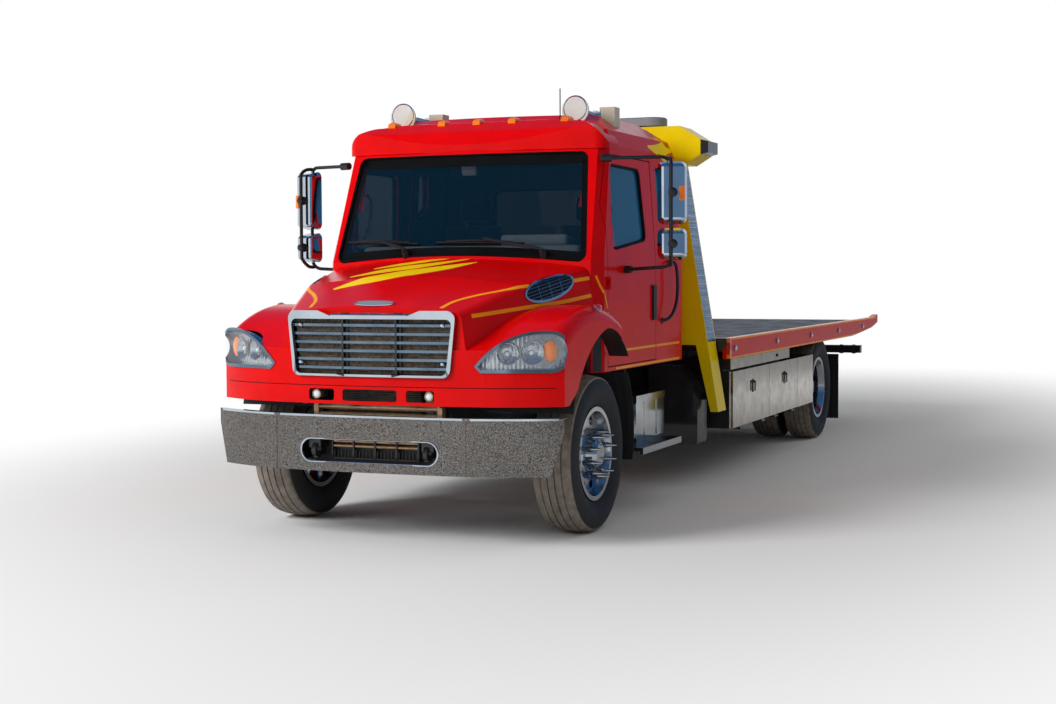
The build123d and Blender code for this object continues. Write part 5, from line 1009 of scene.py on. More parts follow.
    def head_place(self, place: Vector) -> tuple[int, float, float, float]:
        """Where a point lies in the nearer mirror head: its number, then across, up and forward in metres.

        Args:
            place: Where the face or point lies.

        Returns:
            The four values.
        """
        side = math.copysign(1.0, place.x)
        turn = math.radians(self.mirror_turn_deg)
        upper_foot = self.mirror_heads[0][2] - self.mirror_half[0]
        lower_top = self.mirror_heads[1][2] + self.mirror_half[1]
        index = 0 if place.z > (upper_foot + lower_top) / 2 else 1
        x, y, z = self.mirror_heads[index]
        offset = (place.x * side - x, place.y - y, place.z - z)
        across = offset[0] * math.cos(turn) + offset[1] * math.sin(turn)
        forward = offset[0] * math.sin(turn) - offset[1] * math.cos(turn)
        return index, across, offset[2], forward

    def mirror_shell(self, place: Vector, normal: Vector) -> bool:
        """True for a face of a mirror's plated shell.

        Args:
            place: Where the face or point lies.
            normal: The face's normal; not used.

        Returns:
            True or false.
        """
        index, across, up, forward = self.head_place(place)
        inside = abs(across) < self.mirror_half_width and abs(up) < self.mirror_half[index] + 0.003
        return inside and -0.004 < forward < 0.1

    def mirror_face(self, place: Vector, normal: Vector) -> bool:
        """True for a face of a mirror's glass."""
        return self.mirror_shell(place, normal) and abs(self.head_place(place)[3]) < 0.003

    def vent_bars(self, place: Vector, normal: Vector) -> bool:
        """True for a face inside the rim of a hood vent."""
        u, v = vent_local(self, place)
        return (u / (self.vent_half[0] - 0.018)) ** 2 + (v / (self.vent_half[1] - 0.018)) ** 2 < 1.0


def vent_axes(model: PackedModel, side: float) -> tuple[Vector, Vector, Vector]:
    """Long, short and outward directions of a hood vent's oval.

    Args:
        model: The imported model's sizes.
        side: 1 for left, -1 for right.

    Returns:
        The three directions.
    """
    turn, tip, pitch = (math.radians(v) for v in model.vent_angles_deg)
    out = Vector((side * math.cos(turn) * math.cos(tip), -math.sin(turn) * math.cos(tip), math.sin(tip)))
    back = Vector((side * math.sin(turn), math.cos(turn), 0.0))
    rise = out.cross(back) * side
    return back * math.cos(pitch) + rise * math.sin(pitch), rise * math.cos(pitch) - back * math.sin(pitch), out


def vent_local(model: PackedModel, place: Vector) -> Pair:
    """A point's distances from a vent's middle along its long and short directions.

    Args:
        model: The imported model's sizes.
        place: Where the face or point lies.

    Returns:
        The two distances.
    """
    side = math.copysign(1.0, place.x)
    x, y, z = model.vent_place
    long, short, _ = vent_axes(model, side)
    offset = place - Vector((side * x, y, z))
    return offset.dot(long), offset.dot(short)


# --- windows


@dataclass
class Windows:
    """Seals, dark borders and wipers of the cab's glass."""

    screen: Profile = ((-0.942, 1.742), (0.942, 1.742), (0.866, 2.494), (-0.866, 2.494))
    screen_rise: float = 0.044
    rear: Profile = ((-0.56, 1.8), (0.56, 1.8), (0.54, 2.33), (-0.54, 2.33))
    quarter: Profile = ((2.65, 2.09), (2.83, 2.17), (2.8, 2.435), (2.64, 2.435))
    door: Profile = ((1.605, 1.815), (2.345, 1.895), (2.285, 2.405), (1.665, 2.412))
    corner: float = 0.06
    seal: Pair = (0.011, 0.014)
    start_y: float = -5.5
    corner_steps: int = 6
    wiper_lean: Triple = (0.0, -1.0, 0.4)
    wiper_runs: tuple[tuple[str, Profile], ...] = (
        ("right", ((-0.86, 1.885), (-0.28, 1.868), (-0.363, 1.812), (-0.57, 1.884))),
        ("left", ((-0.14, 1.876), (0.5, 1.866), (0.644, 1.8), (0.22, 1.888))),
    )
    blade_frame: Profile = ((0.12, 0.024), (0.3, 0.04), (0.5, 0.048), (0.7, 0.04), (0.88, 0.024))
    pivot_profile: Profile = ((0.0, 0.0), (0.024, 0.0), (0.024, 0.05), (0.016, 0.062), (0.0, 0.064))

    def rounded(self, corners: Sequence[Pair], radius: float, inset: float) -> list[Pair]:
        """Points round an outline with rounded corners, drawn in by a margin.

        Args:
            corners: The outline's corners.
            radius: Radius of its corners.
            inset: How far it is drawn in.

        Returns:
            Points round it, in order.
        """
        middle = sum((Vector(c) for c in corners), Vector((0, 0))) / len(corners)
        drawn = []
        for c in corners:
            away = Vector(c) - middle
            drawn.append(Vector((c[0] - math.copysign(inset, away.x), c[1] - math.copysign(inset, away.y))))
        points = []
        for number, tip in enumerate(drawn):
            before, after = drawn[number - 1], drawn[(number + 1) % len(drawn)]
            start = tip + (before - tip).normalized() * radius
            end = tip + (after - tip).normalized() * radius
            for k in range(self.corner_steps + 1):
                t = k / self.corner_steps
                points.append(tuple(start * (1 - t) ** 2 + tip * 2 * t * (1 - t) + end * t * t))
        return points

    def loop(self, name: str, points: Sequence[Triple], drop: Triple, skin: Skin, body: str) -> None:
        """Lay a seal round a pane.

        Args:
            name: The piece's name.
            points: Points outside the cab in front of the pane's edge.
            drop: Direction in which they are dropped on the pane.
            skin: The pane.
            body: The body that carries it.
        """
        way = Vector(drop)
        line = smooth_path([Vector(p) for p in points], 0.03, closed=True)
        placed, ups = [], []
        for point in line:
            place, normal = skin.cast(point, way)
            placed.append(place + normal * 0.006)
            ups.append(normal)
        section = ring_points(*self.seal, 8, 0.7)
        mesh = mesh_from(name, lambda form: sweep(form, placed, ups, section, closed=True), 60)
        as_object(name, mesh, RUBBER_SEAL, body)

    def bow(self, x: float) -> float:
        """How far the windscreen's foot rises at this X."""
        return self.screen_rise * (1 - (x / self.screen[1][0]) ** 2)

    def build(self) -> None:
        """Make the seals, the borders and the wipers."""
        glass = Skin("cab_glass")
        radius = self.corner
        edge = self.rounded(self.screen, radius, 0.006)
        foot = self.screen[0][1]
        # points along the foot, so that the seal follows the glass's curve
        edge[7:7] = [(-0.84 + 0.12 * k, foot + 0.006) for k in range(15)]
        front = [(x, self.start_y, z + self.bow(x) * max(0.0, 1 - (z - foot) / 0.08)) for x, z in edge]
        self.loop("windscreen_seal", front, (0, 1, 0), glass, "root")
        back = [(x, 0.0, z) for x, z in self.rounded(self.rear, radius, 0.006)]
        self.loop("rear_window_seal", back, (0, -1, 0), glass, "root")
        for label, side in SIDES:
            lights = [(side * FAR_SIDE, aft(y), z) for y, z in self.rounded(self.quarter, 0.035, 0.005)]
            self.loop(f"quarter_window_seal_{label}", lights, (-side, 0, 0), glass, "root")
            pane = Skin(f"door_glass_{label}")
            edge = [(side * FAR_SIDE, aft(y), z) for y, z in self.rounded(self.door, radius, 0.005)]
            self.loop(f"door_window_seal_{label}", edge, (-side, 0, 0), pane, f"door_{label}_assembly")
        self.dark_borders(glass)
        self.wipers(glass)

    def dark_borders(self, glass: Skin) -> None:
        """Bands of black enamel round the windscreen's edge.

        Args:
            glass: The windows' skin.
        """
        (left, foot), (_, _), (_, top), _ = self.screen
        half_foot, half_top = -left - 0.03, self.screen[2][0] - 0.03
        shares = (-1.0, -0.5, 0.0, 0.5, 1.0)
        bands = {
            "top": ([(x * half_top, top - 0.045) for x in shares], 0.085),
            "foot": ([(x * half_foot, foot + 0.035 + self.bow(x * half_foot)) for x in shares], 0.06),
            "left": ([(half_foot, foot + 0.03), (half_top, top - 0.03)], 0.04),
            "right": ([(-half_foot, foot + 0.03), (-half_top, top - 0.03)], 0.04),
        }
        for label, (points, width) in bands.items():
            line = [glass.hit(x, self.start_y, z, BACK) for x, z in points]
            name = f"windscreen_{label}_band"
            lay_ribbon(name, line, [width], glass, RUBBER_SEAL, "root", rise=0.0008)

    def wipers(self, glass: Skin) -> None:
        """Two wipers at rest along the windscreen's foot.

        Args:
            glass: The windows' skin.
        """
        lean = Vector(self.wiper_lean)

        def on_glass(x: float, z: float, lift: float) -> Vector:
            """Point over the windscreen."""
            place, normal = glass.cast(Vector((x, self.start_y, z)), BACK)
            return place + normal * lift

        for label, (tip, heel, pivot, joint) in self.wiper_runs:

            def along(share: float, lift: float, over: float = 0.0) -> Vector:
                """Point over the blade's line."""
                return on_glass(
                    tip[0] + (heel[0] - tip[0]) * share, tip[1] + (heel[1] - tip[1]) * share + over, lift
                )

            def build(form: Form) -> None:
                """Shape blade, frame, arm and pivot.

                Args:
                    form: Takes the faces.
                """
                sweep(form, [along(k / 16, 0.013) for k in range(17)], lean, ring_points(0.006, 0.013, 8, 0.8))
                frame = smooth_path([along(share, lift, 0.004) for share, lift in self.blade_frame], 0.03)
                sweep(form, frame, lean, ring_points(0.007, 0.006, 8, 0.8))
                root = on_glass(pivot[0], 1.8, 0.02) + Vector((0, -0.045, pivot[1] - 1.805))
                knee = (root + on_glass(*joint, 0.055)) / 2 + Vector((0, -0.012, 0.01))
                arm = smooth_path([root, root + Vector((0, -0.01, 0.03)), knee, on_glass(*joint, 0.052)], 0.04)
                sweep(form, arm, lean, ring_points(0.011, 0.007, 8, 0.7))
                seat = frame_at(root + Vector((0, 0.05, -0.03)), Vector((0, -0.5, 0.85)), BACK)
                lathe(form, seat, self.pivot_profile, 20)

            make(f"wiper_{label}", build, BLACK_MOULDING)


# --- cab interior


@dataclass
class Cushion:
    """A stuffed cushion: where its middle lies, its size and its lean."""

    name: str
    middle: Triple
    size: Triple
    lean_deg: float = 0.0
    fill: float = 0.8
    voxel: float = 0.012
    swell: float = 0.022
    shrink: float = 0.02
    pressure: float = 4.0
    last_step: int = 20

    def build(self) -> Piece:
        """Sew and stuff the cushion.

        Returns:
            The piece.
        """
        turn = Matrix.Rotation(math.radians(self.lean_deg), 4, "X")
        place = Matrix.Translation(self.middle) @ turn
        size = tuple(s - self.shrink for s in self.size)

        def shape(form: Form) -> None:
            """Shape the cover before it is stuffed."""
            soft_box(form, place, size, min(size) * 0.32, 4)

        piece = as_object(self.name, mesh_from(self.name, shape, 180), SEAT_CLOTH, "root")
        self.stuff(piece)
        return piece

    def stuff(self, piece: Piece) -> None:
        """Blow the cover up by cloth simulation, then keep its result in the mesh.

        Args:
            piece: The cushion.
        """
        remesh = piece.modifiers.new("remesh", "REMESH")
        remesh.mode = "VOXEL"
        remesh.voxel_size = self.voxel
        self.keep(piece)
        before = [vert.co.copy() for vert in piece.data.vertices]
        cloth = piece.modifiers.new("cloth", "CLOTH")
        cloth.settings.use_pressure = True
        cloth.settings.uniform_pressure_force = self.pressure
        cloth.settings.effector_weights.gravity = 0.0
        cloth.settings.quality = 5
        cloth.point_cache.frame_start, cloth.point_cache.frame_end = 1, self.last_step
        for step in range(1, self.last_step + 1):
            bpy.context.scene.frame_set(step)
        self.keep(piece)
        bpy.context.scene.frame_set(1)
        for vert, start in zip(piece.data.vertices, before):
            moved = vert.co - start
            if moved.length > self.swell:
                vert.co = start + moved.normalized() * self.swell
        finer = piece.modifiers.new("finer", "SUBSURF")
        finer.levels = 1
        self.keep(piece)
        for face in piece.data.polygons:
            face.use_smooth = True

    def keep(self, piece: Piece) -> None:
        """Put the modifiers' result in the piece's own mesh.

        Args:
            piece: The cushion.
        """
        graph = bpy.context.evaluated_depsgraph_get()
        mesh = bpy.data.meshes.new_from_object(piece.evaluated_get(graph))
        piece.modifiers.clear()
        piece.data = mesh


@dataclass
class CabInterior:
    """Two seats and the small fittings of the cab."""

    seat_x: tuple[float, ...] = (0.48, -0.48)
    base_size: Triple = (0.5, 0.5, 0.17)
    base_middle: Pair = (aft(2.29), 1.42)
    back_size: Triple = (0.49, 0.14, 0.64)
    back_middle: Pair = (aft(2.615), 1.74)
    rest_size: Triple = (0.27, 0.1, 0.2)
    rest_middle: Pair = (aft(2.7), 2.15)
    lean_deg: float = -9.0
    base_lean_deg: float = 3.0
    handle_path: Path = (
        (0.9, aft(1.56), 1.86), (0.862, aft(1.59), 1.9), (0.845, aft(1.66), 2.05), (0.862, aft(1.7), 2.2),
        (0.9, aft(1.7), 2.24),
    )
    vent_x: tuple[float, ...] = (-0.78, -0.16, 0.16, 0.82)
    vent_z: float = 1.655

    def build(self) -> None:
        """Make the seats, then the dash's details."""
        parts = (
            ("seat_base", self.base_middle, self.base_size, self.base_lean_deg, 0.012),
            ("seat_back", self.back_middle, self.back_size, self.lean_deg, 0.012),
            ("head_rest", self.rest_middle, self.rest_size, self.lean_deg, 0.009),
        )
        for label, x in zip(("driver", "passenger"), self.seat_x):
            for name, middle, size, lean, voxel in parts:
                piece = Cushion(f"{name}_{label}", (x, *middle), size, lean, voxel=voxel).build()
                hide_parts("seats")
        self.posts()
        self.dash()

    def posts(self) -> None:
        """Steel posts of the head rests."""
        y, z = self.rest_middle

        def build(form: Form) -> None:
            """Shape the four posts.

            Args:
                form: Takes the faces.
            """
            for x in self.seat_x:
                for offset in (-0.07, 0.07):
                    low = Vector((x + offset, y - 0.022, z - 0.2))
                    high = Vector((x + offset, y, z + 0.02))
                    sweep(form, [low, high], BACK, ring_points(0.006, 0.006, 10))

        make("head_rest_posts", build, CHROME, "root")

    def dash(self) -> None:
        """Instrument hood, vents, grab handles and the sensor box behind the windscreen."""
        dash = Skin("cab_fittings")
        boxes = (
            ("instrument_hood", (0.48, aft(1.62), 1.885), -0.12, (0.5, 0.2, 0.08), 0.035, 4, GREY_MOULDING),
            ("dash_cover", (0.0, aft(1.61), 1.79), 0.0, (1.66, 0.24, 0.14), 0.05, 4, GREY_MOULDING),
            ("windscreen_sensor_box", (-0.02, aft(1.575), 2.4), 0.35, (0.11, 0.035, 0.1), 0.01, 3, GREY_COVER),
        )
        for name, place, tip, size, bevel, segments, finish in boxes:

            def box(form: Form) -> None:
                """Shape one rounded box."""
                soft_box(form, Matrix.Translation(place) @ Matrix.Rotation(tip, 4, "X"), size, bevel, segments)

            make(name, box, finish)

        def vents(form: Form) -> None:
            """Shape the vents' slats.

            Args:
                form: Takes the faces.
            """
            for x in self.vent_x:
                for k in range(4):
                    place, normal = dash.cast(Vector((x, aft(2.4), self.vent_z - 0.016 * k)), -BACK)
                    soft_box(form, frame_at(place + normal * 0.004, normal, UP), (0.11, 0.007, 0.012), 0.002, 2)

        def handles(form: Form) -> None:
            """Shape both handles.

            Args:
                form: Takes the faces.
            """
            for _, side in SIDES:
                path = smooth_path([Vector(p) for p in on_side(self.handle_path, side)], 0.03)
                sweep(form, path, Vector((side, 0, 0)), ring_points(0.012, 0.012, 10))

        make("dash_vents", vents, BLACK_MOULDING)
        make("pillar_grab_handles", handles, GREY_MOULDING)


# --- hood


@dataclass
class HoodTrim:
    """Blank badge, gold lines, yellow sweeps and marker lamps on the hood."""

    badge: Triple = (0.0, -4.9, 1.485)
    badge_half: Pair = (0.135, 0.036)
    line_width: float = 0.024
    upper: Path = (
        (0.454, -4.861, 1.461), (0.488, -4.736, 1.5), (0.58, -4.598, 1.535), (0.716, -4.436, 1.571),
        (0.79, -4.27, 1.59),
    )
    upper_rear: Path = ((0.922, -3.82, 1.62), (0.945, -3.72, 1.629), (0.978, -3.63, 1.638))
    lower: Path = (
        (0.59, -4.862, 1.403), (0.659, -4.743, 1.418), (0.781, -4.407, 1.45), (0.892, -4.004, 1.481),
        (0.947, -3.785, 1.505), (0.98, -3.63, 1.523),
    )
    sweeps: tuple[tuple[Profile, tuple[float, ...]], ...] = (
        (
            ((-0.47, aft(0.44)), (-0.34, aft(0.54)), (-0.14, aft(0.68)), (0.06, aft(0.86)), (0.24, aft(1.12))),
            (0.03, 0.17, 0.22, 0.14, 0.012),
        ),
        (
            ((-0.5, aft(0.72)), (-0.3, aft(0.86)), (-0.1, aft(0.98)), (0.05, aft(1.12)), (0.15, aft(1.28))),
            (0.025, 0.13, 0.16, 0.08, 0.01),
        ),
        (
            ((-0.46, aft(0.98)), (-0.28, aft(1.08)), (-0.12, aft(1.18)), (-0.02, aft(1.3))),
            (0.02, 0.09, 0.09, 0.01),
        ),
    )
    marker: Triple = (1.155, aft(0.935), 1.44)
    marker_stretch: float = 1.7
    marker_foot: Profile = ((0.0, 0.0), (0.03, 0.0), (0.032, 0.008), (0.027, 0.014), (0.0, 0.014))
    marker_lens: Profile = (
        (0.0, 0.012), (0.025, 0.012), (0.0245, 0.024), (0.019, 0.032), (0.01, 0.036), (0.0, 0.037)
    )
    seam_z: float = 0.981
    gauze_margin: float = 0.014

    def build(self) -> None:
        """Make every piece of trim."""
        hood = Skin("hood")
        for label, side in SIDES:
            for part, points in (("upper", self.upper), ("rear", self.upper_rear), ("lower", self.lower)):
                name, line = f"gold_line_{part}_{label}", on_side(points, side)
                lay_ribbon(name, line, [self.line_width], hood, GOLD_VINYL, HOOD)
            self.marker_lamp(label, side, hood)
            self.vent_recess(label, side, hood)
        for number, (points, widths) in enumerate(self.sweeps, 1):
            line = [hood.hit(x, y, FAR_UP, -UP) for x, y in points]
            lay_ribbon(
                f"yellow_sweep_{number}", line, widths, hood, YELLOW_VINYL, HOOD, step=0.02
            )
        self.blank_badge(hood)
        self.seam(hood)

    def seam(self, hood: Skin) -> None:
        """Dark shut line across the fascia under the lamps."""
        line = [hood.hit(-1.14 + 0.095 * k, FAR_FRONT, self.seam_z, BACK) for k in range(25)]
        lay_ribbon("fascia_seam", line, [0.0045], hood, RUBBER_SEAL, HOOD, rise=0.0008)

    def vent_recess(self, label: str, side: float, hood: Skin) -> None:
        """Black gauze under a vent's bars.

        Args:
            label: Left or right.
            side: 1 for left, -1 for right.
            hood: The hood's skin.
        """
        model = PackedModel()
        long, short, out = vent_axes(model, side)
        x, y, z = model.vent_place
        middle = Vector((side * x, y, z))
        rings, turns = 6, 48

        def build(form: Form) -> None:
            """Shape the oval of gauze.

            Args:
                form: Takes the faces.
            """
            rows = []
            for k in range(1, rings + 1):
                share = k / rings
                row = []
                for u, v in ring_points(*(half - self.gauze_margin for half in model.vent_half), turns):
                    place, normal = hood.cast(middle + long * u * share + short * v * share + out * 0.3, -out)
                    row.append(
                        (form.verts.new(place + normal * 0.0025), form.verts.new(place + normal * 0.0005))
                    )
                rows.append(row)
            for low, high in zip(rows, rows[1:]):
                for i in range(turns):
                    j = (i + 1) % turns
                    form.faces.new((low[i][0], low[j][0], high[j][0], high[i][0]))
                    form.faces.new((low[i][1], high[i][1], high[j][1], low[j][1]))
            form.faces.new([pair[0] for pair in rows[0]])
            form.faces.new([pair[1] for pair in reversed(rows[0])])
            join_rings(form, *zip(*rows[-1]))

        make(f"vent_gauze_{label}", build, WIRE_SCREEN_BLACK, HOOD)

    def marker_lamp(self, label: str, side: float, hood: Skin) -> None:
        """A small lamp on the fender's crown: plated foot and domed lens.

        Args:
            label: Left or right.
            side: 1 for left, -1 for right.
            hood: The hood's skin.
        """
        place, normal = hood.nearest(Vector((side * self.marker[0], self.marker[1], self.marker[2])))
        seat = frame_at(place - normal * 0.004, normal, BACK)
        seat = seat @ Matrix.Diagonal((1.0, self.marker_stretch, 1.0, 1.0))
        lens = AMBER_LENS if side < 0 else RED_LENS
        for part, profile, finish, slot in (
            ("foot", self.marker_foot, CHROME, "chrome"), ("lens", self.marker_lens, lens, "amber"),
        ):
            turned_part(f"fender_lamp_{part}_{label}", seat, profile, 28, finish, HOOD)

    def blank_badge(self, hood: Skin) -> None:
        """An oval plate with a plated rim and a plain grey face.

        Args:
            hood: The hood's skin.
        """
        place, normal = hood.cast(Vector((self.badge[0], FAR_FRONT, self.badge[2])), BACK)
        seat = frame_at(place + normal * 0.002, normal, UP)
        turns = 56
        oval = ring_points(*self.badge_half, turns, 0.85)

        def rim(form: Form) -> None:
            """Shape the rim."""
            path = [seat @ Vector((u, v, 0.002)) for u, v in oval]
            sweep(form, path, normal, ring_points(0.0045, 0.007, 8), closed=True)

        def face(form: Form) -> None:
            """Shape the domed face.

            Args:
                form: Takes the faces.
            """
            rings = []
            for share, lift in ((1.0, -0.004), (1.0, 0.002), (0.8, 0.005), (0.4, 0.007)):
                rings.append([form.verts.new(seat @ Vector((u * share, v * share, lift))) for u, v in oval])
            for low, high in zip(rings, rings[1:]):
                join_rings(form, low, high)
            form.faces.new(rings[-1])
            form.faces.new(list(reversed(rings[0])))

        make("badge_rim", rim, CHROME, HOOD)
        make("badge_face", face, GREY_COVER, HOOD)


@dataclass
class Headlamps:
    """Plated bezels, deep housings, reflector bowls and clear covers."""

    cover_wall: float = 0.003
    bowl_places: Path = ((-0.1, -0.005, 0.062), (0.045, 0.0, 0.068))
    amber_place: Triple = (0.158, 0.008, 0.056)
    lamp: Triple = (0.958, aft(0.205), 1.193)
    turn_deg: float = 32.0
    lens_z: Pair = (1.09, 1.31)
    lens_tall: float = 0.05
    facing: float = 0.45
    shell_wall: float = 0.002
    bulb: Profile = ((0.0, 0.0), (0.014, 0.0), (0.015, 0.012), (0.011, 0.022), (0.0, 0.025))

    def build(self) -> None:
        """Split each packed lamp into its bezel, housing and cover, and fill it."""
        for label, side in SIDES:
            lens: list[Sequence[Vector]] = []
            rest: list[Sequence[Vector]] = []
            for patch in self.patches(side):
                (lens if self.is_lens(patch, side) else rest).extend(patch)
            cover = self.copy(f"headlamp_cover_{label}", lens, CLEAR_COVER)
            shell = self.copy(f"headlamp_shell_{label}", rest, REFLECTOR)
            # faces of the bezel that look ahead take chrome with a painted dark reflection
            shell.data.materials.append(DARK_REFLECTION_CHROME.build())
            for face in shell.data.polygons:
                if face.normal.dot(self.ahead(side)) > self.facing:
                    face.material_index = 1
            for piece, thickness in ((cover, self.cover_wall), (shell, self.shell_wall)):
                wall = piece.modifiers.new("wall", "SOLIDIFY")
                wall.thickness = thickness
                wall.offset = -1.0
                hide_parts("headlamps")
            self.fill(label, side)

    def ahead(self, side: float) -> Vector:
        """Way a lamp faces."""
        turn = math.radians(self.turn_deg)
        return Vector((side * math.sin(turn), -math.cos(turn), 0.0))

    def is_lens(self, patch: Sequence[Sequence[Vector]], side: float) -> bool:
        """True for a patch of the recessed lens: it faces ahead and lies inside the bezel.

        Args:
            patch: Corners of its faces.
            side: 1 for left, -1 for right.

        Returns:
            True or false.
        """
        heights = [co.z for face in patch for co in face]
        low, high = self.lens_z
        if min(heights) < low or max(heights) > high or max(heights) - min(heights) < self.lens_tall:
            return False
        normals = [(face[1] - face[0]).cross(face[2] - face[0]) for face in patch]
        return sum(normals, Vector()).normalized().dot(self.ahead(side)) > self.facing

    def patches(self, side: float) -> list[list[Sequence[Vector]]]:
        """Smooth patches of a packed lamp, each as the corners of its faces.

        Args:
            side: 1 for left, -1 for right.

        Returns:
            One list of faces for each patch.
        """
        form = bmesh.new()
        form.from_mesh(FRAME["nodes"]["headlamps"].data)
        # a dict keeps the faces' order, which a set doesn't, so that every run gives the same mesh
        left = dict.fromkeys(face for face in form.faces if face.calc_center_median().x * side > 0)
        found = []
        while left:
            stack = [left.popitem()[0]]
            group = list(stack)
            while stack:
                for edge in stack.pop().edges:
                    for face in edge.link_faces:
                        if face in left:
                            del left[face]
                            stack.append(face)
                            group.append(face)
            found.append([[vert.co.copy() for vert in face.verts] for face in group])
        form.free()
        return found

    def copy(self, name: str, faces: Sequence[Sequence[Vector]], finish: Finish) -> Piece:
        """A piece made of the given faces.

        Args:
            name: The piece's name.
            faces: Corners of the faces.
            finish: The piece's finish.

        Returns:
            The new piece.
        """

        def build(form: Form) -> None:
            """Join the faces at shared corners.

            Args:
                form: Takes the faces.
            """
            known: dict[tuple[float, ...], Any] = {}
            for face in faces:
                corners = []
                for co in face:
                    key = tuple(round(v, 6) for v in co)
                    if key not in known:
                        known[key] = form.verts.new(co)
                    corners.append(known[key])
                if len(set(corners)) == len(corners) and not form.faces.get(corners):
                    form.faces.new(corners)

        return make(name, build, finish, HOOD)

    def fill(self, label: str, side: float) -> None:
        """Bowls, bulbs and amber lamp of one side.

        Args:
            label: Left or right.
            side: 1 for left, -1 for right.
        """
        ahead = self.ahead(side)
        across = Vector((side * -ahead.y, side * ahead.x, 0.0))
        centre = Vector((side * self.lamp[0], self.lamp[1], self.lamp[2]))
        lens = Skin("headlamps")

        def seat(u: float, v: float, back: float) -> Matrix:
            """Seat of a bowl behind the lens."""
            place, _ = lens.cast(centre + across * u + Vector((0, 0, v)) + ahead * 0.6, -ahead)
            return frame_at(place - ahead * back, ahead, UP)

        def bowls(form: Form) -> None:
            """Shape the bowls.

            Args:
                form: Takes the faces.
            """
            for u, v, radius in self.bowl_places:
                inside = [(0.012, 0.0), (radius * 0.5, 0.006), (radius * 0.8, 0.018), (radius, 0.036)]
                outside = [(radius + 0.004, 0.038), (radius * 0.8 + 0.004, 0.016), (0.0, -0.004)]
                lathe(form, seat(u, v, 0.05), inside + outside, 40)

        def bulbs(form: Form) -> None:
            """Shape the bulbs."""
            for u, v, _ in self.bowl_places:
                lathe(form, seat(u, v, 0.05), self.bulb, 20)

        make(f"headlamp_bowls_{label}", bowls, REFLECTOR, HOOD)
        make(f"headlamp_bulbs_{label}", bulbs, WHITE_LENS, HOOD)
        u, v, radius = self.amber_place
        oval = seat(u, v, 0.045) @ Matrix.Diagonal((0.75, 1.15, 1.0, 1.0))
        profile = ((0.0, 0.0), (radius, 0.0), (radius, 0.008), (radius * 0.7, 0.018), (0.0, 0.022))
        turned_part(f"headlamp_turn_lamp_{label}", oval, profile, 32, AMBER_LENS, HOOD)


# --- front end


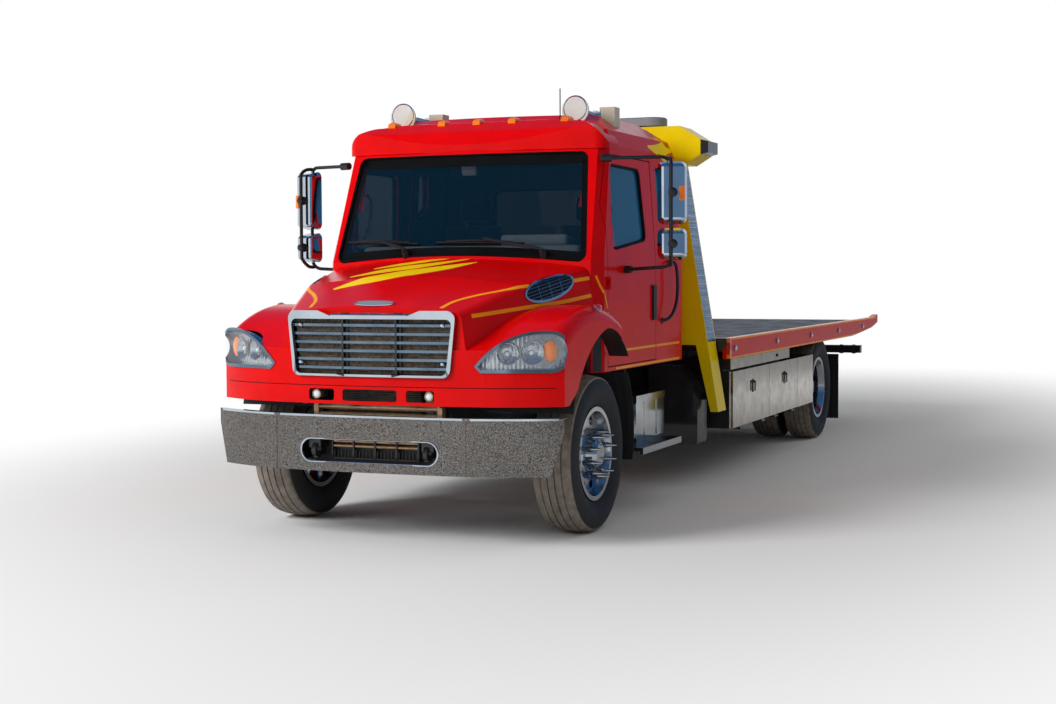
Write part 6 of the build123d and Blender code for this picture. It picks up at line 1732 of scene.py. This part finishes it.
@dataclass
class FrontEnd:
    """Screen and studs of the grille, lamps in the fascia's slots, the cooler's tube and the bumper's grid."""

    screen_x: float = 0.548
    screen_z: Pair = (1.056, 1.432)
    screen_back: float = 0.056
    studs: Profile = ((0.49, 1.357), (0.49, 1.124))
    stud_radius: float = 0.015
    post_x: float = 0.184
    slot_lamp: Pair = (0.39, 0.924)
    slot_lamp_radius: float = 0.027
    tube_place: Pair = (aft(0.152), 0.84)
    tube_half: float = 0.43
    tube_radius: float = 0.0175
    slot_half: float = 0.3
    slot_z: Pair = (0.515, 0.655)
    slot_y: float = aft(0.115)
    notch: Pair = (0.262, 1.412)
    edge_z: float = 0.794
    edge_half: float = 1.175
    slot_rim: Triple = (0.472, 0.073, 0.58)

    def build(self) -> None:
        """Make every piece of the front end."""
        grille = Skin("grille")
        self.screen(grille)
        self.posts(grille)
        self.stud_set(grille)
        self.slot_lamps()
        self.cooler_tube()
        self.bumper_grid()
        self.bumper_trim()
        self.notch_strip(grille)

    def face_y(self, grille: Skin, x: float) -> float:
        """Y of the grille ring's front face at this X."""
        return grille.hit(x, FAR_FRONT, self.screen_z[0] - 0.009, BACK).y

    def screen(self, grille: Skin) -> None:
        """Curved wire screen behind the bars.

        Args:
            grille: The grille's skin.
        """
        low, high = self.screen_z

        def build(form: Form) -> None:
            """Shape the curved sheet.

            Args:
                form: Takes the faces.
            """
            rows = []
            for k in range(25):
                x = self.screen_x * (k / 12 - 1)
                y = self.face_y(grille, x * 0.98) + self.screen_back
                inset = 0.035 * abs(x) / self.screen_x
                corners = ((x * 0.93, low), (x, high - inset * 0.3))
                rows.append([[form.verts.new((u, y + back, z)) for u, z in corners] for back in (0.0, 0.004)])
            for left, right in zip(rows, rows[1:]):
                for a, b in ((left[0], right[0]), (right[1], left[1])):
                    form.faces.new((a[0], b[0], b[1], a[1]))
                form.faces.new((left[0][0], left[1][0], right[1][0], right[0][0]))
                form.faces.new((left[0][1], right[0][1], right[1][1], left[1][1]))
            for pair, flip in ((rows[0], 1), (rows[-1], -1)):
                form.faces.new([pair[0][0], pair[0][1], pair[1][1], pair[1][0]][::flip])

        # the screen's colour holds painted light and painted shade
        make("grille_screen", build, WIRE_SCREEN, HOOD)

    def posts(self, grille: Skin) -> None:
        """Two dark posts that carry the grille's bars.

        Args:
            grille: The grille's skin.
        """

        def build(form: Form) -> None:
            """Shape both posts.

            Args:
                form: Takes the faces.
            """
            low, high = self.screen_z
            for _, side in SIDES:
                y = self.face_y(grille, side * self.post_x) + 0.049
                middle = (side * self.post_x, y, (low + high) / 2)
                soft_box(form, middle, (0.052, 0.012, high - low), 0.003, 2)

        make("grille_posts", build, FRAME_ENAMEL, HOOD)

    def stud_set(self, grille: Skin) -> None:
        """Four plated studs near the grille's corners.

        Args:
            grille: The grille's skin.
        """
        radius = self.stud_radius
        shank = [(0.0, 0.0), (0.006, 0.0), (0.006, 0.03)]
        cap = [(radius, 0.032), (radius, 0.037), (radius * 0.6, 0.044), (0.0, 0.046)]

        def build(form: Form) -> None:
            """Shape the four studs.

            Args:
                form: Takes the faces.
            """
            for x, z in self.studs:
                for _, side in SIDES:
                    place = frame_at(Vector((side * x, self.face_y(grille, side * x) + 0.05, z)), -BACK, UP)
                    lathe(form, place, shank + cap, 20)

        make("grille_studs", build, CHROME, HOOD)

    def slot_lamps(self) -> None:
        """A small work lamp behind the outer end of each side slot."""
        hood = Skin("hood")
        x, z = self.slot_lamp
        radius = self.slot_lamp_radius
        outside = [(0.0, 0.0), (radius, 0.0), (radius + 0.002, 0.03), (radius + 0.002, 0.042)]
        inside = [(radius - 0.003, 0.042), (radius - 0.004, 0.036), (0.0, 0.034)]
        lens = [
            (0.0, 0.036), (radius - 0.005, 0.036), (radius - 0.006, 0.041), (radius * 0.5, 0.045), (0.0, 0.046)
        ]
        for label, side in SIDES:
            y = hood.hit(side * x, FAR_FRONT, z + 0.046, BACK).y
            seat = frame_at(Vector((side * x, y + 0.062, z)), -BACK, UP)

            def shell(form: Form) -> None:
                """Shape the lamp's body and arm.

                Args:
                    form: Takes the faces.
                """
                lathe(form, seat, outside + inside, 28)
                arm = [seat @ Vector((0, v, w)) for v, w in ((0, 0.012), (0.045, 0.012), (0.062, -0.004))]
                sweep(form, arm, Vector((1, 0, 0)), ring_points(0.007, 0.004, 8, 0.6))

            make(f"slot_lamp_{label}", shell, DUSTY_ALUMINIUM, HOOD)
            turned_part(f"slot_lamp_lens_{label}", seat, lens, 28, WHITE_LENS, HOOD)

    def cooler_tube(self) -> None:
        """The cooler's lower tube with its end blocks, under the fascia."""
        y, z = self.tube_place
        half, radius = self.tube_half, self.tube_radius

        def build(form: Form) -> None:
            """Shape the tubes and end blocks.

            Args:
                form: Takes the faces.
            """
            for drop in (0.0, -0.05):
                bar(form, half, y, z + drop, radius, 20)
            for _, side in SIDES:
                soft_box(form, (side * half, y + 0.004, z - 0.025), (0.035, 0.05, 0.11), 0.006, 2)

        make("cooler_tube", build, DUSTY_ALUMINIUM, "root")

    def bumper_grid(self) -> None:
        """Tubes and slats behind the bumper's slot."""
        low, high = self.slot_z
        half, y, middle = self.slot_half, self.slot_y, (low + high) / 2

        def tubes(form: Form) -> None:
            """Shape the tubes."""
            for z in (low + 0.085, low + 0.115):
                bar(form, half, y, z, 0.011, 14)

        def slats(form: Form) -> None:
            """Shape the slats.

            Args:
                form: Takes the faces.
            """
            for k in range(5):
                soft_box(form, (half * (k / 2 - 1), y, middle), (0.012, 0.034, high - low), 0.002, 2)
            for z in (low + 0.006, high - 0.006):
                soft_box(form, (0, y, z), (2 * half, 0.034, 0.012), 0.002, 2)
            for k in range(24):
                place = (half * ((k + 0.5) / 12 - 1), y - 0.004, low + 0.033)
                soft_box(form, place, (0.006, 0.01, 0.05), 0.001, 1)

        def backing(form: Form) -> None:
            """Shape the backing sheet."""
            soft_box(form, (0, y + 0.03, middle), (2 * half + 0.3, 0.004, high - low + 0.1), 0.001, 1)

        make("bumper_grid_tubes", tubes, DUSTY_ALUMINIUM, "root")
        make("bumper_grid_slats", slats, FRAME_ENAMEL, "root")
        make("bumper_grid_backing", backing, BLACK_MOULDING)

    def bumper_trim(self) -> None:
        """A film of clean chrome along the bumper's upper edge as a painted highlight, and the plated rim of
        its slot.
        """
        bumper = Skin("front_bumper")
        edge = [bumper.hit(self.edge_half * (k / 12 - 1), FAR_FRONT, self.edge_z, BACK) for k in range(25)]
        # clean chrome film on the upper edge: a painted highlight
        lay_ribbon("bumper_painted_highlight_edge", edge, [0.012], bumper, CHROME, "root", rise=0.0008)
        half, radius, z = self.slot_rim

        def rim(form: Form) -> None:
            """Shape the rim.

            Args:
                form: Takes the faces.
            """
            path = []
            for u, v in ring_points(radius, radius, 48):
                x = u + math.copysign(half - radius, u)
                # the ray goes a little outside the slot, so that it meets the plate
                place = bumper.hit(x * 1.012, FAR_FRONT, z + v * 1.06, BACK)
                path.append(Vector((x, place.y - 0.001, z + v)))
            sweep(form, path, -BACK, ring_points(0.006, 0.004, 10), closed=True)

        make("bumper_slot_rim", rim, CHROME, "root")

    def notch_strip(self, grille: Skin) -> None:
        """Plated strip that closes the grille's upper notch over the screen's top edge.

        Args:
            grille: The grille's skin.
        """
        half, z = self.notch

        def build(form: Form) -> None:
            """Shape the strip."""
            steps = [half * (k / 8 - 1) for k in range(17)]
            path = [Vector((x, self.face_y(grille, x) + 0.012, z)) for x in steps]
            sweep(form, path, UP, ring_points(0.008, 0.012, 12, 0.5))

        make("grille_notch_strip", build, CHROME, HOOD)


# --- cab and deck trim


@dataclass
class CabTrim:
    """Gold lines, yellow corners, grab bars and mirror fittings."""

    line_width: float = 0.016
    upper_line: tuple[Path, ...] = (
        (
            (0.992, aft(1.368), 1.65),
            (1.004, aft(1.398), 1.59),
            (1.03, aft(1.455), 1.495),
            (1.03, aft(1.493), 1.43),
        ),
        (
            (1.03, aft(1.507), 1.406),
            (1.03, aft(1.57), 1.29),
            (1.03, aft(1.63), 1.18),
            (1.03, aft(1.665), 1.143),
            (1.03, aft(1.74), 1.137),
            (1.03, aft(2.52), 1.137),
        ),
        ((1.03, aft(2.54), 1.137), (1.03, aft(3.1), 1.137)),
    )
    sill_line: Path = ((1.03, aft(1.66), 1.018), (1.03, aft(3.1), 1.018))
    corner: Path = (
        (0.96, aft(2.56), 2.585), (0.965, aft(2.75), 2.57), (0.96, aft(2.95), 2.56), (0.95, aft(3.12), 2.555)
    )
    corner_widths: tuple[float, ...] = (0.02, 0.09, 0.17, 0.23)
    grab_bar: Path = (
        (1.026, aft(2.84), 1.752), (1.07, aft(2.845), 1.742), (1.088, aft(2.855), 1.69),
        (1.09, aft(2.87), 1.56), (1.088, aft(2.84), 1.44), (1.08, aft(2.76), 1.355),
        (1.062, aft(2.69), 1.322), (1.026, aft(2.672), 1.314),
    )
    mirror_tube: Path = (
        (1.372, aft(1.762), 2.437), (1.398, aft(1.722), 2.437), (1.418, aft(1.672), 2.405),
        (1.42, aft(1.664), 2.33), (1.42, aft(1.664), 1.85), (1.418, aft(1.672), 1.775),
        (1.398, aft(1.735), 1.722), (1.372, aft(1.775), 1.722),
    )
    clamps_z: tuple[float, ...] = (2.2075, 1.8625)
    horn_y: float = -3.13
    liner_shade_z: float = 1.2
    marker: Pair = (1.48, 2.2)
    marker_size: Triple = (0.038, 0.095, 0.014)
    liner_shade_front: tuple[float, ...] = (0.6, 0.72, 0.84, 0.95)
    liner_shade_side: Pair = (1.4, -3.57)
    bar_foot: Profile = ((0.0, 0.0), (0.024, 0.0), (0.024, 0.006), (0.015, 0.012), (0.0, 0.012))
    clamp: Profile = (
        (0.0, 0.0), (0.032, 0.0), (0.032, 0.022), (0.024, 0.034), (0.024, 0.056), (0.014, 0.062), (0.0, 0.063)
    )

    def build(self) -> None:
        """Lay the lines and place the fittings."""
        cab = Skin("cab_shell")
        for label, side in SIDES:
            door = Skin(f"door_{label}")
            skins = ((cab, "root"), (door, f"door_{label}_assembly"), (cab, "root"))
            for number, (points, (skin, body)) in enumerate(zip(self.upper_line, skins), 1):
                name, line = f"cab_line_{number}_{label}", on_side(points, side)
                lay_ribbon(name, line, [self.line_width], skin, GOLD_VINYL, body)
            line = on_side(self.sill_line, side)
            lay_ribbon(
                f"cab_sill_line_{label}", line, [self.line_width], cab, GOLD_VINYL, "root"
            )
            line = on_side(self.corner, side)
            lay_ribbon(
                f"cab_corner_sweep_{label}", line, self.corner_widths, cab, YELLOW_VINYL, "root"
            )
            self.tubes(label, side)
            self.horn_ring(label, side)
            self.liner_and_shade_panel(label, side, cab)

    def liner_and_shade_panel(self, label: str, side: float, cab: Skin) -> None:
        """Black panel round the cab's front corner, behind the wheel: the wheel's liner, and painted shade in
        the wheel well.

        Args:
            label: Left or right.
            side: 1 for left, -1 for right.
            cab: The cab's skin.
        """
        x, y = self.liner_shade_side
        wall = [cab.hit(side * ahead, -4.2, self.liner_shade_z, BACK) for ahead in self.liner_shade_front]
        wall.append(cab.hit(side * x, y, self.liner_shade_z, Vector((-side, 0, 0))))
        # black film for the liner and for painted shade behind the wheel
        name, finish = f"liner_and_shade_panel_{label}", BLACK_MOULDING
        lay_ribbon(name, wall, [0.38], cab, finish, "root", step=0.04, rise=0.003)

    def horn_ring(self, label: str, side: float) -> None:
        """Plated rim round the cover of a roof horn.

        Args:
            label: Left or right.
            side: 1 for left, -1 for right.
        """
        corners = [vert.co for vert in FRAME["nodes"]["air_horns"].data.vertices]
        mouth = [co for co in corners if co.y < self.horn_y and co.x * side > 0]
        low = Vector([min(co[k] for co in mouth) for k in range(3)])
        high = Vector([max(co[k] for co in mouth) for k in range(3)])
        middle, radius = (low + high) / 2, (high.z - low.z) / 2

        def build(form: Form) -> None:
            """Shape the ring."""
            path = [middle + Vector((u, 0.004, v)) for u, v in ring_points(radius, radius, 48)]
            sweep(form, path, -BACK, ring_points(0.006, 0.01, 12), closed=True)

        make(f"horn_ring_{label}", build, CHROME, "root")

    def tubes(self, label: str, side: float) -> None:
        """Grab bar behind the door, and the tube and clamps before the mirror heads.

        Args:
            label: Left or right.
            side: 1 for left, -1 for right.
        """

        def bent(points: Sequence[Triple]) -> list[Vector]:
            """Smooth path on this side."""
            return smooth_path([Vector(p) for p in on_side(points, side)], 0.02)

        def grab(form: Form) -> None:
            """Shape the bar and its feet.

            Args:
                form: Takes the faces.
            """
            path = bent(self.grab_bar)
            sweep(form, path, Vector((side, 0.2, 0)), ring_points(0.012, 0.012, 14))
            for place in (path[0], path[-1]):
                seat = frame_at(place + Vector((side * 0.003, 0, 0)), Vector((side, 0, 0)), UP)
                lathe(form, seat, self.bar_foot, 20)

        def tube(form: Form) -> None:
            """Shape the tube and its clamps.

            Args:
                form: Takes the faces.
            """
            path = bent(self.mirror_tube)
            sweep(form, path, Vector((side, 0.2, 0)), ring_points(0.0125, 0.0125, 14))
            for z in self.clamps_z:
                x, y, _ = self.mirror_tube[3]
                place = frame_at(Vector((side * x, y + 0.045, z)), Vector((side * 0.2, -1, 0)), UP)
                lathe(form, place, self.clamp, 24)

        door = f"door_{label}_assembly"
        make(f"grab_bar_{label}", grab, BLACK_MOULDING)
        make(f"mirror_tube_{label}", tube, BLACK_MOULDING, door)
        head = Skin(f"mirror_{label}")
        x, z = self.marker
        place, normal = head.cast(Vector((side * x, aft(1.3), z)), BACK)

        def lamp(form: Form) -> None:
            """Shape the marker lamp."""
            soft_box(form, frame_at(place + normal * 0.002, normal, UP), self.marker_size, 0.005, 3)

        make(f"mirror_marker_{label}", lamp, AMBER_LENS, door)


@dataclass
class DeckTrim:
    """Gold edges, corner markers and lamp lenses of the deck's rails, and tread plates on the pylon's legs."""

    rail_x: float = 1.26
    rail_y: Pair = (aft(3.745), aft(9.86))
    line_z: Pair = (1.1375, 0.9875)
    line_width: float = 0.012
    marker_z: Pair = (0.984, 1.142)
    lamp_y: tuple[float, ...] = (aft(3.857), aft(5.236), aft(6.565), aft(7.818), aft(9.073))
    lamp_z: float = 1.0625
    plate_place: Triple = (-1.4125, 1.125, 2.485)
    plate_width: float = 0.205
    corner_y: Pair = (aft(3.708), aft(3.72))
    tip: float = 0.03
    crown: Profile = ((0.0, 0.0), (0.0165, 0.0), (0.0155, 0.004), (0.01, 0.007), (0.0, 0.008))

    def build(self) -> None:
        """Make the trim of both rails and the plates on the pylon's legs."""
        deck = Skin("deck")
        pylon = Skin("light_pylon")
        for label, side in SIDES:
            for name, z in zip(("top", "foot"), self.line_z):
                piece, points = f"deck_line_{name}_{label}", [(side * self.rail_x, y, z) for y in self.rail_y]
                lay_ribbon(piece, points, [self.line_width], deck, GOLD_VINYL, "bed", step=0.25)
            y, low, high = self.plate_place
            plate = [pylon.hit(side * FAR_SIDE, y, z, Vector((-side, 0, 0))) for z in (low, high)]
            piece = f"pylon_tread_plate_{label}"
            lay_ribbon(piece, plate, [self.plate_width], pylon, TREAD_PLATE, "root", step=0.2)
            self.corner_marker(label, side)
            self.lenses(label, side)

    def corner_marker(self, label: str, side: float) -> None:
        """Red lamp with amber ends, wrapped round the rail's front corner.

        Args:
            label: Left or right.
            side: 1 for left, -1 for right.
        """
        low, high = self.marker_z
        front, rear = self.corner_y
        runs = (
            ("red", low + self.tip, high - self.tip, RED_LENS, "red_lens"),
            ("foot", low, low + self.tip, AMBER_LENS, "amber"),
            ("top", high - self.tip, high, AMBER_LENS, "amber"),
        )
        for name, start, end, finish, slot in runs:

            def build(form: Form) -> None:
                """Shape both faces of the marker.

                Args:
                    form: Takes the faces.
                """
                z, tall = (start + end) / 2, end - start
                before = (side * (self.rail_x - 0.012), front, z)
                soft_box(form, before, (0.028, 0.008, tall), 0.002, 2)
                soft_box(form, (side * self.rail_x, rear, z), (0.006, 0.03, tall), 0.002, 2)

            make(f"deck_corner_{name}_{label}", build, finish, "bed")

    def lenses(self, label: str, side: float) -> None:
        """Low clear crowns on the rail's lamps.

        Args:
            label: Left or right.
            side: 1 for left, -1 for right.
        """
        rails = Skin("deck_lamps")

        def build(form: Form) -> None:
            """Shape the crowns.

            Args:
                form: Takes the faces.
            """
            for y in self.lamp_y:
                place, _ = rails.cast(Vector((side * FAR_SIDE, y, self.lamp_z)), Vector((-side, 0, 0)))
                seat = frame_at(place - Vector((side * 0.001, 0, 0)), Vector((side, 0, 0)), UP)
                lathe(form, seat @ Matrix.Diagonal((1.35, 1.0, 1.0, 1.0)), self.crown, 24)

        make(f"deck_lamp_lenses_{label}", build, WHITE_LENS, "bed")


# --- studio


@dataclass
class Studio:
    """Floor, light and camera."""

    camera_place: Triple = (4.758, -13.861, 1.685)
    yaw_deg: float = 22.54
    pitch_deg: float = -2.83
    roll_deg: float = -0.26
    lens_mm: float = 56.0
    floor_colour: str = "#EDEDED"
    zenith_colour: str = "#3A6596"
    flank_colour: str = "#6C88A8"
    fill: float = 0.34
    key_watts: float = 2300.0
    lamp_places: tuple[tuple[str, Triple, float, float], ...] = (
        ("key", (-8.0, -15.0, 9.0), 7.0, 1.0),
        ("rim", (9.0, 9.0, 8.0), 6.0, 0.08),
    )
    lamp_aim: Triple = (0.0, -1.0, 1.2)
    floor_half: float = 90.0
    fade_reach: Pair = (2.6, 6.5)
    fade_squash: Triple = (1.0, 0.42, 1.0)
    open_line: Triple = (1.0, 0.082, 0.0)
    open_reach: Pair = (3.62, 5.1)

    def build(self) -> None:
        """Set the stage."""
        scene = bpy.context.scene
        scene.view_settings.view_transform = "Standard"
        self.floor()
        self.world(scene)
        self.lamps(scene)
        self.camera(scene)

    def floor(self) -> None:
        """A wide pale floor that fades to white far off, though reflections see it grey on the truck's left."""
        size = self.floor_half
        mesh = mesh_from(
            "studio_floor", lambda form: bmesh.ops.create_grid(form, x_segments=1, y_segments=1, size=size)
        )
        floor = bpy.data.objects.new("studio_floor", mesh)
        bpy.context.scene.collection.objects.link(floor)
        material = bpy.data.materials.new("pale_painted_floor")
        material.use_nodes = True
        tree = material.node_tree
        tree.nodes.clear()
        settings = {"Base Color": linear(self.floor_colour), "Roughness": 0.9, "Specular IOR Level": 0.1}
        paint = add_node(tree, "BsdfPrincipled", settings)
        white = add_node(tree, "Emission", {"Color": (1, 1, 1, 1), "Strength": 1.0})
        place = add_node(tree, "TexCoord").outputs["Object"]
        squashed = add_node(tree, "VectorMath", {"operation": "MULTIPLY", 1: self.fade_squash}, {0: place})
        reach = add_node(tree, "VectorMath", {"operation": "LENGTH"}, {0: squashed.outputs["Vector"]})
        near, far = self.fade_reach
        settings = {"From Min": near, "From Max": far, "interpolation_type": "SMOOTHSTEP"}
        fade = add_node(tree, "MapRange", settings, {"Value": reach.outputs["Value"]})
        line = add_node(tree, "VectorMath", {"operation": "DOT_PRODUCT", 1: self.open_line}, {0: place})
        near, far = self.open_reach
        settings = {"From Min": near, "From Max": far, "To Min": 1.0, "To Max": 0.0}
        open_side = add_node(tree, "MapRange", settings, {"Value": line.outputs["Value"]})
        eye = add_node(tree, "LightPath").outputs["Is Camera Ray"]
        limit = add_node(tree, "Math", {"operation": "MAXIMUM"}, {0: open_side.outputs["Result"], 1: eye})
        lit = add_node(
            tree, "Math", {"operation": "MULTIPLY"}, {0: fade.outputs["Result"], 1: limit.outputs[0]}
        )
        share = add_node(tree, "Math", {"operation": "MULTIPLY"}, {0: lit.outputs[0], 1: self.seen(tree)})
        mix = add_node(
            tree, "MixShader",
            links={0: share.outputs[0], 1: paint.outputs["BSDF"], 2: white.outputs["Emission"]},
        )
        add_node(tree, "OutputMaterial", links={"Surface": mix.outputs["Shader"]})
        mesh.materials.append(material)

    def seen(self, tree: Tree) -> Any:
        """Socket that is 1 for rays of the camera, of reflections and through glass.

        Args:
            tree: The nodes that take it.

        Returns:
            The output socket.
        """
        path = add_node(tree, "LightPath")
        share = path.outputs["Is Camera Ray"]
        for ray in ("Is Transmission Ray", "Is Glossy Ray"):
            share = add_node(
                tree, "Math", {"operation": "MAXIMUM"}, {0: share, 1: path.outputs[ray]}
            ).outputs[0]
        return share

    def world(self, scene: bpy.types.Scene) -> None:
        """White backdrop, which reflections see grey on the left flank and blue overhead, and plain soft light.

        Args:
            scene: The scene that takes it.
        """
        world = bpy.data.worlds.new("studio")
        scene.world = world
        world.use_nodes = True
        tree = world.node_tree
        tree.nodes.clear()
        way = add_node(tree, "SeparateXYZ", links={"Vector": add_node(tree, "TexCoord").outputs["Generated"]})
        shares = []
        for axis, low, high in (("Z", 0.17, 0.5), ("X", -0.06, 0.2)):
            settings = {"From Min": low, "From Max": high, "interpolation_type": "SMOOTHSTEP"}
            shares.append(add_node(tree, "MapRange", settings, {"Value": way.outputs[axis]}).outputs["Result"])
        height, flank = shares
        colours = {"data_type": "RGBA", 6: (1, 1, 1, 1), 7: linear(self.flank_colour)}
        wall = add_node(tree, "Mix", colours, {0: flank})
        colours = {"data_type": "RGBA", 7: linear(self.zenith_colour)}
        sky = add_node(tree, "Mix", colours, {0: height, 6: wall.outputs[2]})
        eye = add_node(tree, "LightPath").outputs["Is Camera Ray"]
        back = add_node(tree, "Mix", {"data_type": "RGBA", 7: (1, 1, 1, 1)}, {0: eye, 6: sky.outputs[2]})
        show = add_node(tree, "Background", links={"Color": back.outputs[2]})
        light = add_node(tree, "Background", {"Color": (1, 1, 1, 1), "Strength": self.fill})
        links = {0: self.seen(tree), 1: light.outputs["Background"], 2: show.outputs["Background"]}
        mix = add_node(tree, "MixShader", links=links)
        add_node(tree, "OutputWorld", links={"Surface": mix.outputs["Shader"]})

    def lamps(self, scene: bpy.types.Scene) -> None:
        """A broad key from the front right of the truck and a weaker one behind it.

        Args:
            scene: The scene that takes it.
        """
        for name, place, size, share in self.lamp_places:
            lamp = bpy.data.lights.new(name, "AREA")
            lamp.energy = self.key_watts * share
            lamp.size = size
            thing = bpy.data.objects.new(name, lamp)
            thing.location = place
            thing.visible_glossy = False
            thing.rotation_euler = (Vector(self.lamp_aim) - Vector(place)).to_track_quat("-Z", "Y").to_euler()
            scene.collection.objects.link(thing)

    def camera(self, scene: bpy.types.Scene) -> None:
        """The viewing angle: a 3/4 front view from the truck's left.

        Args:
            scene: The scene that takes it.
        """
        yaw, pitch, roll = (math.radians(v) for v in (self.yaw_deg, self.pitch_deg, self.roll_deg))
        ahead = Vector((-math.sin(yaw) * math.cos(pitch), math.cos(yaw) * math.cos(pitch), math.sin(pitch)))
        right = ahead.cross(UP).normalized()
        up = right.cross(ahead)
        across = right * math.cos(roll) + up * math.sin(roll)
        upright = up * math.cos(roll) - right * math.sin(roll)
        data = bpy.data.cameras.new("camera")
        data.sensor_width = 36.0
        data.lens = self.lens_mm
        data.clip_end = 300.0
        camera = bpy.data.objects.new("camera", data)
        turn = Matrix((across, upright, -ahead)).transposed().to_4x4()
        camera.matrix_world = Matrix.Translation(self.camera_place) @ turn
        scene.collection.objects.link(camera)
        scene.camera = camera


def main() -> None:
    """Build every sub-assembly in order."""
    logging.basicConfig(level=logging.INFO, format="%(name)s: %(message)s")
    for part in (PackedModel, Windows, CabInterior, HoodTrim, Headlamps, FrontEnd, CabTrim, DeckTrim, Studio):
        LOG.info("building %s", part.__name__)
        part().build()


if __name__ == "__main__":
    main()
